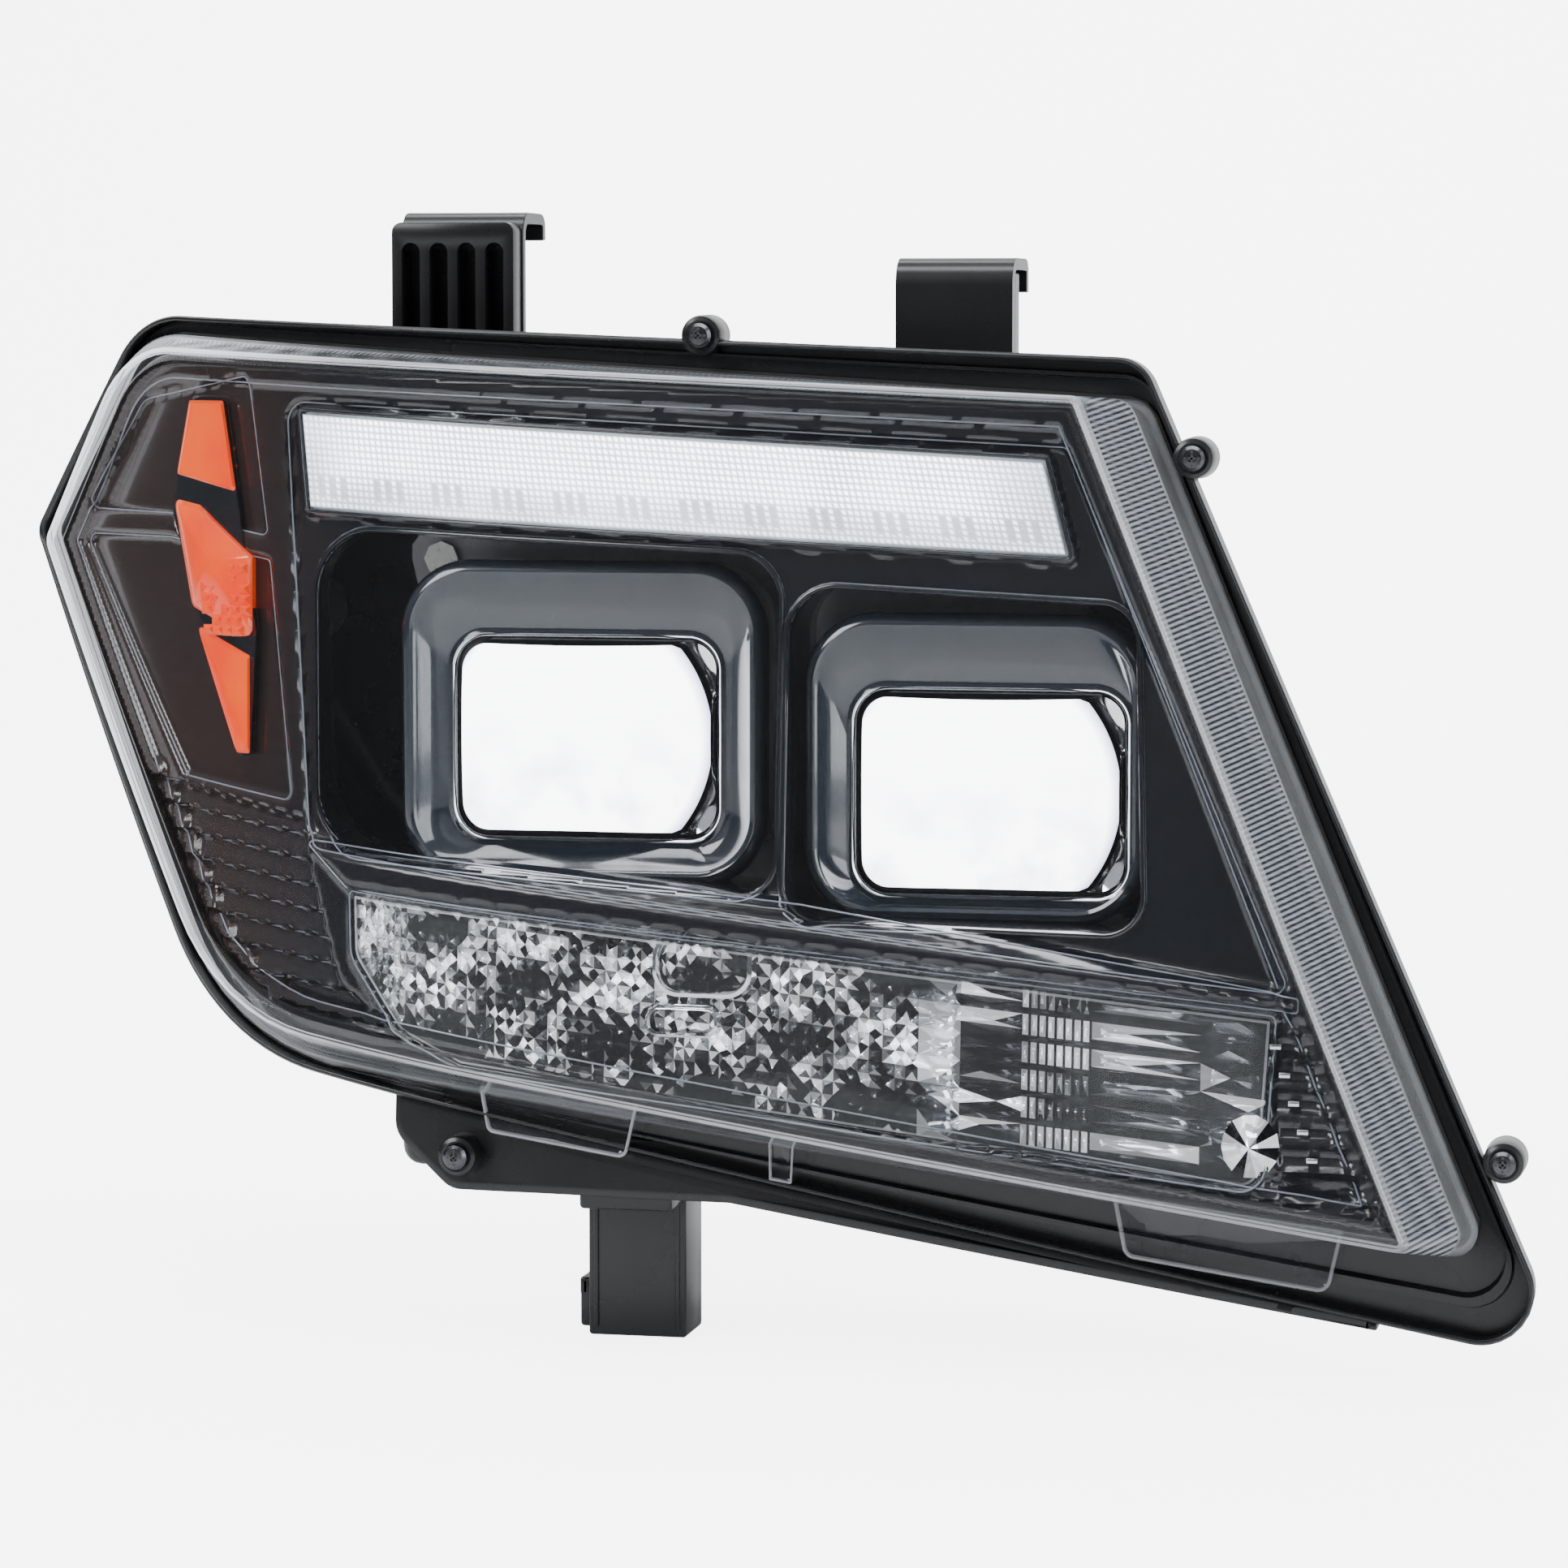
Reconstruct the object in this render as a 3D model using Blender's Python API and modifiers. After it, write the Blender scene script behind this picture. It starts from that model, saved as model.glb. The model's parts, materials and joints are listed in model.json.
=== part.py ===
"""Right-hand wrap-around car headlight with twin LED projectors, piece by piece.

Frame: metres, +Z up, light leaves towards -Y, +X points inboard.
The origin is the centre of the flat foot under the lower mounting leg.
"""

import math

import bmesh
import bpy
from mathutils import Matrix, Vector

# ---------------------------------------------------------------- driving dimensions
GAP = 0.0003
HOUSING_WALL = 0.0024
LENS_WALL = 0.0022
BEZEL_WALL = 0.0020
TRAY_WALL = 0.0015

# The front surface curves back from the inboard edge to the outboard tip.
FACE_INBOARD_X = 0.267
FACE_WIDTH = 0.482
FACE_FRONT_Y = -0.075
FACE_BOW = 0.042
WRAP_START = 0.62
WRAP_DEPTH = 0.062
FACE_RAKE = 0.10
RAKE_HEIGHT = 0.100
SKIRT_DEPTH = 0.034
SKIRT_TAPER = 0.014
SKIRT_FOOT = 0.004
LENS_EDGE_ROUND = 0.0025
SEAL_OUTSIDE = 0.0010
SEAL_INSIDE = 0.0035

# Outlines in the XZ plane, clockwise seen from the front: x, z, corner radius.
FACE = [
    (-0.1958, 0.3354, 0.036),
    (0.1550, 0.3200, 0.004),
    (0.2680, 0.0490, 0.003),
    (-0.1460, 0.1077, 0.075),
    (-0.2364, 0.2655, 0.006),
]
SKIRT = [
    (-0.1942, 0.3398, 0.028),
    (0.1740, 0.3180, 0.010),
    (0.2915, 0.0425, 0.008),
    (-0.1484, 0.0957, 0.083),
    (-0.2407, 0.2684, 0.006),
]
FLANGE = [
    (-0.1936, 0.3448, 0.030),
    (0.1720, 0.3305, 0.012),
    (0.3150, 0.0125, 0.016),
    (-0.1517, 0.0972, 0.085),
    (-0.2433, 0.2684, 0.007),
]
BACK = [
    (-0.150, 0.318, 0.030),
    (0.150, 0.305, 0.030),
    (0.225, 0.131, 0.030),
    (-0.120, 0.156, 0.040),
    (-0.185, 0.262, 0.030),
]
DRL = [
    (-0.1205, 0.3126, 0.0004),
    (0.1431, 0.2986, 0.0004),
    (0.1518, 0.2677, 0.0004),
    (-0.1163, 0.2801, 0.0004),
]
TURN = [
    (-0.0960, 0.1510, 0.0004),
    (0.2255, 0.1215, 0.0004),
    (0.2175, 0.0635, 0.0004),
    (-0.0755, 0.1045, 0.0004),
]
MARKER = [
    (-0.1702, 0.3165, 0.002),
    (-0.1542, 0.3165, 0.002),
    (-0.1377, 0.2370, 0.004),
    (-0.1390, 0.1950, 0.001),
    (-0.1453, 0.1950, 0.001),
    (-0.1767, 0.2772, 0.004),
]
LOW_RECESS = [
    (-0.1148, 0.2735, 0.022),
    (0.0540, 0.2665, 0.016),
    (0.0540, 0.1545, 0.012),
    (-0.1110, 0.1660, 0.022),
]
HIGH_RECESS = [
    (0.0575, 0.2570, 0.016),
    (0.1735, 0.2515, 0.012),
    (0.1775, 0.1460, 0.012),
    (0.0575, 0.1480, 0.012),
]

# Depths behind the front surface.
BEZEL_SET = 0.014
BEZEL_INSET = 0.0065
BEZEL_CREST = 0.003
BEZEL_CREST_INSET = 0.0038
BEZEL_FOOT = 0.001
OPENING_PLAY = 0.0004
OPENING_REACH_Y = (-0.120, 0.060)
TRIM_LENS_SET = 0.0115
TRIM_LENS_DEPTH = 0.0045
TRAY_SET = 0.0190
DRL_TRAY_DEPTH = 0.0140
TURN_TRAY_DEPTH = 0.0150
MARKER_TRAY_DEPTH = 0.0120
MARKER_TRAY_INSET = 0.006
MARKER_TRAY_FLARE = 0.002
DRL_BOARD_STAND = 0.0025
DRL_BOARD_INSET = 0.003
DRL_LED_HALF = 0.0025
DRL_LED_RISE = 0.0010

# Housing section.
FLOOR_SET = 0.003
LIP_HEIGHT = 0.008
FLOOR_INSET = 0.0045
BOWL_INSET_SHARE = 0.85
BOWL_DEPTH_SHARE = 0.35
BACK_EDGE_Y = 0.104
BACK_WALL_Y = 0.113
BACK_EDGE_ROUND = 0.009
BACK_FACE_Y = BACK_WALL_Y + HOUSING_WALL
FLOOR_MARGIN = 0.0015

# Mounting leg and hooks. Joined blocks stop INSET short, so that no two faces coincide.
INSET = 0.001
LEG_HALF_WIDTH = 0.017
LEG_Y = (-0.012, 0.013)
LEG_TOP_Z = 0.072
GUSSET_FRONT_Y = -0.0290
GUSSET_Z = (0.046, 0.071)
WEB_HALF_WIDTH = 0.0025
WEB_Z = (0.070, 0.096)
LATCH_REACH = 0.004
LATCH_HALF_Y = 0.008
LATCH_Z = (0.002, 0.019)
# The apron hangs below the flange's lower edge: top left, top right, bottom right, bottom left.
APRON = [
    (-0.0870, 0.0843, 0.0),
    (0.2550, 0.0222, 0.0),
    (0.2550, 0.0190, 0.0),
    (-0.0870, 0.0525, 0.0),
]
APRON_DEPTH = (-0.0020, 0.0045)
APRON_STEPS = 8
LOBE_X = (-0.0895, -0.0565)
LOBE_Y = (-0.0145, 0.0140)
LOBE_Z = (0.0475, 0.0742)
TAB_PLATE = 0.0045
TAB_END = 0.0035
OUTBOARD_TAB_X = (-0.1010, -0.0570)
OUTBOARD_TAB_Z = (0.3110, 0.3815)
OUTBOARD_PLATE_Y = 0.0580
OUTBOARD_ROOF_Y = (0.0460, 0.0900)
OUTBOARD_DROP = 0.009
OUTBOARD_RIB_Y = (0.0475, 0.0600)
TAB_RIB = 0.0030
TAB_RIBS = 5
INBOARD_TAB_X = (0.0820, 0.1220)
INBOARD_TAB_Z = (0.3070, 0.3650)
INBOARD_PLATE_Y = 0.0225
INBOARD_ROOF_Y = (0.0235, 0.0560)
INBOARD_DROP = 0.011
INBOARD_RIB_Y = (0.0250, 0.0400)

# Projectors: lens centre x, z, window plane y, and the shroud's outer outline.
WINDOW_HALF = (0.0450, 0.0335)
WINDOW_RADIUS = 0.010
LOW = {
    "prefix": "low",
    "x": -0.0180,
    "z": 0.2035,
    "y": -0.005,
    "shroud": [-0.0815, 0.0452, 0.1540, 0.2635],
}
HIGH = {
    "prefix": "high",
    "x": 0.1227,
    "z": 0.1883,
    "y": -0.018,
    "shroud": [0.0605, 0.1760, 0.1455, 0.2480],
}
SHROUD_WALL = 0.0010
SHROUD_RADIUS = 0.020
SHROUD_FRONT = 0.011
SHROUD_CORNER = 0.006
SHROUD_SKIRT = 0.018
LENS_PLAY = 0.0006
LENS_INSET = 0.0004
LENS_PLATE = 0.0045
DOME_CROWN = 0.0105
DOME_FOOT = 0.0310
DOME_STEPS = 5
BODY_WALL = 0.0016
BODY_RADIUS = 0.0350
BODY_LENGTH = 0.050
BODY_NECK = 0.016
BODY_BARREL = 0.024
BODY_BACK_RADIUS = 0.030
BODY_BACK_ROUND = 0.003
EAR_INSIDE = 0.0050
EAR_OUTSIDE = 0.0085
EAR_HALF_HEIGHT = 0.006
EAR_THICKNESS = 0.003
LED_HOLE_RADIUS = 0.008
LED_BOARD_HALF = 0.018
LED_BOARD = 0.0016
LED_CHIP_HALF = (0.005, 0.003)
LED_CHIP_RISE = 0.0015
PLATE_RADIUS = 0.003
HEATSINK_HALF = 0.025
HEATSINK_BASE = 0.004
HEATSINK_DEPTH = 0.0255
HEATSINK_FINS = 7
FIN_HALF = 0.0008
FAN_HALF = 0.025
FAN_DEPTH = 0.010
FAN_RADIUS = 0.0235
FAN_HUB_RADIUS = 0.0090
FAN_HUB_Y = (0.0005, 0.0080)
FAN_STRUT_HALF = 0.0015
FAN_STRUT_Y = (0.0085, 0.0098)
FAN_BLADES = 7
BLADE_MIDDLE = 0.0150
BLADE_SIZE = (0.0150, 0.0010, 0.0070)
BLADE_PITCH = 35

# Carrier, pivots and adjuster.
CARRIER_Y = (0.028, 0.031)
CARRIER = [
    (-0.092, 0.274, 0.010),
    (0.142, 0.274, 0.010),
    (0.170, 0.142, 0.014),
    (-0.064, 0.155, 0.014),
]
CARRIER_BORE = 0.037
PIVOT_Y = 0.040
PIVOT_Z = 0.262
OUTER_PIVOT_X = -0.078
INNER_PIVOT_X = 0.128
BALL_RADIUS = 0.006
BALL_FLAT_DEGREES = 35
STUD_HEAD_RADIUS = 0.0060
STUD_HEAD = 0.0025
STUD_NECK_RADIUS = 0.0030
STUD_HOLE_RADIUS = 0.0033
SOCKET_MOUTH_RADIUS = 0.0052
SOCKET_RADIUS = 0.0095
SOCKET_BACK_Y = 0.052
POST_RADIUS = 0.0075
ADJUSTER_X = 0.052
ADJUSTER_Z = 0.165
ADJUSTER_RADIUS = 0.003
ADJUSTER_Y = (0.0235, 0.1310)
ADJUSTER_POINT = 0.001
ADJUSTER_PASS_RADIUS = 0.0052
ADJUSTER_HOLE_RADIUS = 0.0085
THRUST_RADIUS = 0.0060
THRUST_Y = (BACK_WALL_Y - 0.0090, BACK_WALL_Y - 0.0060)
NUT_BORE = 0.0040
NUT_ENTRY = 0.0045
NUT_RADIUS = 0.0075
NUT_FLANGE_RADIUS = 0.0095
NUT_HALF_LENGTH = 0.006
BUSH_RADIUS = 0.0080
BUSH_FLANGE_RADIUS = 0.0120
BUSH_FLANGE = 0.0025
KNOB_RADIUS = 0.0125
KNOB_LENGTH = 0.0105
KNOB_FLUTES = 6
FLUTE_CIRCLE = 0.0145
FLUTE_RADIUS = 0.0035

# Rear caps, sockets and fittings.
CAP_COLLAR = (0.0390, 0.0355)
CAP_COLLAR_END_Y = 0.1240
CAP_SEAL = 0.0020
CAP_WALL = 0.0025
CAP_RIM = 0.0030
CAP_PLAY = 0.0006
CAP_CHAMFER = 0.0015
CAP_RIM_STAND = 0.0018
CAP_GRIP = (0.030, 0.0110, 0.0035)
TURN_BULB = (0.028, 0.112)
TURN_BULB_HOLE = 0.0115
TURN_HOLE_Y = (-0.040, 0.0)
TURN_BULB_RADIUS = 0.0090
TURN_BULB_TIP_Y = -0.0420
TURN_NECK_Y = -0.0060
TURN_COLLAR = (0.0170, 0.0140)
TURN_COLLAR_Y = (-0.010, 0.024)
MARKER_BULB = (-0.150, 0.240)
MARKER_BULB_HOLE = 0.0065
MARKER_HOLE_Y = (-0.030, 0.060)
MARKER_BULB_RADIUS = 0.0050
MARKER_BULB_TIP_Y = 0.0220
MARKER_NECK_Y = 0.0720
MARKER_COLLAR = (0.0150, 0.0115)
MARKER_COLLAR_END_Y = 0.1200
BULB_SHOULDER = 0.004
SOCKET_SEAL = 0.0016
SOCKET_SEAL_INSET = 0.0005
SOCKET_PLAY = 0.0010
SOCKET_FLANGE = 0.0028
SOCKET_BACK = 0.0060
SOCKET_GRIP_HALF = 0.0025
SOCKET_GRIP = 0.0100
SCREW_BOSSES = [(0.0235, 0.3390), (0.1905, 0.2995), (0.2950, 0.0755), (-0.0565, 0.0637)]
BOSS_RADIUS = 0.0068
BOSS_DEPTH = 0.024
BOSS_STAND = 0.0025
BOSS_HOLE_RADIUS = 0.0024
BOSS_HOLE_DEPTH = 0.016
LENS_SCREW_HEAD = 0.0030
LENS_SCREW_SHANK = 0.0020
LENS_SCREW_REACH = 0.014
DRIVER_SCREW_HEAD = 0.0018
DRIVER_SCREW_SHANK = 0.0014
DRIVER_HOLE_RADIUS = 0.0018
HEAD_RATIO = 2.2
SLOT_HALF_WIDTH = 0.0005
GROMMET = (-0.086, 0.178)
GROMMET_HOLE_RADIUS = 0.0062
GROMMET_RADIUS = 0.0058
GROMMET_FLANGE_RADIUS = 0.0090
GROMMET_BORE = 0.0037
CABLE_RADIUS = 0.0034
CABLE_BEND = 0.012
CABLE_STAND = 0.0175
CONNECTOR = (-0.086, 0.100)
CONNECTOR_HALF = (0.014, 0.009, 0.016)
CONNECTOR_WALL = 0.002
CONNECTOR_POCKET = 0.014
CONNECTOR_LATCH = (0.004, 0.002)
DRIVER_X = (0.030, 0.074)
DRIVER_Z = (0.202, 0.272)
DRIVER_FLANGE = 0.0025
DRIVER_FLANGE_REACH = 0.012
DRIVER_SCREW_REACH = 0.006
DRIVER_DEPTH = 0.0180
VENTS = {"outer": (-0.128, 0.288), "inner": (0.126, 0.284)}
VENT_HOLE_RADIUS = 0.0032
VENT_STEM_RADIUS = 0.0029
VENT_CAP_RADIUS = 0.0075

ROUND = 18
COLLAR_ROUND = 12
SMALL_ROUND = 8
ARC_STEPS = 2
EDGE_STEPS = 5
TRIM_STEPS = 10
DRL_LEDS = 10
CUT_REACH = 0.010
OVERLAP = 0.001


# ---------------------------------------------------------------- scene and materials
def clear_scene():
    for item in list(bpy.data.objects):
        bpy.data.objects.remove(item, do_unlink=True)


def new_collection(name):
    collection = bpy.data.collections.new(name)
    bpy.context.scene.collection.children.link(collection)
    return collection


clear_scene()
PARTS = new_collection("car_headlight_assembly")
CUTTERS = new_collection("cutters")


def finish_material(name, colour, roughness, metallic=0.0, transmission=0.0, glow=0.0):
    material = bpy.data.materials.new(name)
    material.use_nodes = True
    shader = material.node_tree.nodes["Principled BSDF"]
    shader.inputs["Base Color"].default_value = (*colour, 1.0)
    shader.inputs["Roughness"].default_value = roughness
    shader.inputs["Metallic"].default_value = metallic
    shader.inputs["Transmission Weight"].default_value = transmission
    shader.inputs["Emission Color"].default_value = (*colour, 1.0)
    shader.inputs["Emission Strength"].default_value = glow
    return material


MATTE_BLACK = finish_material("matte_black_plastic", (0.020, 0.020, 0.022), 0.55)
GLOSS_BLACK = finish_material("gloss_black_plastic", (0.010, 0.011, 0.013), 0.12)
CLEAR = finish_material("clear_polycarbonate", (0.95, 0.96, 0.97), 0.03, transmission=1.0)
LIT_CLEAR = finish_material("lit_light_guide", (0.92, 0.95, 1.0), 0.20, glow=3.0)
GLASS = finish_material("projector_glass", (0.92, 0.95, 1.0), 0.02, transmission=1.0)
AMBER = finish_material("amber_lens", (0.90, 0.16, 0.01), 0.10, transmission=0.4)
AMBER_GLASS = finish_material("amber_bulb_glass", (0.85, 0.30, 0.03), 0.05, transmission=0.8)
CHROME = finish_material("vacuum_chrome", (0.80, 0.81, 0.83), 0.06, metallic=1.0)
ALUMINIUM = finish_material("cast_aluminium", (0.55, 0.56, 0.58), 0.40, metallic=1.0)
STEEL = finish_material("zinc_plated_steel", (0.60, 0.60, 0.58), 0.30, metallic=1.0)
RUBBER = finish_material("seal_rubber", (0.025, 0.025, 0.025), 0.85)
WHITE_PLASTIC = finish_material("white_nylon", (0.75, 0.75, 0.73), 0.45)
GREY_PLASTIC = finish_material("grey_nylon", (0.22, 0.22, 0.23), 0.50)
BOARD = finish_material("circuit_board", (0.80, 0.82, 0.80), 0.50)


# ---------------------------------------------------------------- surfaces and outlines
def lens_surface(x, z):
    """Depth y of the clear lens's front surface."""
    across = min(max((FACE_INBOARD_X - x) / FACE_WIDTH, 0.0), 1.08)
    wrap = max(0.0, (across - WRAP_START) / (1 - WRAP_START))
    bow = FACE_BOW * across**2 + WRAP_DEPTH * wrap**2
    return FACE_FRONT_Y + bow + FACE_RAKE * (z - RAKE_HEIGHT)


def rim_surface(x, z):
    """Depth y where the lens skirt meets the housing flange."""
    across = min(max((FACE_INBOARD_X - x) / FACE_WIDTH, 0.0), 1.08)
    wrap = max(0.0, (across - WRAP_START) / (1 - WRAP_START))
    return lens_surface(x, z) + SKIRT_DEPTH - SKIRT_TAPER * wrap


def behind(surface, depth):
    return lambda x, z: surface(x, z) + depth


def flat(y):
    return lambda x, z: y


def grown(corners, distance):
    """The same outline with every edge moved outward by distance."""
    result = []
    count = len(corners)
    for i, (x, z, radius) in enumerate(corners):
        here = Vector((x, z))
        before = (here - Vector(corners[i - 1][:2])).normalized()
        after = (Vector(corners[(i + 1) % count][:2]) - here).normalized()
        normal_before = Vector((-before.y, before.x))
        normal_after = Vector((-after.y, after.x))
        shift = (normal_before + normal_after) * distance / (1 + normal_before.dot(normal_after))
        result.append((x + shift.x, z + shift.y, max(radius + distance, 0.0008)))
    return result


def outline(corners, arc_steps=ARC_STEPS, edge_steps=EDGE_STEPS):
    """Points of a closed outline: an arc at each corner and even steps along each edge."""
    arcs = []
    count = len(corners)
    for i, (x, z, radius) in enumerate(corners):
        here = Vector((x, z))
        back = (Vector(corners[i - 1][:2]) - here).normalized()
        ahead = (Vector(corners[(i + 1) % count][:2]) - here).normalized()
        half = back.angle(ahead) / 2
        centre = here + (back + ahead).normalized() * (radius / math.sin(half))
        start = here + back * (radius / math.tan(half)) - centre
        end = here + ahead * (radius / math.tan(half)) - centre
        arc = []
        for step in range(arc_steps + 1):
            arc.append(centre + start.lerp(end, step / arc_steps).normalized() * radius)
        arcs.append(arc)
    points = []
    for i, arc in enumerate(arcs):
        points.extend(arc)
        following = arcs[(i + 1) % count][0]
        for step in range(1, edge_steps):
            points.append(arc[-1].lerp(following, step / edge_steps))
    return points


def ring(corners, surface, grow=0.0, base=None, arc_steps=ARC_STEPS, edge_steps=EDGE_STEPS):
    """An outline laid on a surface; its depth can be read at another outline's points."""
    points = outline(grown(corners, grow), arc_steps, edge_steps)
    anchors = outline(base, arc_steps, edge_steps) if base else points
    return [Vector((p.x, surface(a.x, a.y), p.y)) for p, a in zip(points, anchors)]


def blended(first, second, share_across, share_deep):
    """A ring between two rings, with its own share of the way across and in depth."""
    result = []
    for a, b in zip(first, second):
        x = a.x + (b.x - a.x) * share_across
        z = a.z + (b.z - a.z) * share_across
        result.append(Vector((x, a.y + (b.y - a.y) * share_deep, z)))
    return result


def rectangle(x_low, x_high, z_low, z_high, radius):
    return [
        (x_low, z_high, radius),
        (x_high, z_high, radius),
        (x_high, z_low, radius),
        (x_low, z_low, radius),
    ]


# ---------------------------------------------------------------- objects
def add_object(name, mesh, material=None, collection=None):
    item = bpy.data.objects.new(name, mesh)
    (collection or PARTS).objects.link(item)
    if material:
        mesh.materials.clear()
        mesh.materials.append(material)
    return item


def add_part(name, bm, material, smooth_degrees=30):
    mesh = bpy.data.meshes.new(name)
    bm.to_mesh(mesh)
    bm.free()
    mesh.shade_smooth()
    mesh.set_sharp_from_angle(angle=math.radians(smooth_degrees))
    return add_object(name, mesh, material)


def add_helper(name, bm):
    mesh = bpy.data.meshes.new(name)
    bm.to_mesh(mesh)
    bm.free()
    item = add_object(name, mesh, collection=CUTTERS)
    item.hide_render = True
    item.display_type = "WIRE"
    return item


def combine(target, helper, operation):
    modifier = target.modifiers.new(helper.name, "BOOLEAN")
    modifier.operation = operation
    modifier.object = helper
    modifier.solver = "EXACT"


def cut(target, helper):
    combine(target, helper, "DIFFERENCE")


def join(target, helper):
    combine(target, helper, "UNION")


def thicken(item, thickness, side):
    modifier = item.modifiers.new("wall", "SOLIDIFY")
    modifier.thickness = thickness
    modifier.offset = side
    modifier.use_even_offset = True


def lofted(rings, cap_first=False, cap_last=False):
    """Skin over rings that run from front to back, facing outward."""
    bm = bmesh.new()
    loops = [[bm.verts.new(point) for point in points] for points in rings]
    for a, b in zip(loops, loops[1:]):
        for i in range(len(a)):
            j = (i + 1) % len(a)
            bm.faces.new((a[i], a[j], b[j], b[i]))
    if cap_first:
        bm.faces.new(loops[0][::-1])
    if cap_last:
        bm.faces.new(loops[-1])
    return bm


def closed_band(rings):
    """A hoop whose section is closed: the last ring joins the first."""
    bm = lofted(rings + [rings[0]])
    bmesh.ops.remove_doubles(bm, verts=bm.verts, dist=0.000001)
    bmesh.ops.recalc_face_normals(bm, faces=bm.faces)
    return bm


def bar(corners, surface, near, far, steps):
    """Solid strip between four corners that follows a curved surface."""
    top_left, top_right, bottom_right, bottom_left = [Vector(c[:2]) for c in corners]
    loops = []
    bm = bmesh.new()
    for step in range(steps + 1):
        top = top_left.lerp(top_right, step / steps)
        bottom = bottom_left.lerp(bottom_right, step / steps)
        places = [(bottom, near), (top, near), (top, far), (bottom, far)]
        loop = [bm.verts.new((p.x, surface(p.x, p.y) + depth, p.y)) for p, depth in places]
        loops.append(loop)
    for a, b in zip(loops, loops[1:]):
        for i in range(4):
            j = (i + 1) % 4
            bm.faces.new((a[i], a[j], b[j], b[i]))
    bm.faces.new(loops[0])
    bm.faces.new(loops[-1])
    bmesh.ops.recalc_face_normals(bm, faces=bm.faces)
    return bm


def block(low, high):
    bm = bmesh.new()
    size = Vector(high) - Vector(low)
    middle = (Vector(high) + Vector(low)) / 2
    placing = Matrix.Translation(middle) @ Matrix.Diagonal((*size, 1.0))
    bmesh.ops.create_cube(bm, size=1.0, matrix=placing)
    return bm


def rod(x, z, radius, y_front, y_back, segments=ROUND):
    """Cylinder along Y."""
    bm = bmesh.new()
    placing = Matrix.Translation((x, (y_front + y_back) / 2, z)) @ Matrix.Rotation(math.pi / 2, 4, "X")
    bmesh.ops.create_cone(
        bm,
        cap_ends=True,
        segments=segments,
        radius1=radius,
        radius2=radius,
        depth=y_back - y_front,
        matrix=placing,
    )
    return bm


def turned(name, profile, x, z, material, segments=ROUND, closed=False):
    """Shape turned about the Y line through x, z. The profile holds radius, y pairs and
    runs front to back along the outer side; a closed profile makes a hollow ring."""
    bm = bmesh.new()
    vertices = [bm.verts.new((radius, 0.0, -y)) for radius, y in profile]
    pairs = list(zip(vertices, vertices[1:]))
    if closed:
        pairs.append((vertices[-1], vertices[0]))
    for pair in pairs:
        bm.edges.new(pair)
    item = add_part(name, bm, material)
    item.location = (x, 0.0, z)
    item.rotation_euler = (math.pi / 2, 0.0, 0.0)
    screw = item.modifiers.new("turn", "SCREW")
    screw.axis = "Z"
    screw.steps = segments
    screw.render_steps = segments
    screw.use_merge_vertices = True
    screw.merge_threshold = 0.00001
    screw.use_smooth_shade = True
    return item


def ring_profile(inner, outer, y_front, y_back):
    return [(inner, y_front), (outer, y_front), (outer, y_back), (inner, y_back)]


def plate(name, corners, y_front, y_back, material, arc_steps=3):
    """Flat sheet with a rounded outline, made from a filled curve and turned into a mesh."""
    curve = bpy.data.curves.new(name, "CURVE")
    curve.dimensions = "2D"
    curve.fill_mode = "BOTH"
    curve.extrude = (y_back - y_front) / 2
    points = outline(corners, arc_steps, 1)
    spline = curve.splines.new("POLY")
    spline.points.add(len(points) - 1)
    spline.use_cyclic_u = True
    for target, point in zip(spline.points, points):
        target.co = (point.x, point.y, 0.0, 1.0)
    return mesh_from_curve(name, curve, (0.0, (y_front + y_back) / 2, 0.0), material)


def mesh_from_curve(name, curve, location, material):
    """Welded mesh of a curve drawn in its local XY plane, stood up to face -Y."""
    guide = bpy.data.objects.new(name + "_curve", curve)
    PARTS.objects.link(guide)
    guide.location = location
    guide.rotation_euler = (math.pi / 2, 0.0, 0.0)
    bpy.context.view_layer.update()
    evaluated = guide.evaluated_get(bpy.context.evaluated_depsgraph_get())
    mesh = bpy.data.meshes.new_from_object(evaluated)
    bm = bmesh.new()
    bm.from_mesh(mesh)
    bmesh.ops.remove_doubles(bm, verts=bm.verts, dist=0.00001)
    bm.to_mesh(mesh)
    bm.free()
    mesh.name = name
    mesh.shade_smooth()
    mesh.set_sharp_from_angle(angle=math.radians(30))
    item = add_object(name, mesh, material)
    item.matrix_world = guide.matrix_world
    bpy.data.objects.remove(guide, do_unlink=True)
    bpy.data.curves.remove(curve)
    return item


# ---------------------------------------------------------------- housing
def make_housing():
    floor = behind(rim_surface, FLOOR_SET)
    floor_inner = ring(SKIRT, floor, -FLOOR_INSET, SKIRT)
    back_edge = ring(BACK, flat(BACK_EDGE_Y))
    rings = [
        ring(FLANGE, behind(rim_surface, -LIP_HEIGHT), 0.0, SKIRT),
        ring(FLANGE, floor, 0.0, SKIRT),
        ring(SKIRT, floor, FLOOR_MARGIN, SKIRT),
        floor_inner,
        blended(floor_inner, back_edge, BOWL_INSET_SHARE, BOWL_DEPTH_SHARE),
        back_edge,
        ring(BACK, flat(BACK_WALL_Y), -BACK_EDGE_ROUND),
    ]
    housing = add_part("housing_shell", lofted(rings, cap_last=True), MATTE_BLACK)
    thicken(housing, HOUSING_WALL, 1)
    for name, low, high in leg_blocks() + outboard_tab_blocks() + inboard_tab_blocks():
        join(housing, add_helper(name, block(low, high)))
    join(housing, add_helper("apron", bar(APRON, rim_surface, *APRON_DEPTH, APRON_STEPS)))
    add_screw_bosses(housing)
    add_rear_collars(housing)
    return housing


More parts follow.
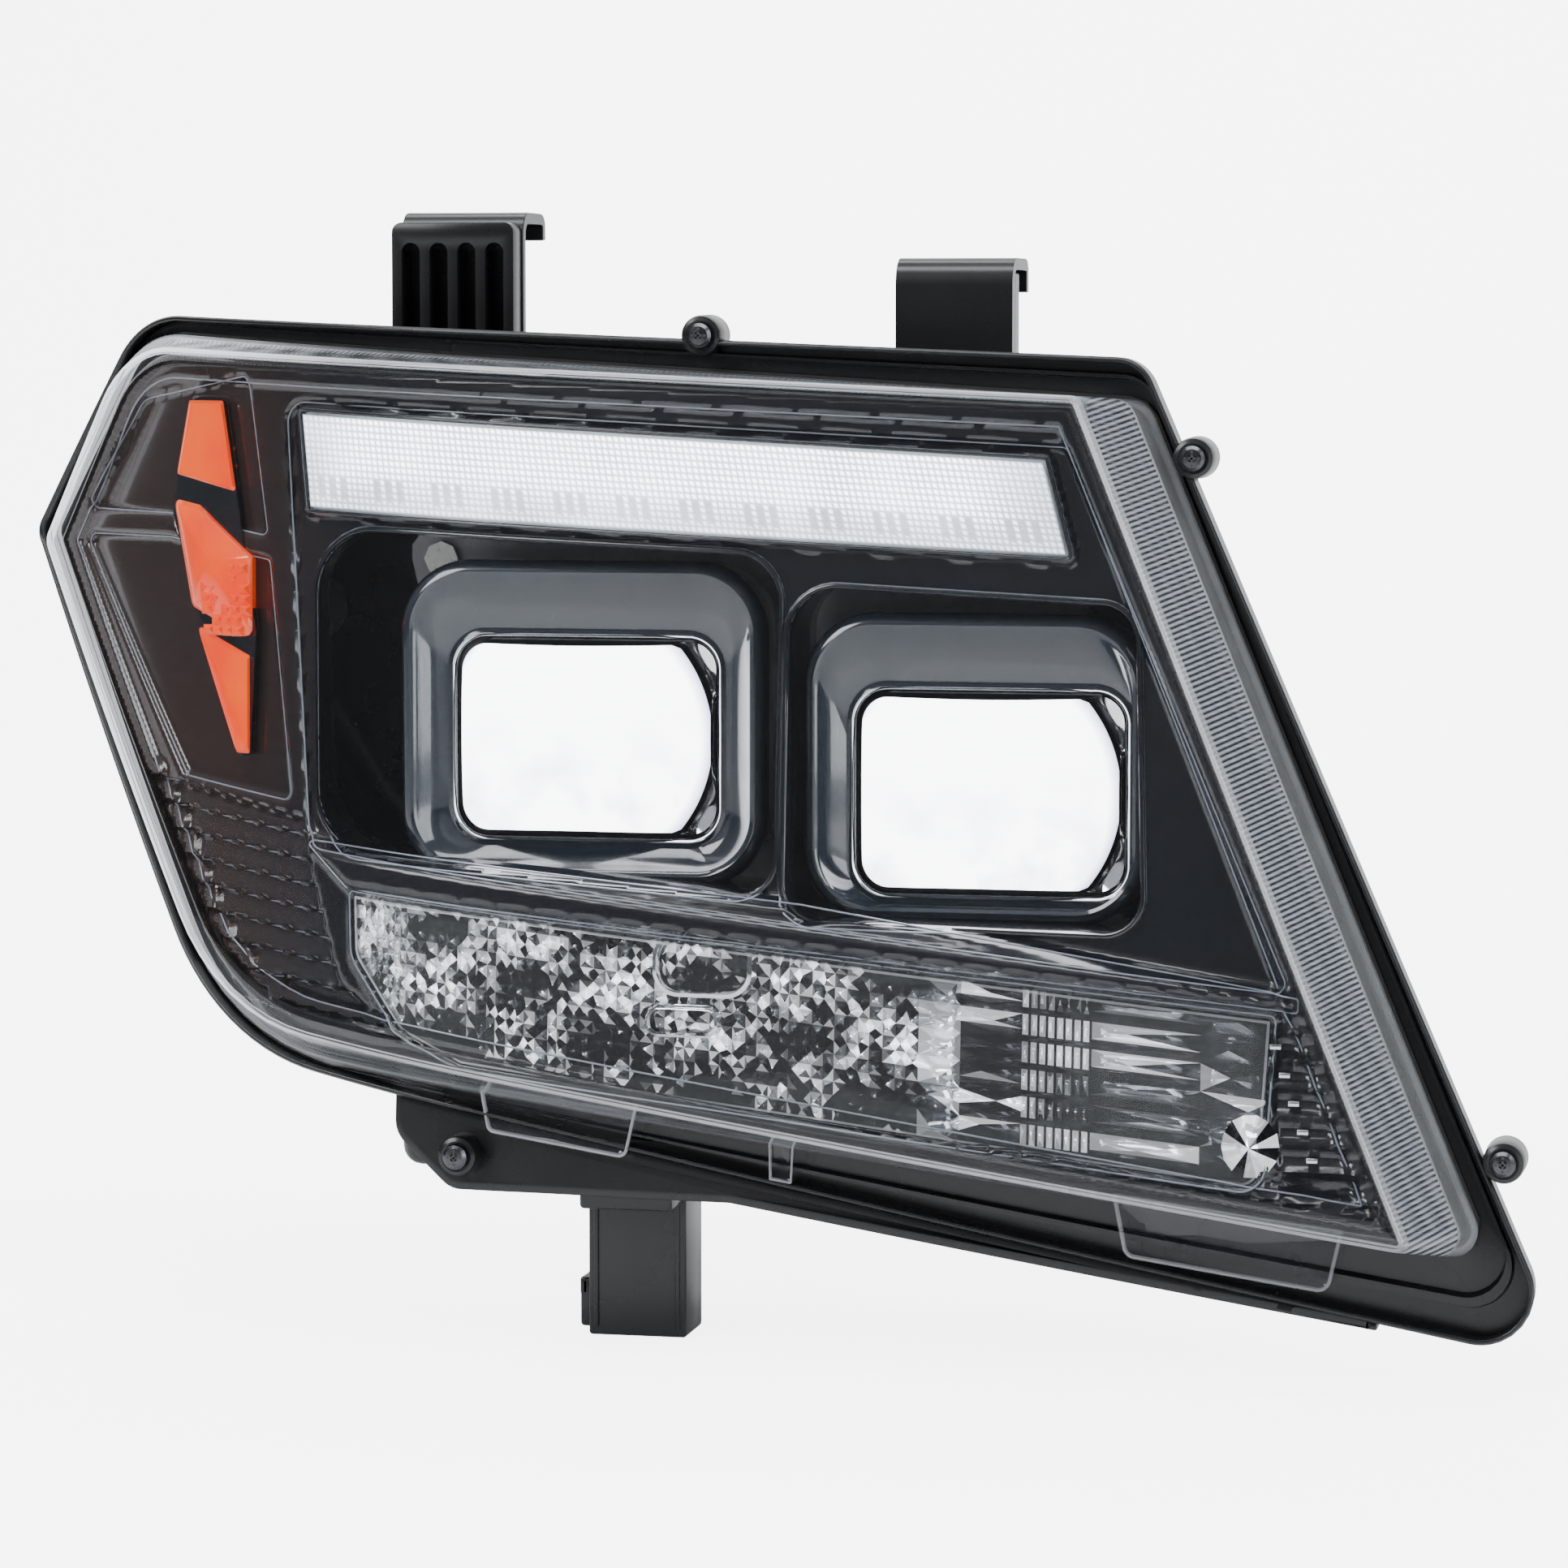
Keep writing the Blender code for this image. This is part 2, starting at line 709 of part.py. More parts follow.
def leg_blocks():
    half = LEG_HALF_WIDTH
    gusset_half = half - INSET
    front, back = LEG_Y
    gusset_back = front + 2 * INSET
    latch_x = (-half - LATCH_REACH, -half + 2 * INSET)
    return [
        ("leg", (-half, front, 0.0), (half, back, LEG_TOP_Z)),
        ("leg_gusset", (-gusset_half, GUSSET_FRONT_Y, GUSSET_Z[0]), (gusset_half, gusset_back, GUSSET_Z[1])),
        ("leg_web", (-WEB_HALF_WIDTH, front + INSET, WEB_Z[0]), (WEB_HALF_WIDTH, back - INSET, WEB_Z[1])),
        ("leg_latch", (latch_x[0], -LATCH_HALF_Y, LATCH_Z[0]), (latch_x[1], LATCH_HALF_Y, LATCH_Z[1])),
        ("lower_lobe", (LOBE_X[0], LOBE_Y[0], LOBE_Z[0]), (LOBE_X[1], LOBE_Y[1], LOBE_Z[1])),
    ]


def hook_blocks(name, x_span, z_span, plate_y, roof_y, drop):
    """A hook's upright plate, its roof and the end turned down behind."""
    left, right = x_span
    foot, top = z_span
    end_y = (roof_y[1] - INSET / 2 - TAB_END, roof_y[1] - INSET / 2)
    return [
        (f"{name}_plate", (left, plate_y, foot), (right, plate_y + TAB_PLATE, top - INSET)),
        (f"{name}_roof", (left + INSET / 2, roof_y[0], top - TAB_PLATE), (right - INSET / 2, roof_y[1], top)),
        (f"{name}_end", (left + INSET, end_y[0], top - drop), (right - INSET, end_y[1], top - 2 * INSET)),
    ]


def outboard_tab_blocks():
    """Ribbed hook: five upright ribs stand before its plate."""
    left, right = OUTBOARD_TAB_X
    foot, top = OUTBOARD_TAB_Z
    plate_y, roof_y = OUTBOARD_PLATE_Y, OUTBOARD_ROOF_Y
    blocks = hook_blocks("tab", OUTBOARD_TAB_X, OUTBOARD_TAB_Z, plate_y, roof_y, OUTBOARD_DROP)
    first, last = left + INSET / 4, right - TAB_RIB - INSET / 4
    for i in range(TAB_RIBS):
        x = first + (last - first) * i / (TAB_RIBS - 1)
        low = (x, OUTBOARD_RIB_Y[0], foot + INSET)
        blocks.append((f"tab_rib_{i}", low, (x + TAB_RIB, OUTBOARD_RIB_Y[1], top - 2 * INSET)))
    return blocks


def inboard_tab_blocks():
    """Plain hook: two side ribs stand behind its smooth plate."""
    left, right = INBOARD_TAB_X
    foot, top = INBOARD_TAB_Z
    plate_y, roof_y = INBOARD_PLATE_Y, INBOARD_ROOF_Y
    blocks = hook_blocks("hook", INBOARD_TAB_X, INBOARD_TAB_Z, plate_y, roof_y, INBOARD_DROP)
    for side, x in (("left", left + INSET), ("right", right - INSET - TAB_RIB)):
        low = (x, INBOARD_RIB_Y[0], foot + INSET / 2)
        blocks.append((f"hook_rib_{side}", low, (x + TAB_RIB, INBOARD_RIB_Y[1], top - 3 * INSET)))
    return blocks


def boss_front(x, z):
    return rim_surface(x, z) - LIP_HEIGHT - BOSS_STAND


def add_screw_bosses(housing):
    for i, (x, z) in enumerate(SCREW_BOSSES):
        front = boss_front(x, z)
        boss = rod(x, z, BOSS_RADIUS, front, front + BOSS_DEPTH, SMALL_ROUND)
        join(housing, add_helper(f"boss_{i}", boss))
        hole = rod(x, z, BOSS_HOLE_RADIUS, front - CUT_REACH, front + BOSS_HOLE_DEPTH, SMALL_ROUND)
        cut(housing, add_helper(f"boss_hole_{i}", hole))


def add_rear_collars(housing):
    """Collars and holes in the back wall for the caps, sockets, adjuster, cable and vents."""
    inside = BACK_WALL_Y - CUT_REACH
    outside = BACK_FACE_Y + CUT_REACH
    for spec in (LOW, HIGH):
        x, z = spec["x"], spec["z"]
        collar = rod(x, z, CAP_COLLAR[0], BACK_WALL_Y + OVERLAP, CAP_COLLAR_END_Y)
        join(housing, add_helper(spec["prefix"] + "_collar", collar))
        cut(housing, add_helper(spec["prefix"] + "_opening", rod(x, z, CAP_COLLAR[1], inside, outside)))
    x, z = MARKER_BULB
    collar = rod(x, z, MARKER_COLLAR[0], BACK_WALL_Y + OVERLAP, MARKER_COLLAR_END_Y, COLLAR_ROUND)
    join(housing, add_helper("marker_collar", collar))
    opening = rod(x, z, MARKER_COLLAR[1], inside, outside, COLLAR_ROUND)
    cut(housing, add_helper("marker_opening", opening))
    x, z = TURN_BULB
    front, back = TURN_COLLAR_Y
    join(housing, add_helper("turn_collar", rod(x, z, TURN_COLLAR[0], front, back, COLLAR_ROUND)))
    opening = rod(x, z, TURN_COLLAR[1], front - CUT_REACH, back + CUT_REACH, COLLAR_ROUND)
    cut(housing, add_helper("turn_opening", opening))
    for name, x in (("outer_post", OUTER_PIVOT_X), ("inner_post", INNER_PIVOT_X)):
        post = rod(x, PIVOT_Z, POST_RADIUS, SOCKET_BACK_Y + GAP, BACK_WALL_Y + OVERLAP, SMALL_ROUND)
        join(housing, add_helper(name, post))
    holes = [("adjuster_hole", ADJUSTER_X, ADJUSTER_Z, ADJUSTER_HOLE_RADIUS)]
    holes.append(("grommet_hole", *GROMMET, GROMMET_HOLE_RADIUS))
    holes += [(f"{side}_vent_hole", x, z, VENT_HOLE_RADIUS) for side, (x, z) in VENTS.items()]
    holes += [(f"{name}_hole", x, z, DRIVER_HOLE_RADIUS) for name, x, z in driver_screw_places()]
    for name, x, z, radius in holes:
        cut(housing, add_helper(name, rod(x, z, radius, inside, outside, SMALL_ROUND)))


# ---------------------------------------------------------------- outer lens, seal, bezel
def shrunk_rings(corners, surface, shares, grow=0.0):
    """Rings that shrink towards the outline's centre, smallest first, laid on a surface."""
    points = outline(grown(corners, grow))
    middle = sum(points, Vector((0.0, 0.0))) / len(points)
    rings = []
    for share in shares:
        spots = [middle.lerp(point, share) for point in points]
        rings.append([Vector((s.x, surface(s.x, s.y), s.y)) for s in spots])
    return rings


def make_outer_lens():
    rings = shrunk_rings(FACE, lens_surface, (0.25, 0.5, 0.75), -LENS_EDGE_ROUND)
    rings.append(ring(FACE, lens_surface, -LENS_EDGE_ROUND))
    rings.append(ring(FACE, behind(lens_surface, LENS_EDGE_ROUND)))
    rings.append(ring(SKIRT, behind(rim_surface, -SKIRT_FOOT)))
    rings.append(ring(SKIRT, rim_surface))
    lens = add_part("outer_lens", lofted(rings, cap_first=True), CLEAR)
    thicken(lens, LENS_WALL, -1)


def make_lens_seal():
    front = behind(rim_surface, 2 * GAP)
    back = behind(rim_surface, FLOOR_SET - GAP)
    rings = [
        ring(SKIRT, front, SEAL_OUTSIDE, SKIRT),
        ring(SKIRT, back, SEAL_OUTSIDE, SKIRT),
        ring(SKIRT, back, -SEAL_INSIDE, SKIRT),
        ring(SKIRT, front, -SEAL_INSIDE, SKIRT),
    ]
    add_part("lens_seal", closed_band(rings), RUBBER)


def make_bezel():
    surface = behind(lens_surface, BEZEL_SET)
    rings = shrunk_rings(FACE, surface, (0.3, 0.6, 0.8), -BEZEL_INSET)
    rings.append(ring(FACE, surface, -BEZEL_INSET))
    rings.append(ring(FACE, behind(surface, -BEZEL_CREST), -BEZEL_CREST_INSET))
    rings.append(ring(SKIRT, behind(rim_surface, -SKIRT_FOOT), -BEZEL_INSET, SKIRT))
    rings.append(ring(SKIRT, behind(rim_surface, -BEZEL_FOOT), -BEZEL_INSET, SKIRT))
    bezel = add_part("bezel", lofted(rings, cap_first=True), GLOSS_BLACK)
    thicken(bezel, BEZEL_WALL, -1)
    openings = {
        "drl_opening": (grown(DRL, OPENING_PLAY), 1),
        "turn_opening_front": (grown(TURN, OPENING_PLAY), 1),
        "marker_opening_front": (grown(MARKER, OPENING_PLAY), 1),
        "low_recess": (LOW_RECESS, 3),
        "high_recess": (HIGH_RECESS, 3),
    }
    for name, (corners, arc_steps) in openings.items():
        rings = [ring(corners, flat(y), 0.0, None, arc_steps, 1) for y in OPENING_REACH_Y]
        cut(bezel, add_helper(name, lofted(rings, cap_first=True, cap_last=True)))


# ---------------------------------------------------------------- lamp trays and trim lenses
def make_tray(name, corners, depth, steps, material):
    back = TRAY_SET + depth
    tray = add_part(name, bar(grown(corners, TRAY_WALL), lens_surface, TRAY_SET, back, steps), material)
    pocket = bar(corners, lens_surface, TRAY_SET - 2 * OVERLAP, back - TRAY_WALL, steps)
    cut(tray, add_helper(name + "_pocket", pocket))
    return tray


def make_trim_lens(name, corners, steps, material):
    near = TRIM_LENS_SET
    strip = bar(grown(corners, -GAP), lens_surface, near, near + TRIM_LENS_DEPTH, steps)
    add_part(name, strip, material)


def make_drl():
    make_trim_lens("drl_lens", DRL, TRIM_STEPS, LIT_CLEAR)
    make_tray("drl_tray", DRL, DRL_TRAY_DEPTH, TRIM_STEPS, WHITE_PLASTIC)
    near = TRAY_SET + DRL_TRAY_DEPTH - TRAY_WALL - DRL_BOARD_STAND
    strip = bar(grown(DRL, -DRL_BOARD_INSET), lens_surface, near, near + LED_BOARD, TRIM_STEPS)
    board = add_part("drl_led_board", strip, BOARD)
    left = Vector(DRL[0][:2]).lerp(Vector(DRL[3][:2]), 0.5)
    right = Vector(DRL[1][:2]).lerp(Vector(DRL[2][:2]), 0.5)
    for i in range(DRL_LEDS):
        spot = left.lerp(right, (i + 0.5) / DRL_LEDS)
        y = lens_surface(spot.x, spot.y) + near
        low = (spot.x - DRL_LED_HALF, y - DRL_LED_RISE, spot.y - DRL_LED_HALF)
        high = (spot.x + DRL_LED_HALF, y + LED_BOARD / 2, spot.y + DRL_LED_HALF)
        join(board, add_helper(f"drl_led_{i}", block(low, high)))


def make_turn_lamp():
    make_trim_lens("turn_lens", TURN, TRIM_STEPS, CLEAR)
    tray = make_tray("turn_reflector", TURN, TURN_TRAY_DEPTH, TRIM_STEPS, CHROME)
    x, z = TURN_BULB
    cut(tray, add_helper("turn_bulb_hole", rod(x, z, TURN_BULB_HOLE, *TURN_HOLE_Y, COLLAR_ROUND)))


def make_marker_lamp():
    rings = [
        ring(MARKER, behind(lens_surface, depth), -GAP, None, 2, 2)
        for depth in (TRIM_LENS_SET, TRIM_LENS_SET + TRIM_LENS_DEPTH)
    ]
    add_part("marker_lens", lofted(rings, cap_first=True, cap_last=True), AMBER)
    near = TRAY_SET + GAP
    rings = [
        ring(MARKER, behind(lens_surface, near + MARKER_TRAY_DEPTH), -MARKER_TRAY_INSET, None, 2, 2),
        ring(MARKER, behind(lens_surface, near), MARKER_TRAY_FLARE, None, 2, 2),
    ]
    reflector = add_part("marker_reflector", lofted(rings, cap_first=True), CHROME)
    thicken(reflector, TRAY_WALL, 1)
    x, z = MARKER_BULB
    hole = rod(x, z, MARKER_BULB_HOLE, *MARKER_HOLE_Y, SMALL_ROUND)
    cut(reflector, add_helper("marker_bulb_hole", hole))


# ---------------------------------------------------------------- projectors
def circle_like(points, spec, radius, y):
    """The ring's points pushed onto a circle about the optical axis."""
    centre = Vector((spec["x"], spec["z"]))
    result = []
    for point in points:
        direction = (Vector((point.x, point.z)) - centre).normalized()
        spot = centre + direction * radius
        result.append(Vector((spot.x, y, spot.y)))
    return result


def window(spec, grow=0.0):
    half_x, half_z = WINDOW_HALF
    low_x, high_x = spec["x"] - half_x, spec["x"] + half_x
    low_z, high_z = spec["z"] - half_z, spec["z"] + half_z
    return grown(rectangle(low_x, high_x, low_z, high_z, WINDOW_RADIUS), grow)


def projector_ring(corners, y, grow=0.0):
    return ring(corners, flat(y), grow, None, 2, 2)


def make_shroud(spec):
    y = spec["y"]
    opening = projector_ring(window(spec), y)
    outer = rectangle(*spec["shroud"], SHROUD_RADIUS)
    front = projector_ring(outer, y - SHROUD_FRONT)
    rings = [
        opening,
        blended(opening, front, 0.55, 0.75),
        blended(opening, front, 0.88, 1.0),
        projector_ring(outer, y - SHROUD_CORNER),
        projector_ring(outer, y + SHROUD_SKIRT),
    ]
    shroud = add_part(spec["prefix"] + "_shroud", lofted(rings), GLOSS_BLACK)
    thicken(shroud, SHROUD_WALL, -1)


def make_projector_lens(spec):
    y = spec["y"] + LENS_INSET
    front = projector_ring(window(spec, -LENS_PLAY), y)
    rings = [circle_like(front, spec, radius, y - rise) for radius, rise in dome_steps()]
    rings.append(front)
    rings.append(projector_ring(window(spec, -LENS_PLAY), y + LENS_PLATE))
    lens = lofted(rings, cap_first=True, cap_last=True)
    add_part(spec["prefix"] + "_projector_lens", lens, GLASS, 40)


def dome_steps():
    """Radius and rise of the lens dome from its crown out to its foot."""
    angles = [math.pi / 2 * (i + 1) / DOME_STEPS for i in range(DOME_STEPS)]
    return [(DOME_FOOT * math.sin(angle), DOME_CROWN * math.cos(angle)) for angle in angles]


def make_projector_body(spec):
    prefix, x, z = spec["prefix"], spec["x"], spec["z"]
    y = spec["y"] + LENS_INSET + LENS_PLATE + GAP
    front = projector_ring(window(spec, -LENS_PLAY), y)
    back_y = spec["y"] + BODY_LENGTH
    back_radius = BODY_BACK_RADIUS - BODY_BACK_ROUND
    rings = [
        front,
        projector_ring(window(spec, -LENS_PLAY), y + BODY_BACK_ROUND),
        circle_like(front, spec, BODY_RADIUS - OVERLAP, y + BODY_NECK),
        circle_like(front, spec, BODY_RADIUS, y + BODY_BARREL),
        circle_like(front, spec, BODY_BACK_RADIUS, back_y - 2 * OVERLAP),
        circle_like(front, spec, back_radius, back_y),
    ]
    body = add_part(prefix + "_projector_body", lofted(rings, cap_last=True), ALUMINIUM)
    thicken(body, BODY_WALL, -1)
    ear_y = (CARRIER_Y[0] - GAP - EAR_THICKNESS, CARRIER_Y[0] - GAP)
    ear_z = (z - EAR_HALF_HEIGHT, z + EAR_HALF_HEIGHT)
    for side, sign in (("left", -1), ("right", 1)):
        inner, outer = x + sign * (BODY_RADIUS - EAR_INSIDE), x + sign * (BODY_RADIUS + EAR_OUTSIDE)
        near, far = sorted((inner, outer))
        ear = block((near, ear_y[0], ear_z[0]), (far, ear_y[1], ear_z[1]))
        join(body, add_helper(f"{prefix}_ear_{side}", ear))
    hole = rod(x, z, LED_HOLE_RADIUS, back_y - CUT_REACH, back_y + CUT_REACH, SMALL_ROUND)
    cut(body, add_helper(prefix + "_led_hole", hole))


def make_projector_board(spec):
    x, z, y = spec["x"], spec["z"], spec["y"] + BODY_LENGTH + GAP
    half = LED_BOARD_HALF
    corners = rectangle(x - half, x + half, z - half, z + half, PLATE_RADIUS)
    board = plate(spec["prefix"] + "_led_board", corners, y, y + LED_BOARD, BOARD, 2)
    chip_x, chip_z = LED_CHIP_HALF
    low = (x - chip_x, y - LED_CHIP_RISE, z - chip_z)
    chip = block(low, (x + chip_x, y + LED_BOARD / 2, z + chip_z))
    join(board, add_helper(spec["prefix"] + "_led_chip", chip))


def heatsink_front(spec):
    return spec["y"] + BODY_LENGTH + LED_BOARD + 2 * GAP


def make_heatsink(spec):
    x, z, y = spec["x"], spec["z"], heatsink_front(spec)
    half = HEATSINK_HALF
    corners = rectangle(x - half, x + half, z - half, z + half, PLATE_RADIUS)
    sink = plate(spec["prefix"] + "_heatsink", corners, y, y + HEATSINK_BASE, ALUMINIUM, 2)
    first, last = x - half + PLATE_RADIUS, x + half - PLATE_RADIUS
    for i in range(HEATSINK_FINS):
        fin_x = first + (last - first) * i / (HEATSINK_FINS - 1)
        low = (fin_x - FIN_HALF, y + HEATSINK_BASE - OVERLAP, z - half + OVERLAP)
        high = (fin_x + FIN_HALF, y + HEATSINK_DEPTH, z + half - OVERLAP)
        join(sink, add_helper(f"{spec['prefix']}_fin_{i}", block(low, high)))


def make_fan(spec):
    prefix, x, z = spec["prefix"], spec["x"], spec["z"]
    y = heatsink_front(spec) + HEATSINK_DEPTH + GAP
    half = FAN_HALF
    corners = rectangle(x - half, x + half, z - half, z + half, PLATE_RADIUS)
    frame = plate(prefix + "_fan_frame", corners, y, y + FAN_DEPTH, MATTE_BLACK, 2)
    bore = rod(x, z, FAN_RADIUS, y - CUT_REACH, y + FAN_DEPTH + CUT_REACH)
    cut(frame, add_helper(prefix + "_fan_bore", bore))
    reach = FAN_RADIUS + OVERLAP
    for name, half_x, half_z in (("across", reach, FAN_STRUT_HALF), ("upright", FAN_STRUT_HALF, reach)):
        low = (x - half_x, y + FAN_STRUT_Y[0], z - half_z)
        high = (x + half_x, y + FAN_STRUT_Y[1], z + half_z)
        join(frame, add_helper(f"{prefix}_strut_{name}", block(low, high)))
    front, back = y + FAN_HUB_Y[0], y + FAN_HUB_Y[1]
    profile = [(0.0, front), (FAN_HUB_RADIUS, front), (FAN_HUB_RADIUS, back), (0.0, back)]
    rotor = turned(prefix + "_fan_rotor", profile, x, z, MATTE_BLACK, COLLAR_ROUND)
    for i in range(FAN_BLADES):
        join(rotor, add_helper(f"{prefix}_blade_{i}", fan_blade(x, z, (front + back) / 2, i)))


def fan_blade(x, z, y, index):
    """Pitched blade that runs out from the hub."""
    bm = bmesh.new()
    turn = Matrix.Rotation(2 * math.pi * index / FAN_BLADES, 4, "Y")
    pitch = Matrix.Rotation(math.radians(BLADE_PITCH), 4, "X")
    reach = Matrix.Translation((BLADE_MIDDLE, 0.0, 0.0)) @ pitch
    size = Matrix.Diagonal((*BLADE_SIZE, 1.0))
    bmesh.ops.create_cube(bm, size=1.0, matrix=Matrix.Translation((x, y, z)) @ turn @ reach @ size)
    return bm


# ---------------------------------------------------------------- carrier, pivots, adjuster
def make_carrier():
    carrier = plate("projector_carrier", CARRIER, *CARRIER_Y, GREY_PLASTIC)
    front, back = CARRIER_Y[0] - CUT_REACH, CARRIER_Y[1] + CUT_REACH
    for spec in (LOW, HIGH):
        bore = rod(spec["x"], spec["z"], CARRIER_BORE, front, back)
        cut(carrier, add_helper(spec["prefix"] + "_carrier_bore", bore))
    holes = [
        ("outer_stud_hole", OUTER_PIVOT_X, PIVOT_Z, STUD_HOLE_RADIUS),
        ("inner_stud_hole", INNER_PIVOT_X, PIVOT_Z, STUD_HOLE_RADIUS),
        ("adjuster_pass", ADJUSTER_X, ADJUSTER_Z, ADJUSTER_PASS_RADIUS),
    ]
    for name, x, z, radius in holes:
        cut(carrier, add_helper(name, rod(x, z, radius, front, back, SMALL_ROUND)))


def ball_arc(radius, start_degrees, end_degrees, steps):
    """Radius and y along a circle about the pivot; zero degrees points to the rear."""
    result = []
    for step in range(steps + 1):
        angle = math.radians(start_degrees + (end_degrees - start_degrees) * step / steps)
        result.append((radius * math.sin(angle), PIVOT_Y + radius * math.cos(angle)))
    return result


def make_pivot(side, x):
    head_back = CARRIER_Y[0] - GAP
    head_front = head_back - STUD_HEAD
    neck = STUD_NECK_RADIUS
    neck_degrees = 180 - math.degrees(math.asin(neck / BALL_RADIUS))
    head = STUD_HEAD_RADIUS
    stud = [(0.0, head_front), (head, head_front), (head, head_back), (neck, head_back)]
    stud += ball_arc(BALL_RADIUS, neck_degrees, BALL_FLAT_DEGREES, 4)
    stud.append((0.0, PIVOT_Y + BALL_RADIUS))
    turned(f"ball_stud_{side}", stud, x, PIVOT_Z, STEEL, SMALL_ROUND)
    cup = BALL_RADIUS + GAP
    mouth_degrees = 180 - math.degrees(math.asin(SOCKET_MOUTH_RADIUS / cup))
    socket = [(0.0, PIVOT_Y + cup)] + ball_arc(cup, BALL_FLAT_DEGREES, mouth_degrees, 4)
    socket += [(SOCKET_RADIUS, socket[-1][1]), (SOCKET_RADIUS, SOCKET_BACK_Y), (0.0, SOCKET_BACK_Y)]
    turned(f"pivot_socket_{side}", socket, x, PIVOT_Z, WHITE_PLASTIC, SMALL_ROUND)


def make_adjuster():
    make_adjuster_nut()
    make_adjuster_screw()
    make_adjuster_bush()
    make_adjuster_knob()


def make_adjuster_nut():
    """Nut that rides on the screw's thread and pushes the carrier's lower edge."""
    flange_front = CARRIER_Y[1] + GAP
    front, back = PIVOT_Y - NUT_HALF_LENGTH, PIVOT_Y + NUT_HALF_LENGTH
    profile = [
        (NUT_ENTRY, flange_front),
        (NUT_FLANGE_RADIUS, flange_front),
        (NUT_FLANGE_RADIUS, front),
        (NUT_RADIUS, front),
        (NUT_RADIUS, back),
        (NUT_BORE, back),
        (NUT_BORE, front),
        (NUT_ENTRY, front),
    ]
    turned("adjuster_nut", profile, ADJUSTER_X, ADJUSTER_Z, WHITE_PLASTIC, SMALL_ROUND, closed=True)


def make_adjuster_screw():
    """Long screw with a thrust collar inside the back wall."""
    shaft = ADJUSTER_RADIUS
    front, back = ADJUSTER_Y
    profile = [
        (0.0, front),
        (shaft - ADJUSTER_POINT, front),
        (shaft, front + ADJUSTER_POINT),
        (shaft, THRUST_Y[0]),
        (THRUST_RADIUS, THRUST_Y[0]),
        (THRUST_RADIUS, THRUST_Y[1]),
        (shaft, THRUST_Y[1]),
        (shaft, back),
        (0.0, back),
    ]
    turned("adjuster_screw", profile, ADJUSTER_X, ADJUSTER_Z, STEEL, SMALL_ROUND)


def make_adjuster_bush():
    bore = ADJUSTER_RADIUS + GAP
    front = THRUST_Y[1] + GAP
    flange = BACK_FACE_Y + GAP
    profile = [
        (bore, front),
        (BUSH_RADIUS, front),
        (BUSH_RADIUS, flange),
        (BUSH_FLANGE_RADIUS, flange),
        (BUSH_FLANGE_RADIUS, flange + BUSH_FLANGE),
        (bore, flange + BUSH_FLANGE),
    ]
    turned("adjuster_bush", profile, ADJUSTER_X, ADJUSTER_Z, WHITE_PLASTIC, SMALL_ROUND, closed=True)


def make_adjuster_knob():
    """Knob with six finger flutes on the screw's rear end."""
    x, z = ADJUSTER_X, ADJUSTER_Z
    front = BACK_FACE_Y + BUSH_FLANGE + 3 * GAP
    profile = ring_profile(ADJUSTER_RADIUS + GAP, KNOB_RADIUS, front, front + KNOB_LENGTH)
    knob = turned("adjuster_knob", profile, x, z, GREY_PLASTIC, SMALL_ROUND, closed=True)
    for i in range(KNOB_FLUTES):
        angle = 2 * math.pi * i / KNOB_FLUTES
        spot_x, spot_z = x + FLUTE_CIRCLE * math.cos(angle), z + FLUTE_CIRCLE * math.sin(angle)
        flute = rod(spot_x, spot_z, FLUTE_RADIUS, front - OVERLAP, front + KNOB_LENGTH + OVERLAP, SMALL_ROUND)
        cut(knob, add_helper(f"knob_flute_{i}", flute))


# ---------------------------------------------------------------- rear caps and bulb sockets
def make_rear_cap(spec):
    prefix, x, z = spec["prefix"], spec["x"], spec["z"]
    outer, inner = CAP_COLLAR
    seal_front = CAP_COLLAR_END_Y + GAP
    seal_back = seal_front + CAP_SEAL
    seal = ring_profile(inner + GAP, outer - GAP, seal_front, seal_back)
    turned(prefix + "_cap_seal", seal, x, z, RUBBER, closed=True)
    rim_front = BACK_FACE_Y + CAP_RIM_STAND
    floor = seal_back + GAP
    back = floor + CAP_WALL
    cap = [
        (0.0, floor),
        (outer + CAP_PLAY, floor),
        (outer + CAP_PLAY, rim_front),
        (outer + CAP_RIM, rim_front),
        (outer + CAP_RIM, back - OVERLAP),
        (outer + CAP_RIM - CAP_CHAMFER, back),
        (0.0, back),
    ]
    item = turned(prefix + "_rear_cap", cap, x, z, MATTE_BLACK)
    grip_x, grip_y, grip_z = CAP_GRIP
    grip = block((x - grip_x, back - OVERLAP, z - grip_z), (x + grip_x, floor + grip_y, z + grip_z))
    join(item, add_helper(prefix + "_cap_grip", grip))


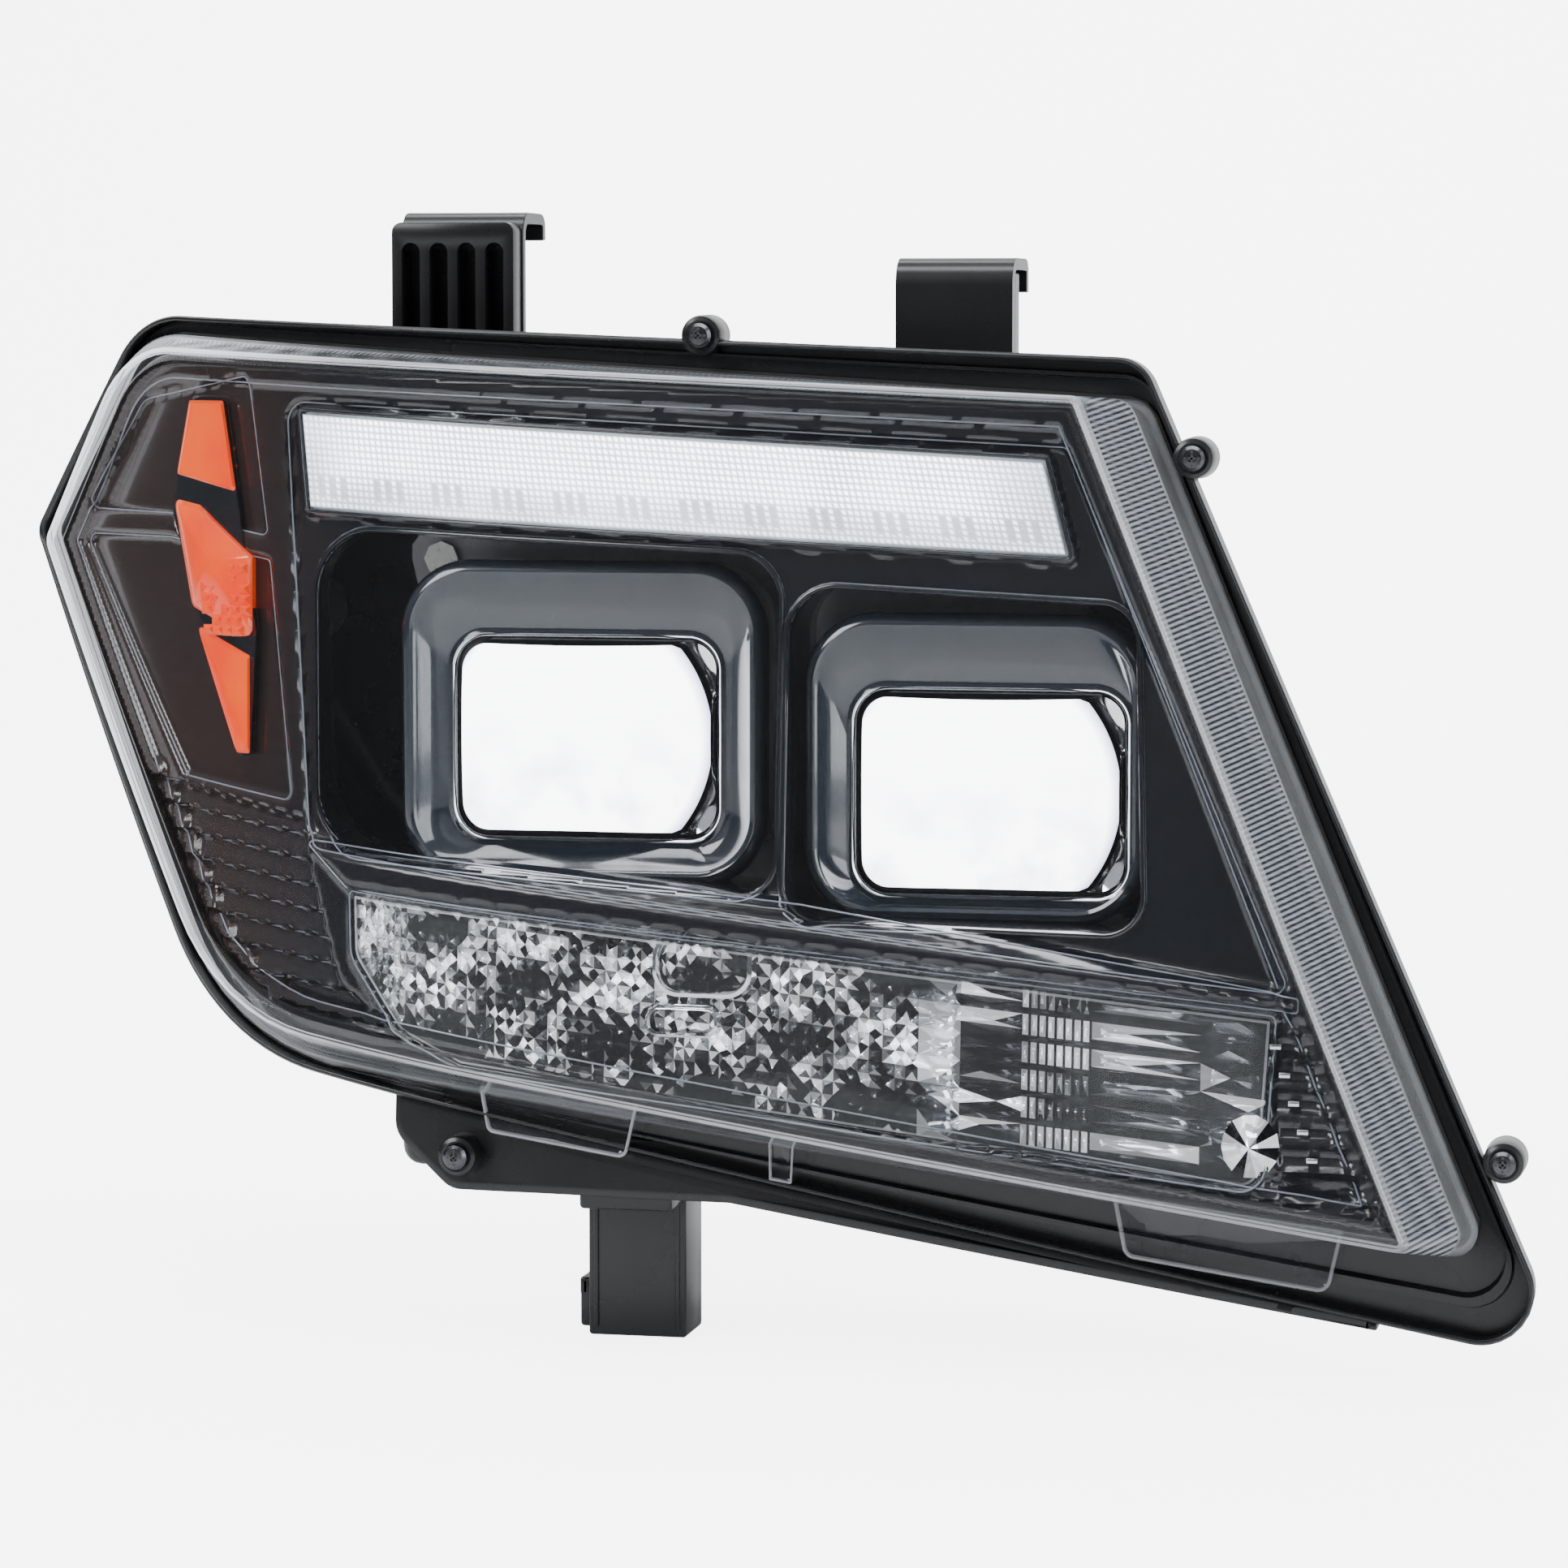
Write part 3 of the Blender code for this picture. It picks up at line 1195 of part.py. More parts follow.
def make_socket_set(name, place, neck_front, collar, collar_end):
    """Twist-lock bulb socket with its seal: neck inside the collar, flange and grip behind."""
    x, z = place
    outer, inner = collar
    seal_front = collar_end + GAP
    seal_back = seal_front + SOCKET_SEAL
    seal = ring_profile(inner - SOCKET_SEAL_INSET, outer - SOCKET_SEAL_INSET, seal_front, seal_back)
    turned(name + "_socket_seal", seal, x, z, RUBBER, COLLAR_ROUND, closed=True)
    neck = inner - SOCKET_PLAY
    flange_radius = outer + SOCKET_PLAY
    flange_front = seal_back + GAP
    flange_back = flange_front + SOCKET_FLANGE
    back_radius = neck * 0.75
    socket = [
        (0.0, neck_front),
        (neck, neck_front),
        (neck, flange_front),
        (flange_radius, flange_front),
        (flange_radius, flange_back),
        (back_radius, flange_back),
        (back_radius, flange_back + SOCKET_BACK),
        (0.0, flange_back + SOCKET_BACK),
    ]
    item = turned(name + "_socket", socket, x, z, GREY_PLASTIC, COLLAR_ROUND)
    low = (x - outer, flange_back - OVERLAP, z - SOCKET_GRIP_HALF)
    high = (x + outer, flange_back + SOCKET_GRIP, z + SOCKET_GRIP_HALF)
    join(item, add_helper(name + "_socket_grip", block(low, high)))


def make_bulb(name, place, radius, tip_y, foot_y):
    """Glass envelope with a round crown towards the front."""
    x, z = place
    angles = [math.pi / 8 * i for i in range(5)]
    crown = [(radius * math.sin(angle), tip_y + radius * (1 - math.cos(angle))) for angle in angles]
    profile = crown + [(radius, foot_y - BULB_SHOULDER), (radius * 0.8, foot_y), (0.0, foot_y)]
    turned(name, profile, x, z, AMBER_GLASS, SMALL_ROUND)


def make_bulbs():
    make_socket_set("turn", TURN_BULB, TURN_NECK_Y, TURN_COLLAR, TURN_COLLAR_Y[1])
    make_bulb("turn_bulb", TURN_BULB, TURN_BULB_RADIUS, TURN_BULB_TIP_Y, TURN_NECK_Y - GAP)
    make_socket_set("marker", MARKER_BULB, MARKER_NECK_Y, MARKER_COLLAR, MARKER_COLLAR_END_Y)
    make_bulb("marker_bulb", MARKER_BULB, MARKER_BULB_RADIUS, MARKER_BULB_TIP_Y, MARKER_NECK_Y - GAP)


# ---------------------------------------------------------------- screws, driver, cable, vents
def make_screw(name, x, z, head_front, head, shank_radius, shank_back):
    """Pan-head screw driven from the front (positive head) or the rear (negative head)."""
    head_radius = shank_radius * HEAD_RATIO
    head_back = head_front + head
    profile = [
        (0.0, head_front),
        (head_radius * 0.8, head_front),
        (head_radius, head_front + head * 0.4),
        (head_radius, head_back),
        (shank_radius, head_back),
        (shank_radius, shank_back),
        (0.0, shank_back),
    ]
    if head < 0:
        profile.reverse()
    item = turned(name, profile, x, z, STEEL, SMALL_ROUND)
    reach = head_radius * 1.2
    near, far = sorted((head_front - head * 0.3, head_front + head * 0.45))
    slot = block((x - reach, near, z - SLOT_HALF_WIDTH), (x + reach, far, z + SLOT_HALF_WIDTH))
    cut(item, add_helper(f"{name}_slot", slot))


def make_lens_screws():
    for i, (x, z) in enumerate(SCREW_BOSSES):
        front = boss_front(x, z)
        head_front = front - GAP - LENS_SCREW_HEAD
        shank_back = front + LENS_SCREW_REACH
        make_screw(f"lens_screw_{i + 1}", x, z, head_front, LENS_SCREW_HEAD, LENS_SCREW_SHANK, shank_back)


def driver_screw_places():
    middle = (DRIVER_X[0] + DRIVER_X[1]) / 2
    return [
        ("driver_screw_lower", middle, DRIVER_Z[0] - DRIVER_SCREW_REACH),
        ("driver_screw_upper", middle, DRIVER_Z[1] + DRIVER_SCREW_REACH),
    ]


def make_driver():
    """LED driver box on a flanged base, screwed to the back wall."""
    front = BACK_FACE_Y + GAP
    flange_back = front + DRIVER_FLANGE
    low_z, high_z = DRIVER_Z
    corners = rectangle(*DRIVER_X, low_z - DRIVER_FLANGE_REACH, high_z + DRIVER_FLANGE_REACH, PLATE_RADIUS)
    driver = plate("driver_module", corners, front, flange_back, ALUMINIUM, 2)
    low = (DRIVER_X[0] + OVERLAP, flange_back - OVERLAP / 2, low_z)
    high = (DRIVER_X[1] - OVERLAP, front + DRIVER_DEPTH, high_z)
    join(driver, add_helper("driver_box", block(low, high)))
    head_face = flange_back + GAP + DRIVER_SCREW_HEAD
    for name, x, z in driver_screw_places():
        hole = rod(x, z, DRIVER_HOLE_RADIUS, front - OVERLAP, flange_back + OVERLAP, SMALL_ROUND)
        cut(driver, add_helper(name + "_pass", hole))
        make_screw(name, x, z, head_face, -DRIVER_SCREW_HEAD, DRIVER_SCREW_SHANK, BACK_WALL_Y + GAP)


def make_harness():
    make_grommet()
    make_cable()
    make_connector()


def make_grommet():
    face = BACK_FACE_Y
    profile = [
        (GROMMET_BORE, face - 0.0080),
        (GROMMET_RADIUS, face - 0.0080),
        (GROMMET_RADIUS, face + GAP),
        (GROMMET_FLANGE_RADIUS, face + GAP),
        (GROMMET_FLANGE_RADIUS, face + 0.0030),
        (GROMMET_RADIUS, face + 0.0042),
        (GROMMET_BORE, face + 0.0042),
    ]
    turned("cable_grommet", profile, *GROMMET, RUBBER, SMALL_ROUND, closed=True)


def make_cable():
    """Cable sleeve that leaves the grommet and bends down to the connector."""
    x, z = GROMMET
    corner_y = BACK_FACE_Y + CABLE_STAND
    bend_y, bend_z = corner_y - CABLE_BEND, z - CABLE_BEND
    path = [(BACK_FACE_Y - CABLE_BEND, z), (bend_y, z)]
    for step in range(1, 5):
        angle = math.pi / 2 * step / 4
        path.append((bend_y + CABLE_BEND * math.sin(angle), bend_z + CABLE_BEND * math.cos(angle)))
    path.append((corner_y, CONNECTOR[1] + CONNECTOR_HALF[2] + 2 * GAP))
    curve = bpy.data.curves.new("harness_cable", "CURVE")
    curve.dimensions = "3D"
    curve.bevel_depth = CABLE_RADIUS
    curve.bevel_resolution = 2
    curve.use_fill_caps = True
    spline = curve.splines.new("POLY")
    spline.points.add(len(path) - 1)
    for target, (y, height) in zip(spline.points, path):
        target.co = (x, height, -y, 1.0)
    mesh_from_curve("harness_cable", curve, (0.0, 0.0, 0.0), RUBBER)


def make_connector():
    """Plug housing, open below, with a latch bar on its rear face."""
    x, z = CONNECTOR
    y = BACK_FACE_Y + CABLE_STAND
    half_x, half_y, half_z = CONNECTOR_HALF
    wall = CONNECTOR_WALL
    low = (x - half_x, y - half_y, z - half_z)
    high = (x + half_x, y + half_y, z + half_z)
    connector = add_part("harness_connector", block(low, high), GREY_PLASTIC)
    pocket_low = (low[0] + wall, low[1] + wall, low[2] - OVERLAP)
    pocket_high = (high[0] - wall, high[1] - wall, low[2] + CONNECTOR_POCKET)
    cut(connector, add_helper("connector_pocket", block(pocket_low, pocket_high)))
    latch_half, latch_rise = CONNECTOR_LATCH
    latch_low = (x - latch_half, high[1] - OVERLAP, low[2] + latch_half)
    latch = block(latch_low, (x + latch_half, high[1] + latch_rise, high[2] - latch_half))
    join(connector, add_helper("connector_latch", latch))


def make_vents():
    """Mushroom breathers pressed over their holes."""
    for side, (x, z) in VENTS.items():
        face = BACK_FACE_Y
        profile = [
            (0.0, face - 0.0035),
            (VENT_STEM_RADIUS, face - 0.0035),
            (VENT_STEM_RADIUS, face + GAP),
            (VENT_CAP_RADIUS, face + GAP),
            (VENT_CAP_RADIUS, face + 0.0045),
            (VENT_CAP_RADIUS - 0.0020, face + 0.0060),
            (0.0, face + 0.0060),
        ]
        turned(f"vent_cap_{side}", profile, x, z, RUBBER, SMALL_ROUND)


def main():
    make_housing()
    make_outer_lens()
    make_lens_seal()
    make_bezel()
    make_drl()
    make_turn_lamp()
    make_marker_lamp()
    for spec in (LOW, HIGH):
        make_shroud(spec)
        make_projector_lens(spec)
        make_projector_body(spec)
        make_projector_board(spec)
        make_heatsink(spec)
        make_fan(spec)
        make_rear_cap(spec)
    make_carrier()
    make_pivot("outer", OUTER_PIVOT_X)
    make_pivot("inner", INNER_PIVOT_X)
    make_adjuster()
    make_bulbs()
    make_lens_screws()
    make_driver()
    make_harness()
    make_vents()


main()
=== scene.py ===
"""Looks of the car headlight assembly: clear lens, glossy bezel, lit lamps and moulded housing.

Frame: metres, +Z up, light leaves towards -Y, +X points inboard.
Outlines lie in the XZ plane and run clockwise seen from the front.
"""

import json
import math
import random

import bmesh
import bpy
import numpy as np
from mathutils import Matrix, Vector

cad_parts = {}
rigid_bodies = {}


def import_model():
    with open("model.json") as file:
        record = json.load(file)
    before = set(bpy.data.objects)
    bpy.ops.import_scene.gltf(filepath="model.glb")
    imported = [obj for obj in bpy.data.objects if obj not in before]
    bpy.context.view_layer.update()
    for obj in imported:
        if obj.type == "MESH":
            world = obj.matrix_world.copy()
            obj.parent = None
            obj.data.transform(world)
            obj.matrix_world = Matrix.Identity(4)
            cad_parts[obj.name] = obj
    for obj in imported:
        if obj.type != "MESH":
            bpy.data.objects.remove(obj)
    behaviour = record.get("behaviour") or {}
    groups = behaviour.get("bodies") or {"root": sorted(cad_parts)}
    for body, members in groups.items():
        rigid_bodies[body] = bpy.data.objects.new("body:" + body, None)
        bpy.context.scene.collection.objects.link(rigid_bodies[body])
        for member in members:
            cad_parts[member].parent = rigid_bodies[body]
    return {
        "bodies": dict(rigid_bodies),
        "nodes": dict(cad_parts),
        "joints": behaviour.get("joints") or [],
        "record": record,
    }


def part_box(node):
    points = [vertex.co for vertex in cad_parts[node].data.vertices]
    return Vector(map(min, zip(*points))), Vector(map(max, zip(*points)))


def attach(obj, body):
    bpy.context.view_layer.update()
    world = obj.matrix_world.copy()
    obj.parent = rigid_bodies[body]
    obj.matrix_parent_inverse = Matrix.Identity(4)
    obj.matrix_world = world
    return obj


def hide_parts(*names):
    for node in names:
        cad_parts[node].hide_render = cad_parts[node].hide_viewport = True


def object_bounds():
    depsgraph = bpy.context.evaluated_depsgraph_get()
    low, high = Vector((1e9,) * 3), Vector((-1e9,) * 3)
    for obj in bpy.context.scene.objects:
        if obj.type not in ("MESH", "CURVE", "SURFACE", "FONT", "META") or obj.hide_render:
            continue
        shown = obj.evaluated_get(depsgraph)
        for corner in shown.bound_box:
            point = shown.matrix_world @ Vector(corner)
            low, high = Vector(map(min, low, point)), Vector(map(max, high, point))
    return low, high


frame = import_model()
cad_low, cad_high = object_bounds()
random.seed(7)

# ---------------------------------------------------------------- driving dimensions
# Front surface of the clear lens, as the CAD shapes it.
FACE_INBOARD_X = 0.267
FACE_WIDTH = 0.482
FACE_FRONT_Y = -0.075
FACE_BOW = 0.042
WRAP_START = 0.62
WRAP_DEPTH = 0.062
FACE_RAKE = 0.10
RAKE_HEIGHT = 0.100
SKIRT_DEPTH = 0.034
SKIRT_TAPER = 0.014
LIP_HEIGHT = 0.008
RIDGE_ROOM = 0.010
RIDGE_RISE = 0.0045
FLOOR_SET = 0.003

# Outlines: x, z, corner radius.
FACE = [
    (-0.1958, 0.3354, 0.036),
    (0.1550, 0.3200, 0.004),
    (0.2680, 0.0490, 0.003),
    (-0.1460, 0.1077, 0.075),
    (-0.2364, 0.2655, 0.006),
]
SKIRT = [
    (-0.1942, 0.3398, 0.028),
    (0.1740, 0.3180, 0.010),
    (0.2915, 0.0425, 0.008),
    (-0.1484, 0.0957, 0.083),
    (-0.2407, 0.2684, 0.006),
]
FLANGE = [
    (-0.1936, 0.3448, 0.030),
    (0.1720, 0.3305, 0.012),
    (0.3150, 0.0125, 0.016),
    (-0.1517, 0.0972, 0.085),
    (-0.2433, 0.2684, 0.007),
]
APRON = [
    (-0.0820, 0.0835, 0.001),
    (0.2550, 0.0222, 0.001),
    (0.2550, 0.0190, 0.001),
    (0.0379, 0.0512, 0.008),
    (-0.0610, 0.0512, 0.010),
    (-0.0820, 0.0690, 0.010),
]
BACK = [
    (-0.150, 0.318, 0.030),
    (0.150, 0.305, 0.030),
    (0.225, 0.131, 0.030),
    (-0.120, 0.156, 0.040),
    (-0.185, 0.262, 0.030),
]
LOW_RECESS = [
    (-0.1148, 0.2735, 0.022),
    (0.0540, 0.2665, 0.016),
    (0.0540, 0.1545, 0.012),
    (-0.1110, 0.1660, 0.022),
]
HIGH_RECESS = [
    (0.0575, 0.2570, 0.016),
    (0.1735, 0.2515, 0.012),
    (0.1775, 0.1460, 0.012),
    (0.0575, 0.1480, 0.012),
]
# Raised and sunk fields of the bezel.
POD_BAY = [
    (-0.1275, 0.3165, 0.007),
    (0.1505, 0.3030, 0.003),
    (0.2270, 0.1285, 0.003),
    (-0.1140, 0.1660, 0.010),
]
LEDGE = [
    (-0.1140, 0.1680, 0.001),
    (0.0640, 0.1530, 0.001),
    (0.2300, 0.1280, 0.001),
    (0.2300, 0.1235, 0.001),
    (-0.0970, 0.1530, 0.001),
]
UPPER_PANEL = [
    (-0.1926, 0.3161, 0.008),
    (-0.1440, 0.3250, 0.002),
    (-0.1340, 0.2700, 0.002),
    (-0.1787, 0.2767, 0.002),
    (-0.2200, 0.2772, 0.003),
]
LOWER_PANEL = [
    (-0.2210, 0.2682, 0.003),
    (-0.1787, 0.2685, 0.002),
    (-0.1330, 0.2620, 0.002),
    (-0.1215, 0.1800, 0.003),
    (-0.1676, 0.1860, 0.003),
]
LOUVRES = [
    (-0.2000, 0.1885, 0.001),
    (-0.1158, 0.1743, 0.001),
    (-0.1124, 0.1560, 0.001),
    (-0.1010, 0.1210, 0.010),
    (-0.0780, 0.1030, 0.010),
    (-0.0450, 0.0925, 0.001),
    (-0.1500, 0.0800, 0.001),
]
LOUVRE_PITCH = 0.0083
LOUVRE_SLOPE = 0.122
LOUVRE_TOP = 0.1641
LOUVRE_COUNT = 8
DRL_CELLS = 12
SIDE_RIBS = [
    (0.2190, 0.1190, 0.001),
    (0.2390, 0.1190, 0.001),
    (0.2600, 0.0600, 0.001),
    (0.2260, 0.0610, 0.001),
]
CRYSTAL = [
    (-0.0950, 0.1505, 0.0006),
    (0.2210, 0.1205, 0.0006),
    (0.2180, 0.0665, 0.0060),
    (0.0695, 0.0830, 0.0060),
    (-0.0530, 0.0960, 0.0060),
    (-0.0760, 0.1060, 0.0100),
    (-0.0940, 0.1300, 0.0100),
]

FLUTE_DEPTH = 0.0007
CROWN_DEPTH = 0.0014
# Depths behind the lens's front, walls and steps of the bezel.
BEZEL_SET = 0.014
BEZEL_WALL = 0.0018
BEZEL_EDGE_RISE = 0.0025
PANEL_SINK = 0.0034
BAY_SINK = 0.0036
LEDGE_RISE = 0.0078
LOUVRE_DEPTH = 0.0042
SIDE_RIB_DEPTH = 0.0030
SIDE_RIB_PITCH = 0.0090
BEAD_RADIUS = 0.00035
BEAD_SIDES = 6
BEZEL_PITCH = 0.0012
TRIM_LENS_SET = 0.0115
CRYSTAL_SET = 0.0200
CRYSTAL_WAVE = 0.0020

# Walls and optics.
LENS_WALL = 0.0022
SHELL_WALL = 0.0016
SHROUD_WALL = 0.0012
RECESS_WALL = 0.0014
RECESS_BACK_Y = 0.0150
RECESS_SPREAD = 0.0010
WELD_DISTANCE = 0.00002
WINDOW_RADIUS = 0.0095
SHROUD_RADIUS = 0.024
OPTIC_RADIUS = 0.0480
OPTIC_SPHERE = 0.0500
OPTIC_DOME = 0.0105
OPTIC_OFFSET = 0.0045
OPTIC_STRENGTH = 9.0
DRL_STRENGTH = 6.5
# Outer and inner radius, back end and front end of the collars under the rear caps.
CAP_COLLAR = (0.0390, 0.0355, 0.1240, 0.1150)
# Screw boss: radius and distance behind its front.
BOSS = (
    (0.0030, 0.0060),
    (0.0030, 0.0003),
    (0.0052, 0.0),
    (0.0064, 0.0006),
    (0.0068, 0.0020),
    (0.0070, 0.0150),
    (0.0040, 0.0240),
)
# Shares of a screw's head radius and head height.
PAN_HEAD = ((0.22, 0.30), (0.30, 0.0), (0.70, 0.08), (0.94, 0.4), (1.0, 0.85), (0.97, 1.0))

PAPER_GLOW = 5.0

CAMERA_AZIMUTH = 12.0
CAMERA_ELEVATION = 5.0
CAMERA_DISTANCE = 1.8
CAMERA_LENS = 124.0
CAMERA_AIM = Vector((0.0527, -0.0200, 0.1901))


# ---------------------------------------------------------------- surfaces and outlines
def wrap_shares(x):
    """Shares of the way to the outboard end: over the whole face, and over its wrapped part."""
    across = np.clip((FACE_INBOARD_X - x) / FACE_WIDTH, 0.0, 1.08)
    return across, np.maximum(0.0, (across - WRAP_START) / (1 - WRAP_START))


def lens_depth(x, z):
    """Depth y of the clear lens's front surface; takes numbers or arrays."""
    across, wrap = wrap_shares(x)
    return FACE_FRONT_Y + FACE_BOW * across**2 + WRAP_DEPTH * wrap**2 + FACE_RAKE * (z - RAKE_HEIGHT)


def rim_depth(x, z):
    """Depth y where the lens skirt meets the housing flange."""
    return lens_depth(x, z) + SKIRT_DEPTH - SKIRT_TAPER * wrap_shares(x)[1]


def behind(surface, depth):
    return lambda x, z: surface(x, z) + depth


def flat(y):
    return lambda x, z: y


def grown(corners, distance):
    """The same outline with every edge moved outward by distance."""
    result = []
    count = len(corners)
    for i, (x, z, radius) in enumerate(corners):
        here = Vector((x, z))
        before = (here - Vector(corners[i - 1][:2])).normalized()
        after = (Vector(corners[(i + 1) % count][:2]) - here).normalized()
        normal_before = Vector((-before.y, before.x))
        normal_after = Vector((-after.y, after.x))
        shift = (normal_before + normal_after) * distance / (1 + normal_before.dot(normal_after))
        result.append((x + shift.x, z + shift.y, max(radius + distance, 0.0004)))
    return result


def outline(corners, arc_steps=8, edge_steps=12):
    """Points of a closed outline; edge_steps may give one count for each edge."""
    count = len(corners)
    if isinstance(edge_steps, int):
        edge_steps = [edge_steps] * count
    arcs = []
    for i, (x, z, radius) in enumerate(corners):
        here = Vector((x, z))
        back = (Vector(corners[i - 1][:2]) - here).normalized()
        ahead = (Vector(corners[(i + 1) % count][:2]) - here).normalized()
        half = back.angle(ahead) / 2
        centre = here + (back + ahead).normalized() * (radius / math.sin(half))
        start = here + back * (radius / math.tan(half)) - centre
        end = here + ahead * (radius / math.tan(half)) - centre
        steps = range(arc_steps + 1)
        arcs.append([centre + start.lerp(end, s / arc_steps).normalized() * radius for s in steps])
    points = []
    for i, arc in enumerate(arcs):
        points.extend(arc)
        following = arcs[(i + 1) % count][0]
        for step in range(1, edge_steps[i]):
            points.append(arc[-1].lerp(following, step / edge_steps[i]))
    return points


def laid(points, surface):
    """Outline points laid on a depth surface."""
    return [Vector((p.x, float(surface(p.x, p.y)), p.y)) for p in points]


def ring(corners, surface, grow=0.0, base=None, arc_steps=8, edge_steps=12):
    """An outline laid on a surface; its depth can be read at another outline's points."""
    points = outline(grown(corners, grow), arc_steps, edge_steps)
    anchors = outline(base, arc_steps, edge_steps) if base else points
    return [Vector((p.x, float(surface(a.x, a.y)), p.y)) for p, a in zip(points, anchors)]


def blended(first, second, across, deep=None):
    """A ring between two rings, with its own share of the way across and in depth."""
    deep = across if deep is None else deep
    result = []
    for a, b in zip(first, second):
        x, z = a.x + (b.x - a.x) * across, a.z + (b.z - a.z) * across
        result.append(Vector((x, a.y + (b.y - a.y) * deep, z)))
    return result


def shifted(points, depth):
    return [Vector((p.x, p.y + depth, p.z)) for p in points]


def rectangle(x_low, x_high, z_low, z_high, radius):
    return [
        (x_low, z_high, radius),
        (x_high, z_high, radius),
        (x_high, z_low, radius),
        (x_low, z_low, radius),
    ]


def as_array(corners, arc_steps=8, edge_steps=4):
    return np.array([(p.x, p.y) for p in outline(corners, arc_steps, edge_steps)])


def signed_distance(points, polygon):
    """Distance of each point to a closed polygon, negative inside, and the nearest edge points."""
    best = np.full(len(points), 1e9)
    nearest = np.zeros_like(points)
    inside = np.zeros(len(points), bool)
    for start, end in zip(polygon, np.roll(polygon, -1, axis=0)):
        along = end - start
        share = np.clip(((points - start) @ along) / (along @ along + 1e-18), 0, 1)
        foot = start + share[:, None] * along
        distance = np.hypot(*(points - foot).T)
        closer = distance < best
        best[closer] = distance[closer]
        nearest[closer] = foot[closer]
        if start[1] != end[1]:
            crossing_x = start[0] + along[0] * (points[:, 1] - start[1]) / along[1]
            spans = (start[1] > points[:, 1]) != (end[1] > points[:, 1])
            inside ^= spans & (points[:, 0] < crossing_x)
    return np.where(inside, -best, best), nearest


def smooth(value, width):
    """0 below zero, 1 above width, with soft ends."""
    share = np.clip(value / width, 0, 1)
    return share * share * (3 - 2 * share)


# ---------------------------------------------------------------- material nodes
def new_material(name):
    material = bpy.data.materials.new(name)
    material.use_nodes = True
    return material, material.node_tree, material.node_tree.nodes["Principled BSDF"]


def add(tree, kind, settings=None, **inputs):
    """A shader node with its settings and inputs; an input can be a value or another node's output."""
    item = tree.nodes.new("ShaderNode" + kind)
    for name, value in (settings or {}).items():
        setattr(item, name, value)
    for name, value in inputs.items():
        feed(tree, item.inputs[name.replace("_", " ")], value)
    return item


def feed(tree, socket, value):
    if isinstance(value, bpy.types.NodeSocket):
        tree.links.new(value, socket)
    else:
        socket.default_value = value


def place(tree):
    return add(tree, "TexCoord").outputs["Object"]


def noise(tree, scale, detail=3.0, vector=None):
    item = add(tree, "TexNoise", Scale=scale, Detail=detail, Vector=vector or place(tree))
    return item.outputs["Fac"]


def ranged(tree, value, low, high, from_low=0.0, from_high=1.0):
    item = add(tree, "MapRange", Value=value)
    for name, number in (("From Min", from_low), ("From Max", from_high), ("To Min", low), ("To Max", high)):
        item.inputs[name].default_value = number
    return item.outputs["Result"]


def math_node(tree, operation, first, second=0.0):
    item = add(tree, "Math", {"operation": operation})
    feed(tree, item.inputs[0], first)
    feed(tree, item.inputs[1], second)
    return item.outputs[0]


def mixed(tree, share, first, second):
    item = add(tree, "Mix", {"data_type": "RGBA"})
    for index, value in ((0, share), (6, first), (7, second)):
        if isinstance(value, tuple) and len(value) == 3:
            value = (*value, 1.0)
        feed(tree, item.inputs[index], value)
    return item.outputs[2]


def bumped(tree, shader, height, strength, distance):
    bump = add(tree, "Bump", Height=height, Strength=strength, Distance=distance)
    tree.links.new(bump.outputs["Normal"], shader.inputs["Normal"])
    return bump


def edge_share(tree, start=0.52, end=0.60):
    """1 on sharp outer edges, 0 on flat ground."""
    return ranged(tree, add(tree, "NewGeometry").outputs["Pointiness"], 0.0, 1.0, start, end)


def scaled(colour, factor):
    return tuple(min(1.0, channel * factor) for channel in colour)


def moulded(name, colour, roughness, grain=1100.0, depth=0.00004, metallic=0.0, coat=0.0, edge_paling=2.2):
    """Moulded or cast surface: tone drift, fine grain, and paler sharp edges where the edge factor is above
    1.
    """
    material, tree, shader = new_material(name)
    drift = noise(tree, 22.0, 4.0)
    body = mixed(tree, drift, scaled(colour, 0.72), scaled(colour, 1.30))
    paled = math_node(tree, "MULTIPLY", edge_share(tree), noise(tree, 260.0, 5.0))
    feed(tree, shader.inputs["Base Color"], mixed(tree, paled, body, scaled(colour, edge_paling)))
    feed(tree, shader.inputs["Roughness"], ranged(tree, drift, roughness * 0.8, roughness * 1.25))
    shader.inputs["Metallic"].default_value = metallic
    shader.inputs["Coat Weight"].default_value = coat
    shader.inputs["Coat Roughness"].default_value = 0.04
    bumped(tree, shader, noise(tree, grain, 3.0), 0.35, depth)
    return material


def turned_metal(name, colour, roughness):
    """Metal with fine turning marks."""
    material, tree, shader = new_material(name)
    stretched = add(tree, "Mapping", Vector=place(tree), Scale=(300.0, 4000.0, 300.0)).outputs[0]
    marks = noise(tree, 1.0, 2.0, stretched)
    feed(tree, shader.inputs["Base Color"], mixed(tree, marks, scaled(colour, 0.75), scaled(colour, 1.1)))
    feed(tree, shader.inputs["Roughness"], ranged(tree, marks, roughness * 0.7, roughness * 1.4))
    shader.inputs["Metallic"].default_value = 1.0
    bumped(tree, shader, marks, 0.15, 0.00002)
    return material


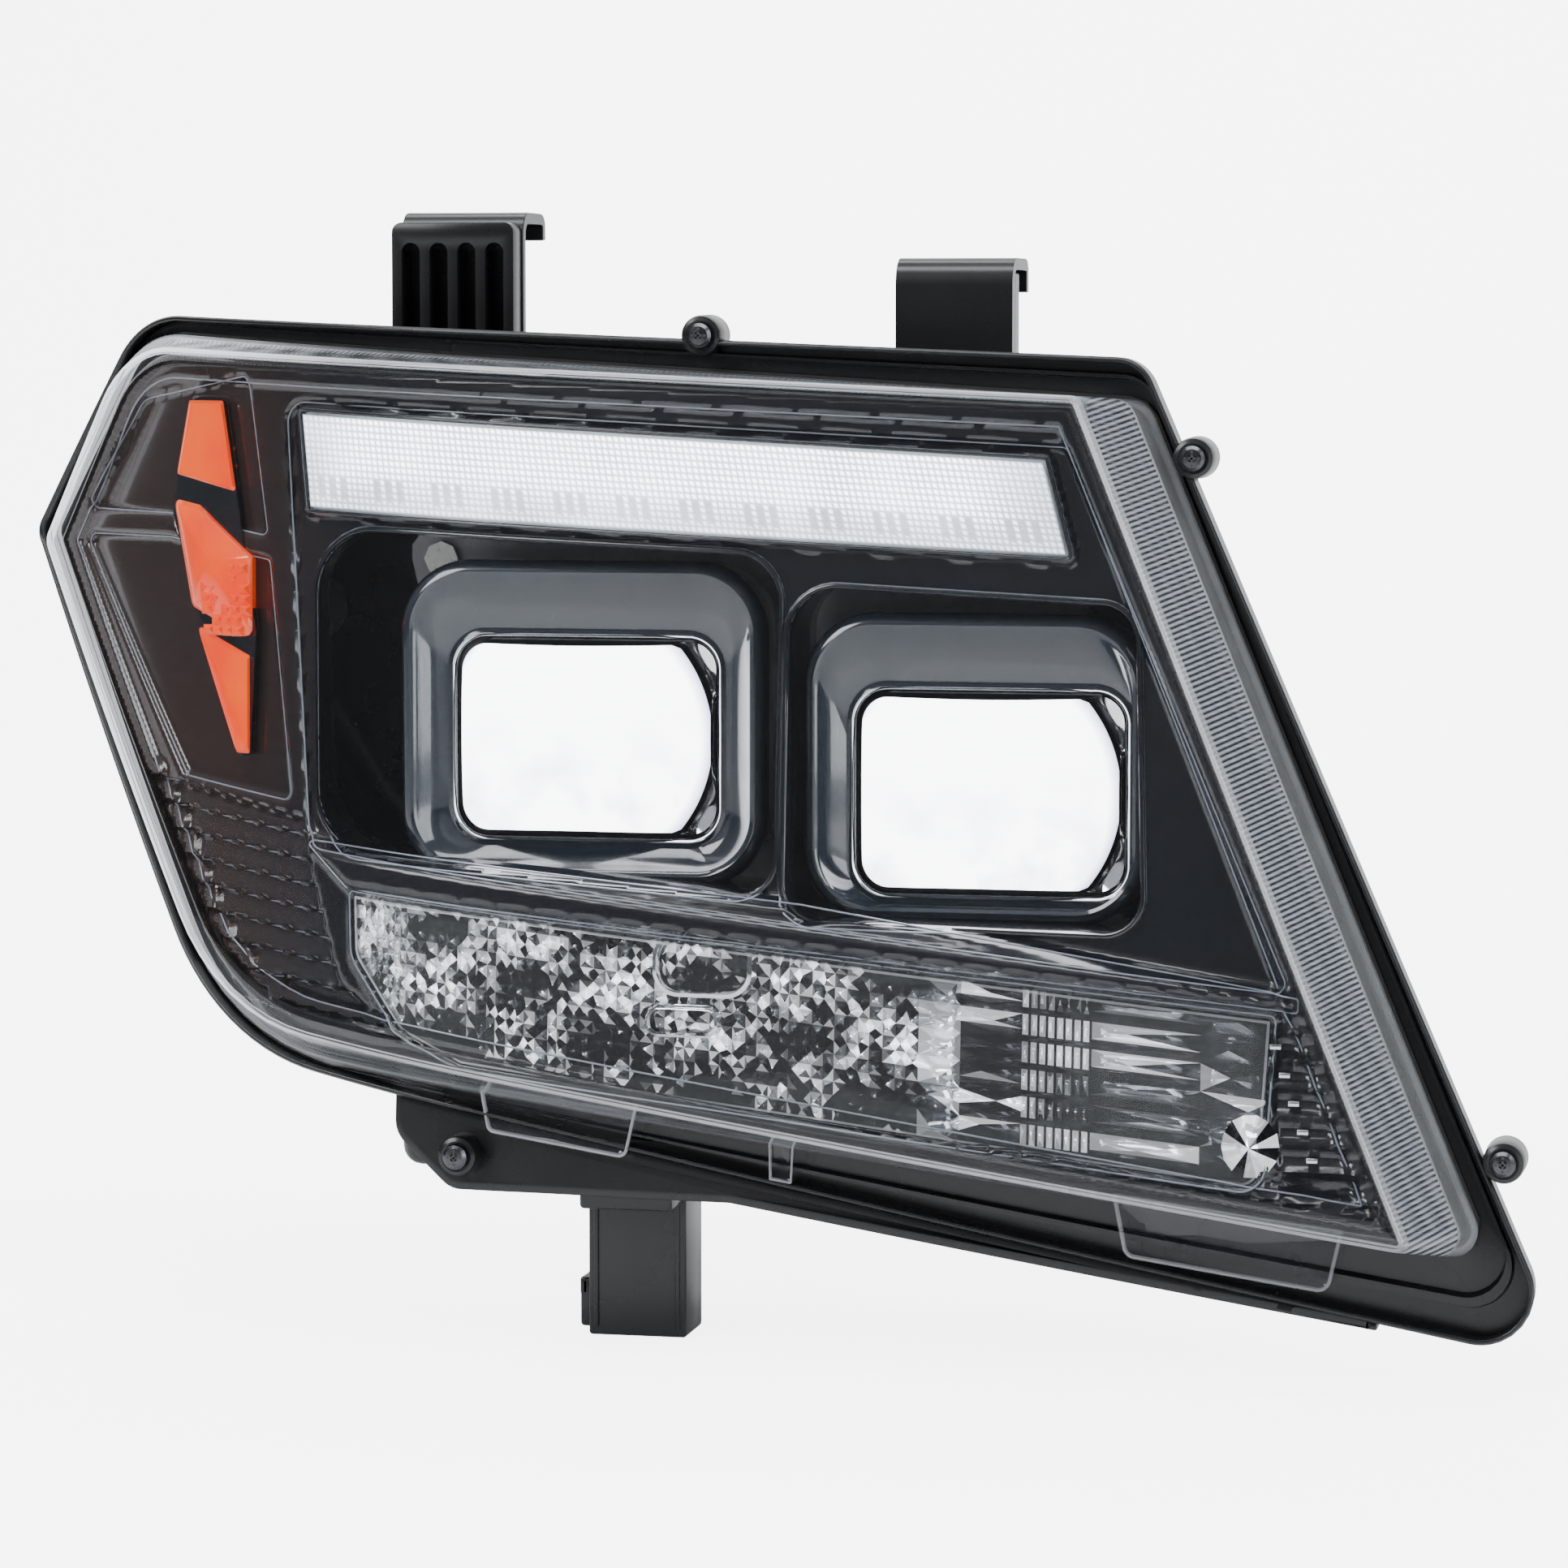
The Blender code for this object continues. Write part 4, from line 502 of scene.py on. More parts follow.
def grazing_share(tree, head_on=0.035, inner=0.25):
    """Share of light mirrored by thin plastic; the inner face mirrors less than the outer one."""
    geometry = add(tree, "NewGeometry")
    facing = add(tree, "VectorMath", {"operation": "DOT_PRODUCT"})
    feed(tree, facing.inputs[0], geometry.outputs["Incoming"])
    feed(tree, facing.inputs[1], geometry.outputs["Normal"])
    away = math_node(tree, "SUBTRACT", 1.0, math_node(tree, "ABSOLUTE", facing.outputs["Value"]))
    grazing = math_node(tree, "POWER", away, 4.0)
    share = ranged(tree, grazing, head_on, 1.0)
    side = ranged(tree, geometry.outputs["Backfacing"], 1.0, inner)
    return math_node(tree, "MULTIPLY", share, side)


def across(tree, stops):
    """Value that changes from the outboard to the inboard side; stops holds x, value pairs."""
    x = add(tree, "SeparateXYZ", Vector=place(tree)).outputs["X"]
    low, high = stops[0][0], stops[-1][0]
    ramp = add(tree, "ValToRGB", Fac=ranged(tree, x, 0.0, 1.0, low, high))
    elements = ramp.color_ramp.elements
    for i, (at, value) in enumerate(stops):
        share = (at - low) / (high - low)
        element = elements[0] if i == 0 else elements[-1] if i == len(stops) - 1 else elements.new(share)
        element.color = (value, value, value, 1.0)
    return ramp.outputs["Color"]


def painted_flute_shade(tree, pitch=0.00183):
    """Painted shade of the flutes: 0 to 1 stripes across the top band and the inboard wall of the clear
    lens.
    """
    split = add(tree, "SeparateXYZ", Vector=place(tree))
    x, z = split.outputs["X"], split.outputs["Z"]
    across_part = math_node(tree, "MULTIPLY", x, 0.385)
    along_wall = math_node(tree, "SUBTRACT", across_part, math_node(tree, "MULTIPLY", z, 0.923))
    inboard = ranged(tree, x, 0.0, 1.0, 0.156, 0.158)
    along = add(tree, "Mix", {"data_type": "FLOAT"})
    for index, value in ((0, inboard), (2, x), (3, along_wall)):
        feed(tree, along.inputs[index], value)
    phase = math_node(tree, "FRACT", math_node(tree, "DIVIDE", along.outputs[0], pitch))
    off_centre = math_node(tree, "ABSOLUTE", math_node(tree, "SUBTRACT", phase, 0.5))
    return ranged(tree, off_centre, 0.0, 1.0, 0.10, 0.40)


def see_through(name, clear_stops, roughness, body=((0.9, 0.92, 0.94), None), painted_glow_stops=None, inner=0.25):
    """Thin clear plastic: passes light, mirrors more at grazing angles, hazed slightly where clear and
    heavily where the white hazing paints in the pale backdrop seen through it.
    body holds the hazed colour and the painted shade between its flutes; the glow stops give painted glow."""
    material, tree, shader = new_material(name)
    colour, between = body
    if between:
        # painted shade: dark colour between the flutes
        feed(tree, shader.inputs["Base Color"], mixed(tree, painted_flute_shade(tree), between, colour))
    else:
        feed(tree, shader.inputs["Base Color"], (*colour, 1.0))
    # painted glow: the clear plastic gives off light on its outboard side
    if painted_glow_stops:
        feed(tree, shader.inputs["Emission Color"], (0.95, 0.97, 1.0, 1.0))
        feed(tree, shader.inputs["Emission Strength"], across(tree, painted_glow_stops))
    drift = noise(tree, 40.0)
    feed(tree, shader.inputs["Roughness"], ranged(tree, drift, roughness * 0.7, roughness * 1.5))
    shader.inputs["IOR"].default_value = 1.58
    clear = add(tree, "BsdfTransparent", Color=(0.985, 0.99, 0.995, 1.0))
    gloss = add(tree, "BsdfGlossy", Roughness=roughness, Color=(0.95, 0.97, 1.0, 1.0))
    surface = add(tree, "MixShader", Fac=grazing_share(tree, 0.035, inner))
    tree.links.new(clear.outputs[0], surface.inputs[1])
    tree.links.new(gloss.outputs[0], surface.inputs[2])
    # Low clear shares give heavy white hazing that paints in the pale backdrop seen through the plastic.
    unclear_share = math_node(tree, "SUBTRACT", 1.0, across(tree, clear_stops))
    haze_and_painted_light = math_node(tree, "MULTIPLY", unclear_share, ranged(tree, noise(tree, 90.0, 5.0), 0.7, 1.2))
    whole = add(tree, "MixShader", Fac=math_node(tree, "SUBTRACT", 1.0, haze_and_painted_light))
    tree.links.new(shader.outputs[0], whole.inputs[1])
    tree.links.new(surface.outputs[0], whole.inputs[2])
    tree.links.new(whole.outputs[0], tree.nodes["Material Output"].inputs["Surface"])
    return material


def glossy_bezel(name):
    """High-gloss black trim: blue-black inboard, brown-black round the amber marker."""
    material, tree, shader = new_material(name)
    position = place(tree)
    x = add(tree, "SeparateXYZ", Vector=position).outputs["X"]
    inboard = ranged(tree, x, 0.0, 1.0, -0.150, -0.100)
    tone = mixed(tree, inboard, (0.030, 0.013, 0.009), (0.004, 0.005, 0.008))
    cloud = noise(tree, 16.0, 3.0, position)
    tone = mixed(tree, ranged(tree, cloud, 0.0, 0.5), tone, (0.007, 0.008, 0.011))
    feed(tree, shader.inputs["Base Color"], tone)
    feed(tree, shader.inputs["Roughness"], ranged(tree, cloud, 0.14, 0.26))
    shader.inputs["Coat Weight"].default_value = 0.6
    shader.inputs["Coat Roughness"].default_value = 0.03
    return material


def lit_optic(name, strength):
    """Lit pillow optic: bright white, dimmer where the mesh attribute says so."""
    material, tree, shader = new_material(name)
    tone = add(tree, "Attribute", {"attribute_name": "tone"}).outputs["Fac"]
    patches = ranged(tree, noise(tree, 30.0, 2.0), 0.80, 1.0, 0.35, 0.62)
    dimming = math_node(tree, "MULTIPLY", tone, patches)
    feed(tree, shader.inputs["Base Color"], (0.85, 0.88, 0.92, 1.0))
    feed(tree, shader.inputs["Emission Color"], mixed(tree, dimming, (0.95, 0.97, 1.0), (0.30, 0.36, 0.50)))
    feed(tree, shader.inputs["Emission Strength"], ranged(tree, dimming, strength, strength * 0.02))
    shader.inputs["Roughness"].default_value = 0.15
    return material


def lit_lens(name, centre, strength):
    """Lit projector optic: bright middle, faint violet smoke low down and a dimmer rim."""
    material, tree, shader = new_material(name)
    position = place(tree)
    offset = add(tree, "VectorMath", {"operation": "SUBTRACT"})
    feed(tree, offset.inputs[0], position)
    offset.inputs[1].default_value = centre
    split = add(tree, "SeparateXYZ", Vector=offset.outputs[0])
    flatly = add(tree, "CombineXYZ", X=split.outputs["X"], Z=split.outputs["Z"]).outputs[0]
    radius = add(tree, "VectorMath", {"operation": "LENGTH"})
    feed(tree, radius.inputs[0], flatly)
    reach = radius.outputs["Value"]
    smoke = ranged(tree, noise(tree, 60.0, 4.0, position), 0.0, 1.0, 0.45, 0.75)
    low = ranged(tree, split.outputs["Z"], 1.0, 0.0, -0.030, 0.012)
    smoke = math_node(tree, "MULTIPLY", smoke, low)
    rim = ranged(tree, reach, 0.0, 1.0, 0.0440, 0.0490)
    shade = math_node(tree, "MAXIMUM", math_node(tree, "MULTIPLY", smoke, 0.6), rim)
    feed(tree, shader.inputs["Emission Color"], mixed(tree, shade, (0.97, 0.97, 1.0), (0.62, 0.60, 0.88)))
    feed(tree, shader.inputs["Emission Strength"], ranged(tree, shade, strength, strength * 0.10))
    feed(tree, shader.inputs["Base Color"], (0.7, 0.72, 0.8, 1.0))
    shader.inputs["Roughness"].default_value = 0.05
    shader.inputs["Coat Weight"].default_value = 1.0
    return material


def chrome_with_painted_reflections(name):
    """Chrome facets with painted reflections: each facet gets its own painted tone, and the palest facets
    glow as painted glints.
    """
    material, tree, shader = new_material(name)
    tone = add(tree, "Attribute", {"attribute_name": "tone"}).outputs["Fac"]
    ramp = add(tree, "ValToRGB", Fac=tone)
    stops = ramp.color_ramp.elements
    stops[0].color = (0.010, 0.010, 0.012, 1)
    stops[1].color = (0.96, 0.97, 1.0, 1)
    greys = ((0.25, (0.05, 0.05, 0.055)), (0.45, (0.38, 0.39, 0.41)), (0.65, (0.80, 0.82, 0.86)))
    for position, value in greys:
        stop = stops.new(position)
        stop.color = (*value, 1)
    streak = ranged(tree, noise(tree, 420.0, 2.0), 0.55, 1.25)
    coloured = add(tree, "VectorMath", {"operation": "SCALE"}, Vector=ramp.outputs["Color"])
    feed(tree, coloured.inputs["Scale"], streak)
    feed(tree, shader.inputs["Base Color"], coloured.outputs[0])
    shader.inputs["Metallic"].default_value = 1.0
    feed(tree, shader.inputs["Roughness"], ranged(tree, noise(tree, 150.0), 0.03, 0.16))
    # painted glints: the palest facets give off light
    painted_glow = ranged(tree, tone, 0.0, 1.30, 0.50, 1.0)
    shader.inputs["Emission Color"].default_value = (0.95, 0.97, 1.0, 1.0)
    feed(tree, shader.inputs["Emission Strength"], painted_glow)
    return material


def amber_plastic(name, painted_glow):
    material, tree, shader = new_material(name)
    cloud = noise(tree, 45.0, 3.0)
    colour = mixed(tree, ranged(tree, cloud, 0.0, 1.0, 0.35, 0.65), (0.95, 0.045, 0.0), (1.0, 0.095, 0.0))
    feed(tree, shader.inputs["Base Color"], colour)
    # painted glow: a faint glow makes the amber look vivid
    feed(tree, shader.inputs["Emission Color"], colour)
    feed(tree, shader.inputs["Emission Strength"], ranged(tree, cloud, painted_glow * 0.7, painted_glow * 1.3))
    shader.inputs["Roughness"].default_value = 0.12
    shader.inputs["Coat Weight"].default_value = 0.5
    bumped(tree, shader, noise(tree, 160.0, 2.0), 0.2, 0.0002)
    return material


def printed_board(name):
    """White circuit board with faint copper lines under the mask."""
    material, tree, shader = new_material(name)
    brick = add(tree, "TexBrick", Vector=place(tree), Scale=260.0)
    feed(tree, brick.inputs["Color1"], (0.78, 0.80, 0.78, 1.0))
    feed(tree, brick.inputs["Color2"], (0.70, 0.73, 0.70, 1.0))
    feed(tree, brick.inputs["Mortar"], (0.50, 0.44, 0.30, 1.0))
    tree.links.new(brick.outputs["Color"], shader.inputs["Base Color"])
    shader.inputs["Roughness"].default_value = 0.4
    bumped(tree, shader, brick.outputs["Fac"], 0.2, 0.00005)
    return material


def studio_ground(name):
    """Pale paper that glows for the camera only, so that it looks nearly white."""
    material, tree, shader = new_material(name)
    tone = mixed(tree, noise(tree, 3.0, 2.0), (0.88, 0.88, 0.88), (0.92, 0.92, 0.92))
    feed(tree, shader.inputs["Base Color"], tone)
    feed(tree, shader.inputs["Emission Color"], (1.0, 1.0, 1.0, 1.0))
    seen = add(tree, "LightPath").outputs["Is Camera Ray"]
    feed(tree, shader.inputs["Emission Strength"], ranged(tree, seen, 0.0, PAPER_GLOW))
    shader.inputs["Roughness"].default_value = 0.7
    return material


HOUSING_BLACK = moulded("moulded_black", (0.0085, 0.0085, 0.0095), 0.27, 900.0, 0.00004, edge_paling=1.0)
RECESS_BLACK = moulded("gloss_recess_black", (0.004, 0.005, 0.007), 0.14, 30.0, 0.00001, coat=0.5)
SHROUD_BLACK = moulded("gloss_shroud_black", (0.012, 0.017, 0.024), 0.12, 30.0, 0.00001, coat=1.0, edge_paling=1.0)
CAP_BLACK = moulded("cap_black", (0.020, 0.020, 0.021), 0.48, 1300.0, 0.00008)
RUBBER = moulded("rubber", (0.020, 0.020, 0.020), 0.80, 1500.0, 0.00008, edge_paling=1.6)
WHITE_NYLON = moulded("white_nylon", (0.72, 0.72, 0.69), 0.42, 900.0, 0.00004, edge_paling=1.1)
GREY_NYLON = moulded("grey_nylon", (0.20, 0.20, 0.21), 0.45, 900.0, 0.00005, edge_paling=1.6)
CAST_METAL = moulded("cast_aluminium", (0.52, 0.53, 0.55), 0.42, 700.0, 0.00010, metallic=1.0, edge_paling=1.4)
STEEL = turned_metal("zinc_steel", (0.62, 0.61, 0.58), 0.28)
BLACK_ZINC = turned_metal("black_zinc", (0.10, 0.10, 0.11), 0.26)
# Seam beads: paler than the black bezel, a painted highlight along the seams and openings.
SEAM_PAINTED_HIGHLIGHT = moulded("seam_painted_highlight", (0.17, 0.19, 0.23), 0.14, 30.0, 0.00001, coat=1.0, edge_paling=1.6)
CHROME = turned_metal("vacuum_chrome", (0.88, 0.89, 0.91), 0.10)
BEZEL_GLOSS = glossy_bezel("gloss_black_bezel")
CLEAR_FACE = see_through("clear_face", [(-0.2, 0.998), (0.3, 0.998)], 0.015)
# Clear shares fall on the outboard side, where the white hazing paints in the pale backdrop seen through the
# lens.
EDGE_STOPS = [(-0.21, 0.05), (-0.15, 0.25), (-0.09, 0.62), (0.13, 0.70), (0.30, 0.80)]
# Painted glow on the outboard side of the clear edge and flutes.
EDGE_PAINTED_GLOW = [(-0.21, 0.85), (-0.15, 0.45), (-0.09, 0.06), (0.30, 0.06)]
CLEAR_EDGE = see_through("clear_edge", EDGE_STOPS, 0.08, ((0.93, 0.95, 0.98), None), EDGE_PAINTED_GLOW)
FLUTE_STOPS = [(-0.21, 0.08), (-0.16, 0.30), (-0.10, 0.82), (0.14, 0.80), (0.17, 0.35), (0.30, 0.35)]
FLUTE_PAINTED_GLOW = [(-0.21, 0.85), (-0.16, 0.35), (-0.10, 0.0), (0.30, 0.0)]
# Colour of the hazing, and painted shade between the flutes.
FLUTE_HAZE_AND_PAINTED_SHADE = ((0.50, 0.53, 0.58), (0.020, 0.022, 0.026))
CLEAR_FLUTES = see_through("clear_flutes", FLUTE_STOPS, 0.10, FLUTE_HAZE_AND_PAINTED_SHADE, FLUTE_PAINTED_GLOW, 1.0)
# The foot is hazed white outboard too: painted backdrop light.
CLEAR_FOOT = see_through("clear_foot", [(-0.21, 0.30), (-0.15, 0.70), (-0.10, 0.93), (0.30, 0.93)], 0.05)
CLEAR_TRIM = see_through("clear_trim_lens", [(-0.2, 0.97), (0.3, 0.97)], 0.02)
# The amber bulb glass and marker lens glow faintly: painted glow.
BULB_AMBER = amber_plastic("amber_bulb_glass", 0.2)
MARKER_AMBER = amber_plastic("amber_marker", 0.30)
DRL_LIT = lit_optic("lit_drl_optic", DRL_STRENGTH)
# Turn reflector facets: painted reflections and painted glints.
CRYSTAL_PAINTED_REFLECTIONS = chrome_with_painted_reflections("chrome_with_painted_reflections")
BOARD = printed_board("printed_board")


# ---------------------------------------------------------------- mesh tools
def linked(name, data):
    """A new object in the scene."""
    item = bpy.data.objects.new(name, data)
    bpy.context.scene.collection.objects.link(item)
    return item


def edited(piece, operation):
    """Runs a bmesh operation on the piece's own mesh."""
    bm = bmesh.new()
    bm.from_mesh(piece.data)
    operation(bm)
    bm.to_mesh(piece.data)
    bm.free()


def face_outward(piece):
    edited(piece, lambda bm: bmesh.ops.recalc_face_normals(bm, faces=bm.faces))


def flip(piece):
    edited(piece, lambda bm: bmesh.ops.reverse_faces(bm, faces=bm.faces))


def tidy_mesh(piece):
    """Welds doubled points and removes faces without area."""

    def weld(bm):
        bmesh.ops.remove_doubles(bm, verts=bm.verts, dist=WELD_DISTANCE)
        bmesh.ops.dissolve_degenerate(bm, edges=bm.edges, dist=WELD_DISTANCE)

    edited(piece, weld)


def new_piece(name, vertices, faces, materials, smooth_degrees=35, face_materials=None):
    mesh = bpy.data.meshes.new(name)
    mesh.from_pydata([tuple(v) for v in vertices], [], faces)
    for material in materials:
        mesh.materials.append(material)
    if face_materials is not None:
        mesh.polygons.foreach_set("material_index", face_materials)
    mesh.shade_smooth()
    mesh.set_sharp_from_angle(angle=math.radians(smooth_degrees))
    return linked(name, mesh)


def settle(piece, body, replaced=()):
    """Says which body the piece rides on and which CAD nodes it stands in for, which it hides."""
    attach(piece, body)
    if replaced:
        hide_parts(*replaced)
    return piece


def thicken(piece, thickness, side=-1):
    wall = piece.modifiers.new("wall", "SOLIDIFY")
    wall.thickness = thickness
    wall.offset = side
    return piece


def bevel(piece, width, segments=2, degrees=35):
    rounding = piece.modifiers.new("rounding", "BEVEL")
    rounding.width = width
    rounding.segments = segments
    rounding.limit_method = "ANGLE"
    rounding.angle_limit = math.radians(degrees)
    rounding.harden_normals = True
    return piece


def loft_faces(ring_count, points, start=0):
    faces = []
    for r in range(ring_count - 1):
        for i in range(points):
            j = (i + 1) % points
            a, b = start + r * points, start + (r + 1) * points
            faces.append((a + i, a + j, b + j, b + i))
    return faces


def lofted(name, rings, materials, cap_first=False, cap_last=False, bands=None, smooth_degrees=35):
    """Skin over rings that run front to back; bands holds the material index of each strip."""
    count = len(rings[0])
    vertices = [point for points in rings for point in points]
    faces = loft_faces(len(rings), count)
    indices = [bands[i // count] if bands else 0 for i in range(len(faces))]
    if cap_first:
        faces.append(tuple(range(count))[::-1])
        indices.append(bands[0] if bands else 0)
    if cap_last:
        faces.append(tuple(range((len(rings) - 1) * count, len(rings) * count)))
        indices.append(bands[-1] if bands else 0)
    return new_piece(name, vertices, faces, materials, smooth_degrees, indices)


def sheet(name, outer, holes, depth, pitch, material):
    """Grid sheet inside an outline and outside its holes, with the grid's edge pulled onto them."""
    low, high = outer.min(0) - pitch, outer.max(0) + pitch
    xs = np.arange(low[0], high[0], pitch)
    zs = np.arange(low[1], high[1], pitch)
    grid_x, grid_z = np.meshgrid(xs, zs, indexing="ij")
    points = np.stack([grid_x.ravel(), grid_z.ravel()], 1)
    room, nearest = signed_distance(points, outer)
    room = -room
    for hole in holes:
        distance, foot = signed_distance(points, hole)
        closer = distance < room
        room[closer] = distance[closer]
        nearest[closer] = foot[closer]
    on_edge = np.abs(room) < 0.5 * pitch
    points[on_edge] = nearest[on_edge]
    room[on_edge] = 0.0
    index = np.arange(len(points)).reshape(len(xs), len(zs))
    quads = np.stack([index[:-1, :-1], index[1:, :-1], index[1:, 1:], index[:-1, 1:]], -1).reshape(-1, 4)
    quads = quads[room[quads].sum(1) > 1e-7]
    strays = np.unique(quads[room[quads] < 0])
    points[strays] = nearest[strays]
    used, packed = np.unique(quads, return_inverse=True)
    quads = packed.reshape(-1, 4)
    x, z = points[used].T
    vertices = np.stack([x, depth(x, z), z], 1)
    piece = new_piece(name, vertices, quads.tolist(), [material], 50)
    tidy_mesh(piece)
    return piece


def merged(name, pieces):
    """One mesh object from several, with their modifiers applied."""
    depsgraph = bpy.context.evaluated_depsgraph_get()
    bm = bmesh.new()
    materials = []
    for piece in pieces:
        mesh = bpy.data.meshes.new_from_object(piece.evaluated_get(depsgraph))
        mesh.transform(piece.matrix_world)
        slots = []
        for material in mesh.materials:
            if material not in materials:
                materials.append(material)
            slots.append(materials.index(material))
        for polygon in mesh.polygons:
            polygon.material_index = slots[polygon.material_index]
        bm.from_mesh(mesh)
        bpy.data.meshes.remove(mesh)
    for piece in pieces:
        bpy.data.objects.remove(piece, do_unlink=True)
    mesh = bpy.data.meshes.new(name)
    bm.to_mesh(mesh)
    bm.free()
    for material in materials:
        mesh.materials.append(material)
    return linked(name, mesh)


def turned(name, profile, x, z, material, segments=64, closed=False):
    """Shape turned about the Y line through x, z; the profile holds radius, y pairs, front to back."""
    rings = []
    for radius, y in profile:
        radius = max(radius, 0.00001)
        steps = (2 * math.pi * s / segments for s in range(segments))
        rings.append([Vector((x + radius * math.sin(a), y, z + radius * math.cos(a))) for a in steps])
    if closed:
        rings.append(rings[0])
    piece = lofted(name, rings, [material], not closed, not closed, None, 32)
    if closed:
        tidy_mesh(piece)
    return piece


def rounded_block(name, low, high, radius, material, segments=3):
    bm = bmesh.new()
    size, middle = Vector(high) - Vector(low), (Vector(high) + Vector(low)) / 2
    bmesh.ops.create_cube(bm, size=1.0, matrix=Matrix.Translation(middle) @ Matrix.Diagonal((*size, 1.0)))
    bmesh.ops.bevel(bm, geom=bm.edges[:], offset=radius, segments=segments, profile=0.5, affect="EDGES")
    mesh = bpy.data.meshes.new(name)
    bm.to_mesh(mesh)
    bm.free()
    mesh.materials.append(material)
    mesh.shade_smooth()
    mesh.set_sharp_from_angle(angle=math.radians(40))
    return linked(name, mesh)


def bent_strip(name, path, thickness, x_low, x_high, material):
    """Strip whose section follows a path of y, z points, drawn out along X."""
    points = [Vector((y, z)) for y, z in path]
    left, right = [], []
    for i, point in enumerate(points):
        before = points[max(i - 1, 0)]
        after = points[min(i + 1, len(points) - 1)]
        direction = (after - before).normalized()
        normal = Vector((-direction.y, direction.x)) * thickness / 2
        left.append(point + normal)
        right.append(point - normal)
    loop = left + right[::-1]
    vertices = [(x, p.x, p.y) for x in (x_low, x_high) for p in loop]
    count = len(loop)
    faces = loft_faces(2, count)
    faces += [tuple(range(count))[::-1], tuple(range(count, 2 * count))]
    piece = new_piece(name, vertices, faces, [material], 25)
    face_outward(piece)
    return bevel(piece, thickness * 0.18, 2, 40)


def arc_path(centre, radius, start_degrees, end_degrees, steps=8):
    result = []
    for step in range(steps + 1):
        angle = math.radians(start_degrees + (end_degrees - start_degrees) * step / steps)
        result.append((centre[0] + radius * math.cos(angle), centre[1] + radius * math.sin(angle)))
    return result


def middle(node):
    low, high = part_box(node)
    return (low + high) / 2


def turned_room(node):
    """Box corners, axis x and z, and radius of a turned CAD node."""
    low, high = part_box(node)
    return low, high, (low.x + high.x) / 2, (low.z + high.z) / 2, (high.x - low.x) / 2


# ---------------------------------------------------------------- clear outer lens
def fluted_points(corners, grow, edge_steps, amount):
    """Outline points with every other pair on the top and inboard edges pushed inward."""
    arc_steps = 8
    points = outline(grown(corners, grow), arc_steps, edge_steps)
    result = list(points)
    start = arc_steps + 1
    for edge in (0, 1):
        for step in range(1, edge_steps[edge]):
            i = start + step - 1
            along = (points[i + 1] - points[i - 1]).normalized()
            inward = Vector((along.y, -along.x))
            rise = (0.0, 1.0, 1.0, 0.0)[step % 4]
            result[i] = points[i] + inward * amount * rise
        start += edge_steps[edge] - 1 + arc_steps + 1
    return result


def make_outer_lens():
    edge_steps = [640, 640, 60, 30, 20]
    face_points = outline(grown(FACE, -0.0014), 8, edge_steps)
    centre = sum(face_points, Vector((0.0, 0.0))) / len(face_points)
    shares = [0.02] + [(i + 1) / 16 for i in range(15)]
    rings = []
    for share in shares + [1.0]:
        rings.append(laid([centre.lerp(p, share) for p in face_points], lens_depth))
    bands = [0] * len(shares)
    crown = [(-0.0008, 0.0001), (-0.0003, 0.0005), (0.0, CROWN_DEPTH)]
    for grow, deep in crown:
        rings.append(ring(FACE, behind(lens_depth, deep), grow, None, 8, edge_steps))
        bands.append(1)
    front = ring(FACE, behind(lens_depth, CROWN_DEPTH), 0.0, None, 8, edge_steps)
    foot = ring(SKIRT, behind(rim_depth, -0.004), 0.0, None, 8, edge_steps)
    smooth_edge = blended(front, foot, 0.05)
    rings.append(smooth_edge)
    bands.append(1)
    fluted_front = fluted_points(FACE, 0.0, edge_steps, FLUTE_DEPTH)
    fluted_foot = fluted_points(SKIRT, 0.0, edge_steps, FLUTE_DEPTH)
    for share in (0.07, 0.28, 0.49, 0.70):
        row = []
        for i, (a, b) in enumerate(zip(front, foot)):
            start = Vector((fluted_front[i].x, a.y, fluted_front[i].y))
            end = Vector((fluted_foot[i].x, b.y, fluted_foot[i].y))
            row.append(start.lerp(end, share))
        rings.append(row)
        bands.append(2)
    rings.append(blended(front, foot, 0.73))
    rings.append(blended(front, foot, 0.76))
    rings.append(foot)
    rings.append(ring(SKIRT, rim_depth, 0.0, None, 8, edge_steps))
    bands += [2, 1, 3, 1]
    finishes = [CLEAR_FACE, CLEAR_EDGE, CLEAR_FLUTES, CLEAR_FOOT]
    lens = lofted("outer_lens_clear", rings, finishes, True, False, bands, 28)
    thicken(lens, LENS_WALL)
    settle(lens, "housing", ["outer_lens"])


def clear_tab(name, x_low, x_high, drop, frame=0.0012):
    """Clear snap window moulded on the skirt's lower edge: a thin plate with a raised frame."""
    slope = (SKIRT[3][1] - SKIRT[2][1]) / (SKIRT[3][0] - SKIRT[2][0])
    lift = 0.0040
    taper = (x_high - x_low) * 0.06

    def edge(x):
        return SKIRT[2][1] + (x - SKIRT[2][0]) * slope

    corners = [
        (x_low, edge(x_low) + lift, 0.001),
        (x_high, edge(x_high) + lift, 0.001),
        (x_high - taper, edge(x_high) - drop, taper),
        (x_low + taper, edge(x_low) - drop, taper),
    ]
    surface = behind(rim_depth, -0.0060)
    rings = [
        ring(corners, behind(surface, 0.0004), -2.0 * frame),
        ring(corners, surface, -1.1 * frame),
        ring(corners, behind(surface, -0.0014), -0.8 * frame),
        ring(corners, behind(surface, -0.0014), -0.3 * frame),
        ring(corners, behind(surface, -0.0008), 0.0),
        ring(corners, behind(surface, 0.0026), 0.0),
        ring(corners, behind(surface, 0.0026), -2.0 * frame),
    ]
    tab = lofted(name, rings, [CLEAR_FACE, CLEAR_EDGE], True, True, [0, 1, 1, 1, 0, 0])
    settle(tab, "housing")


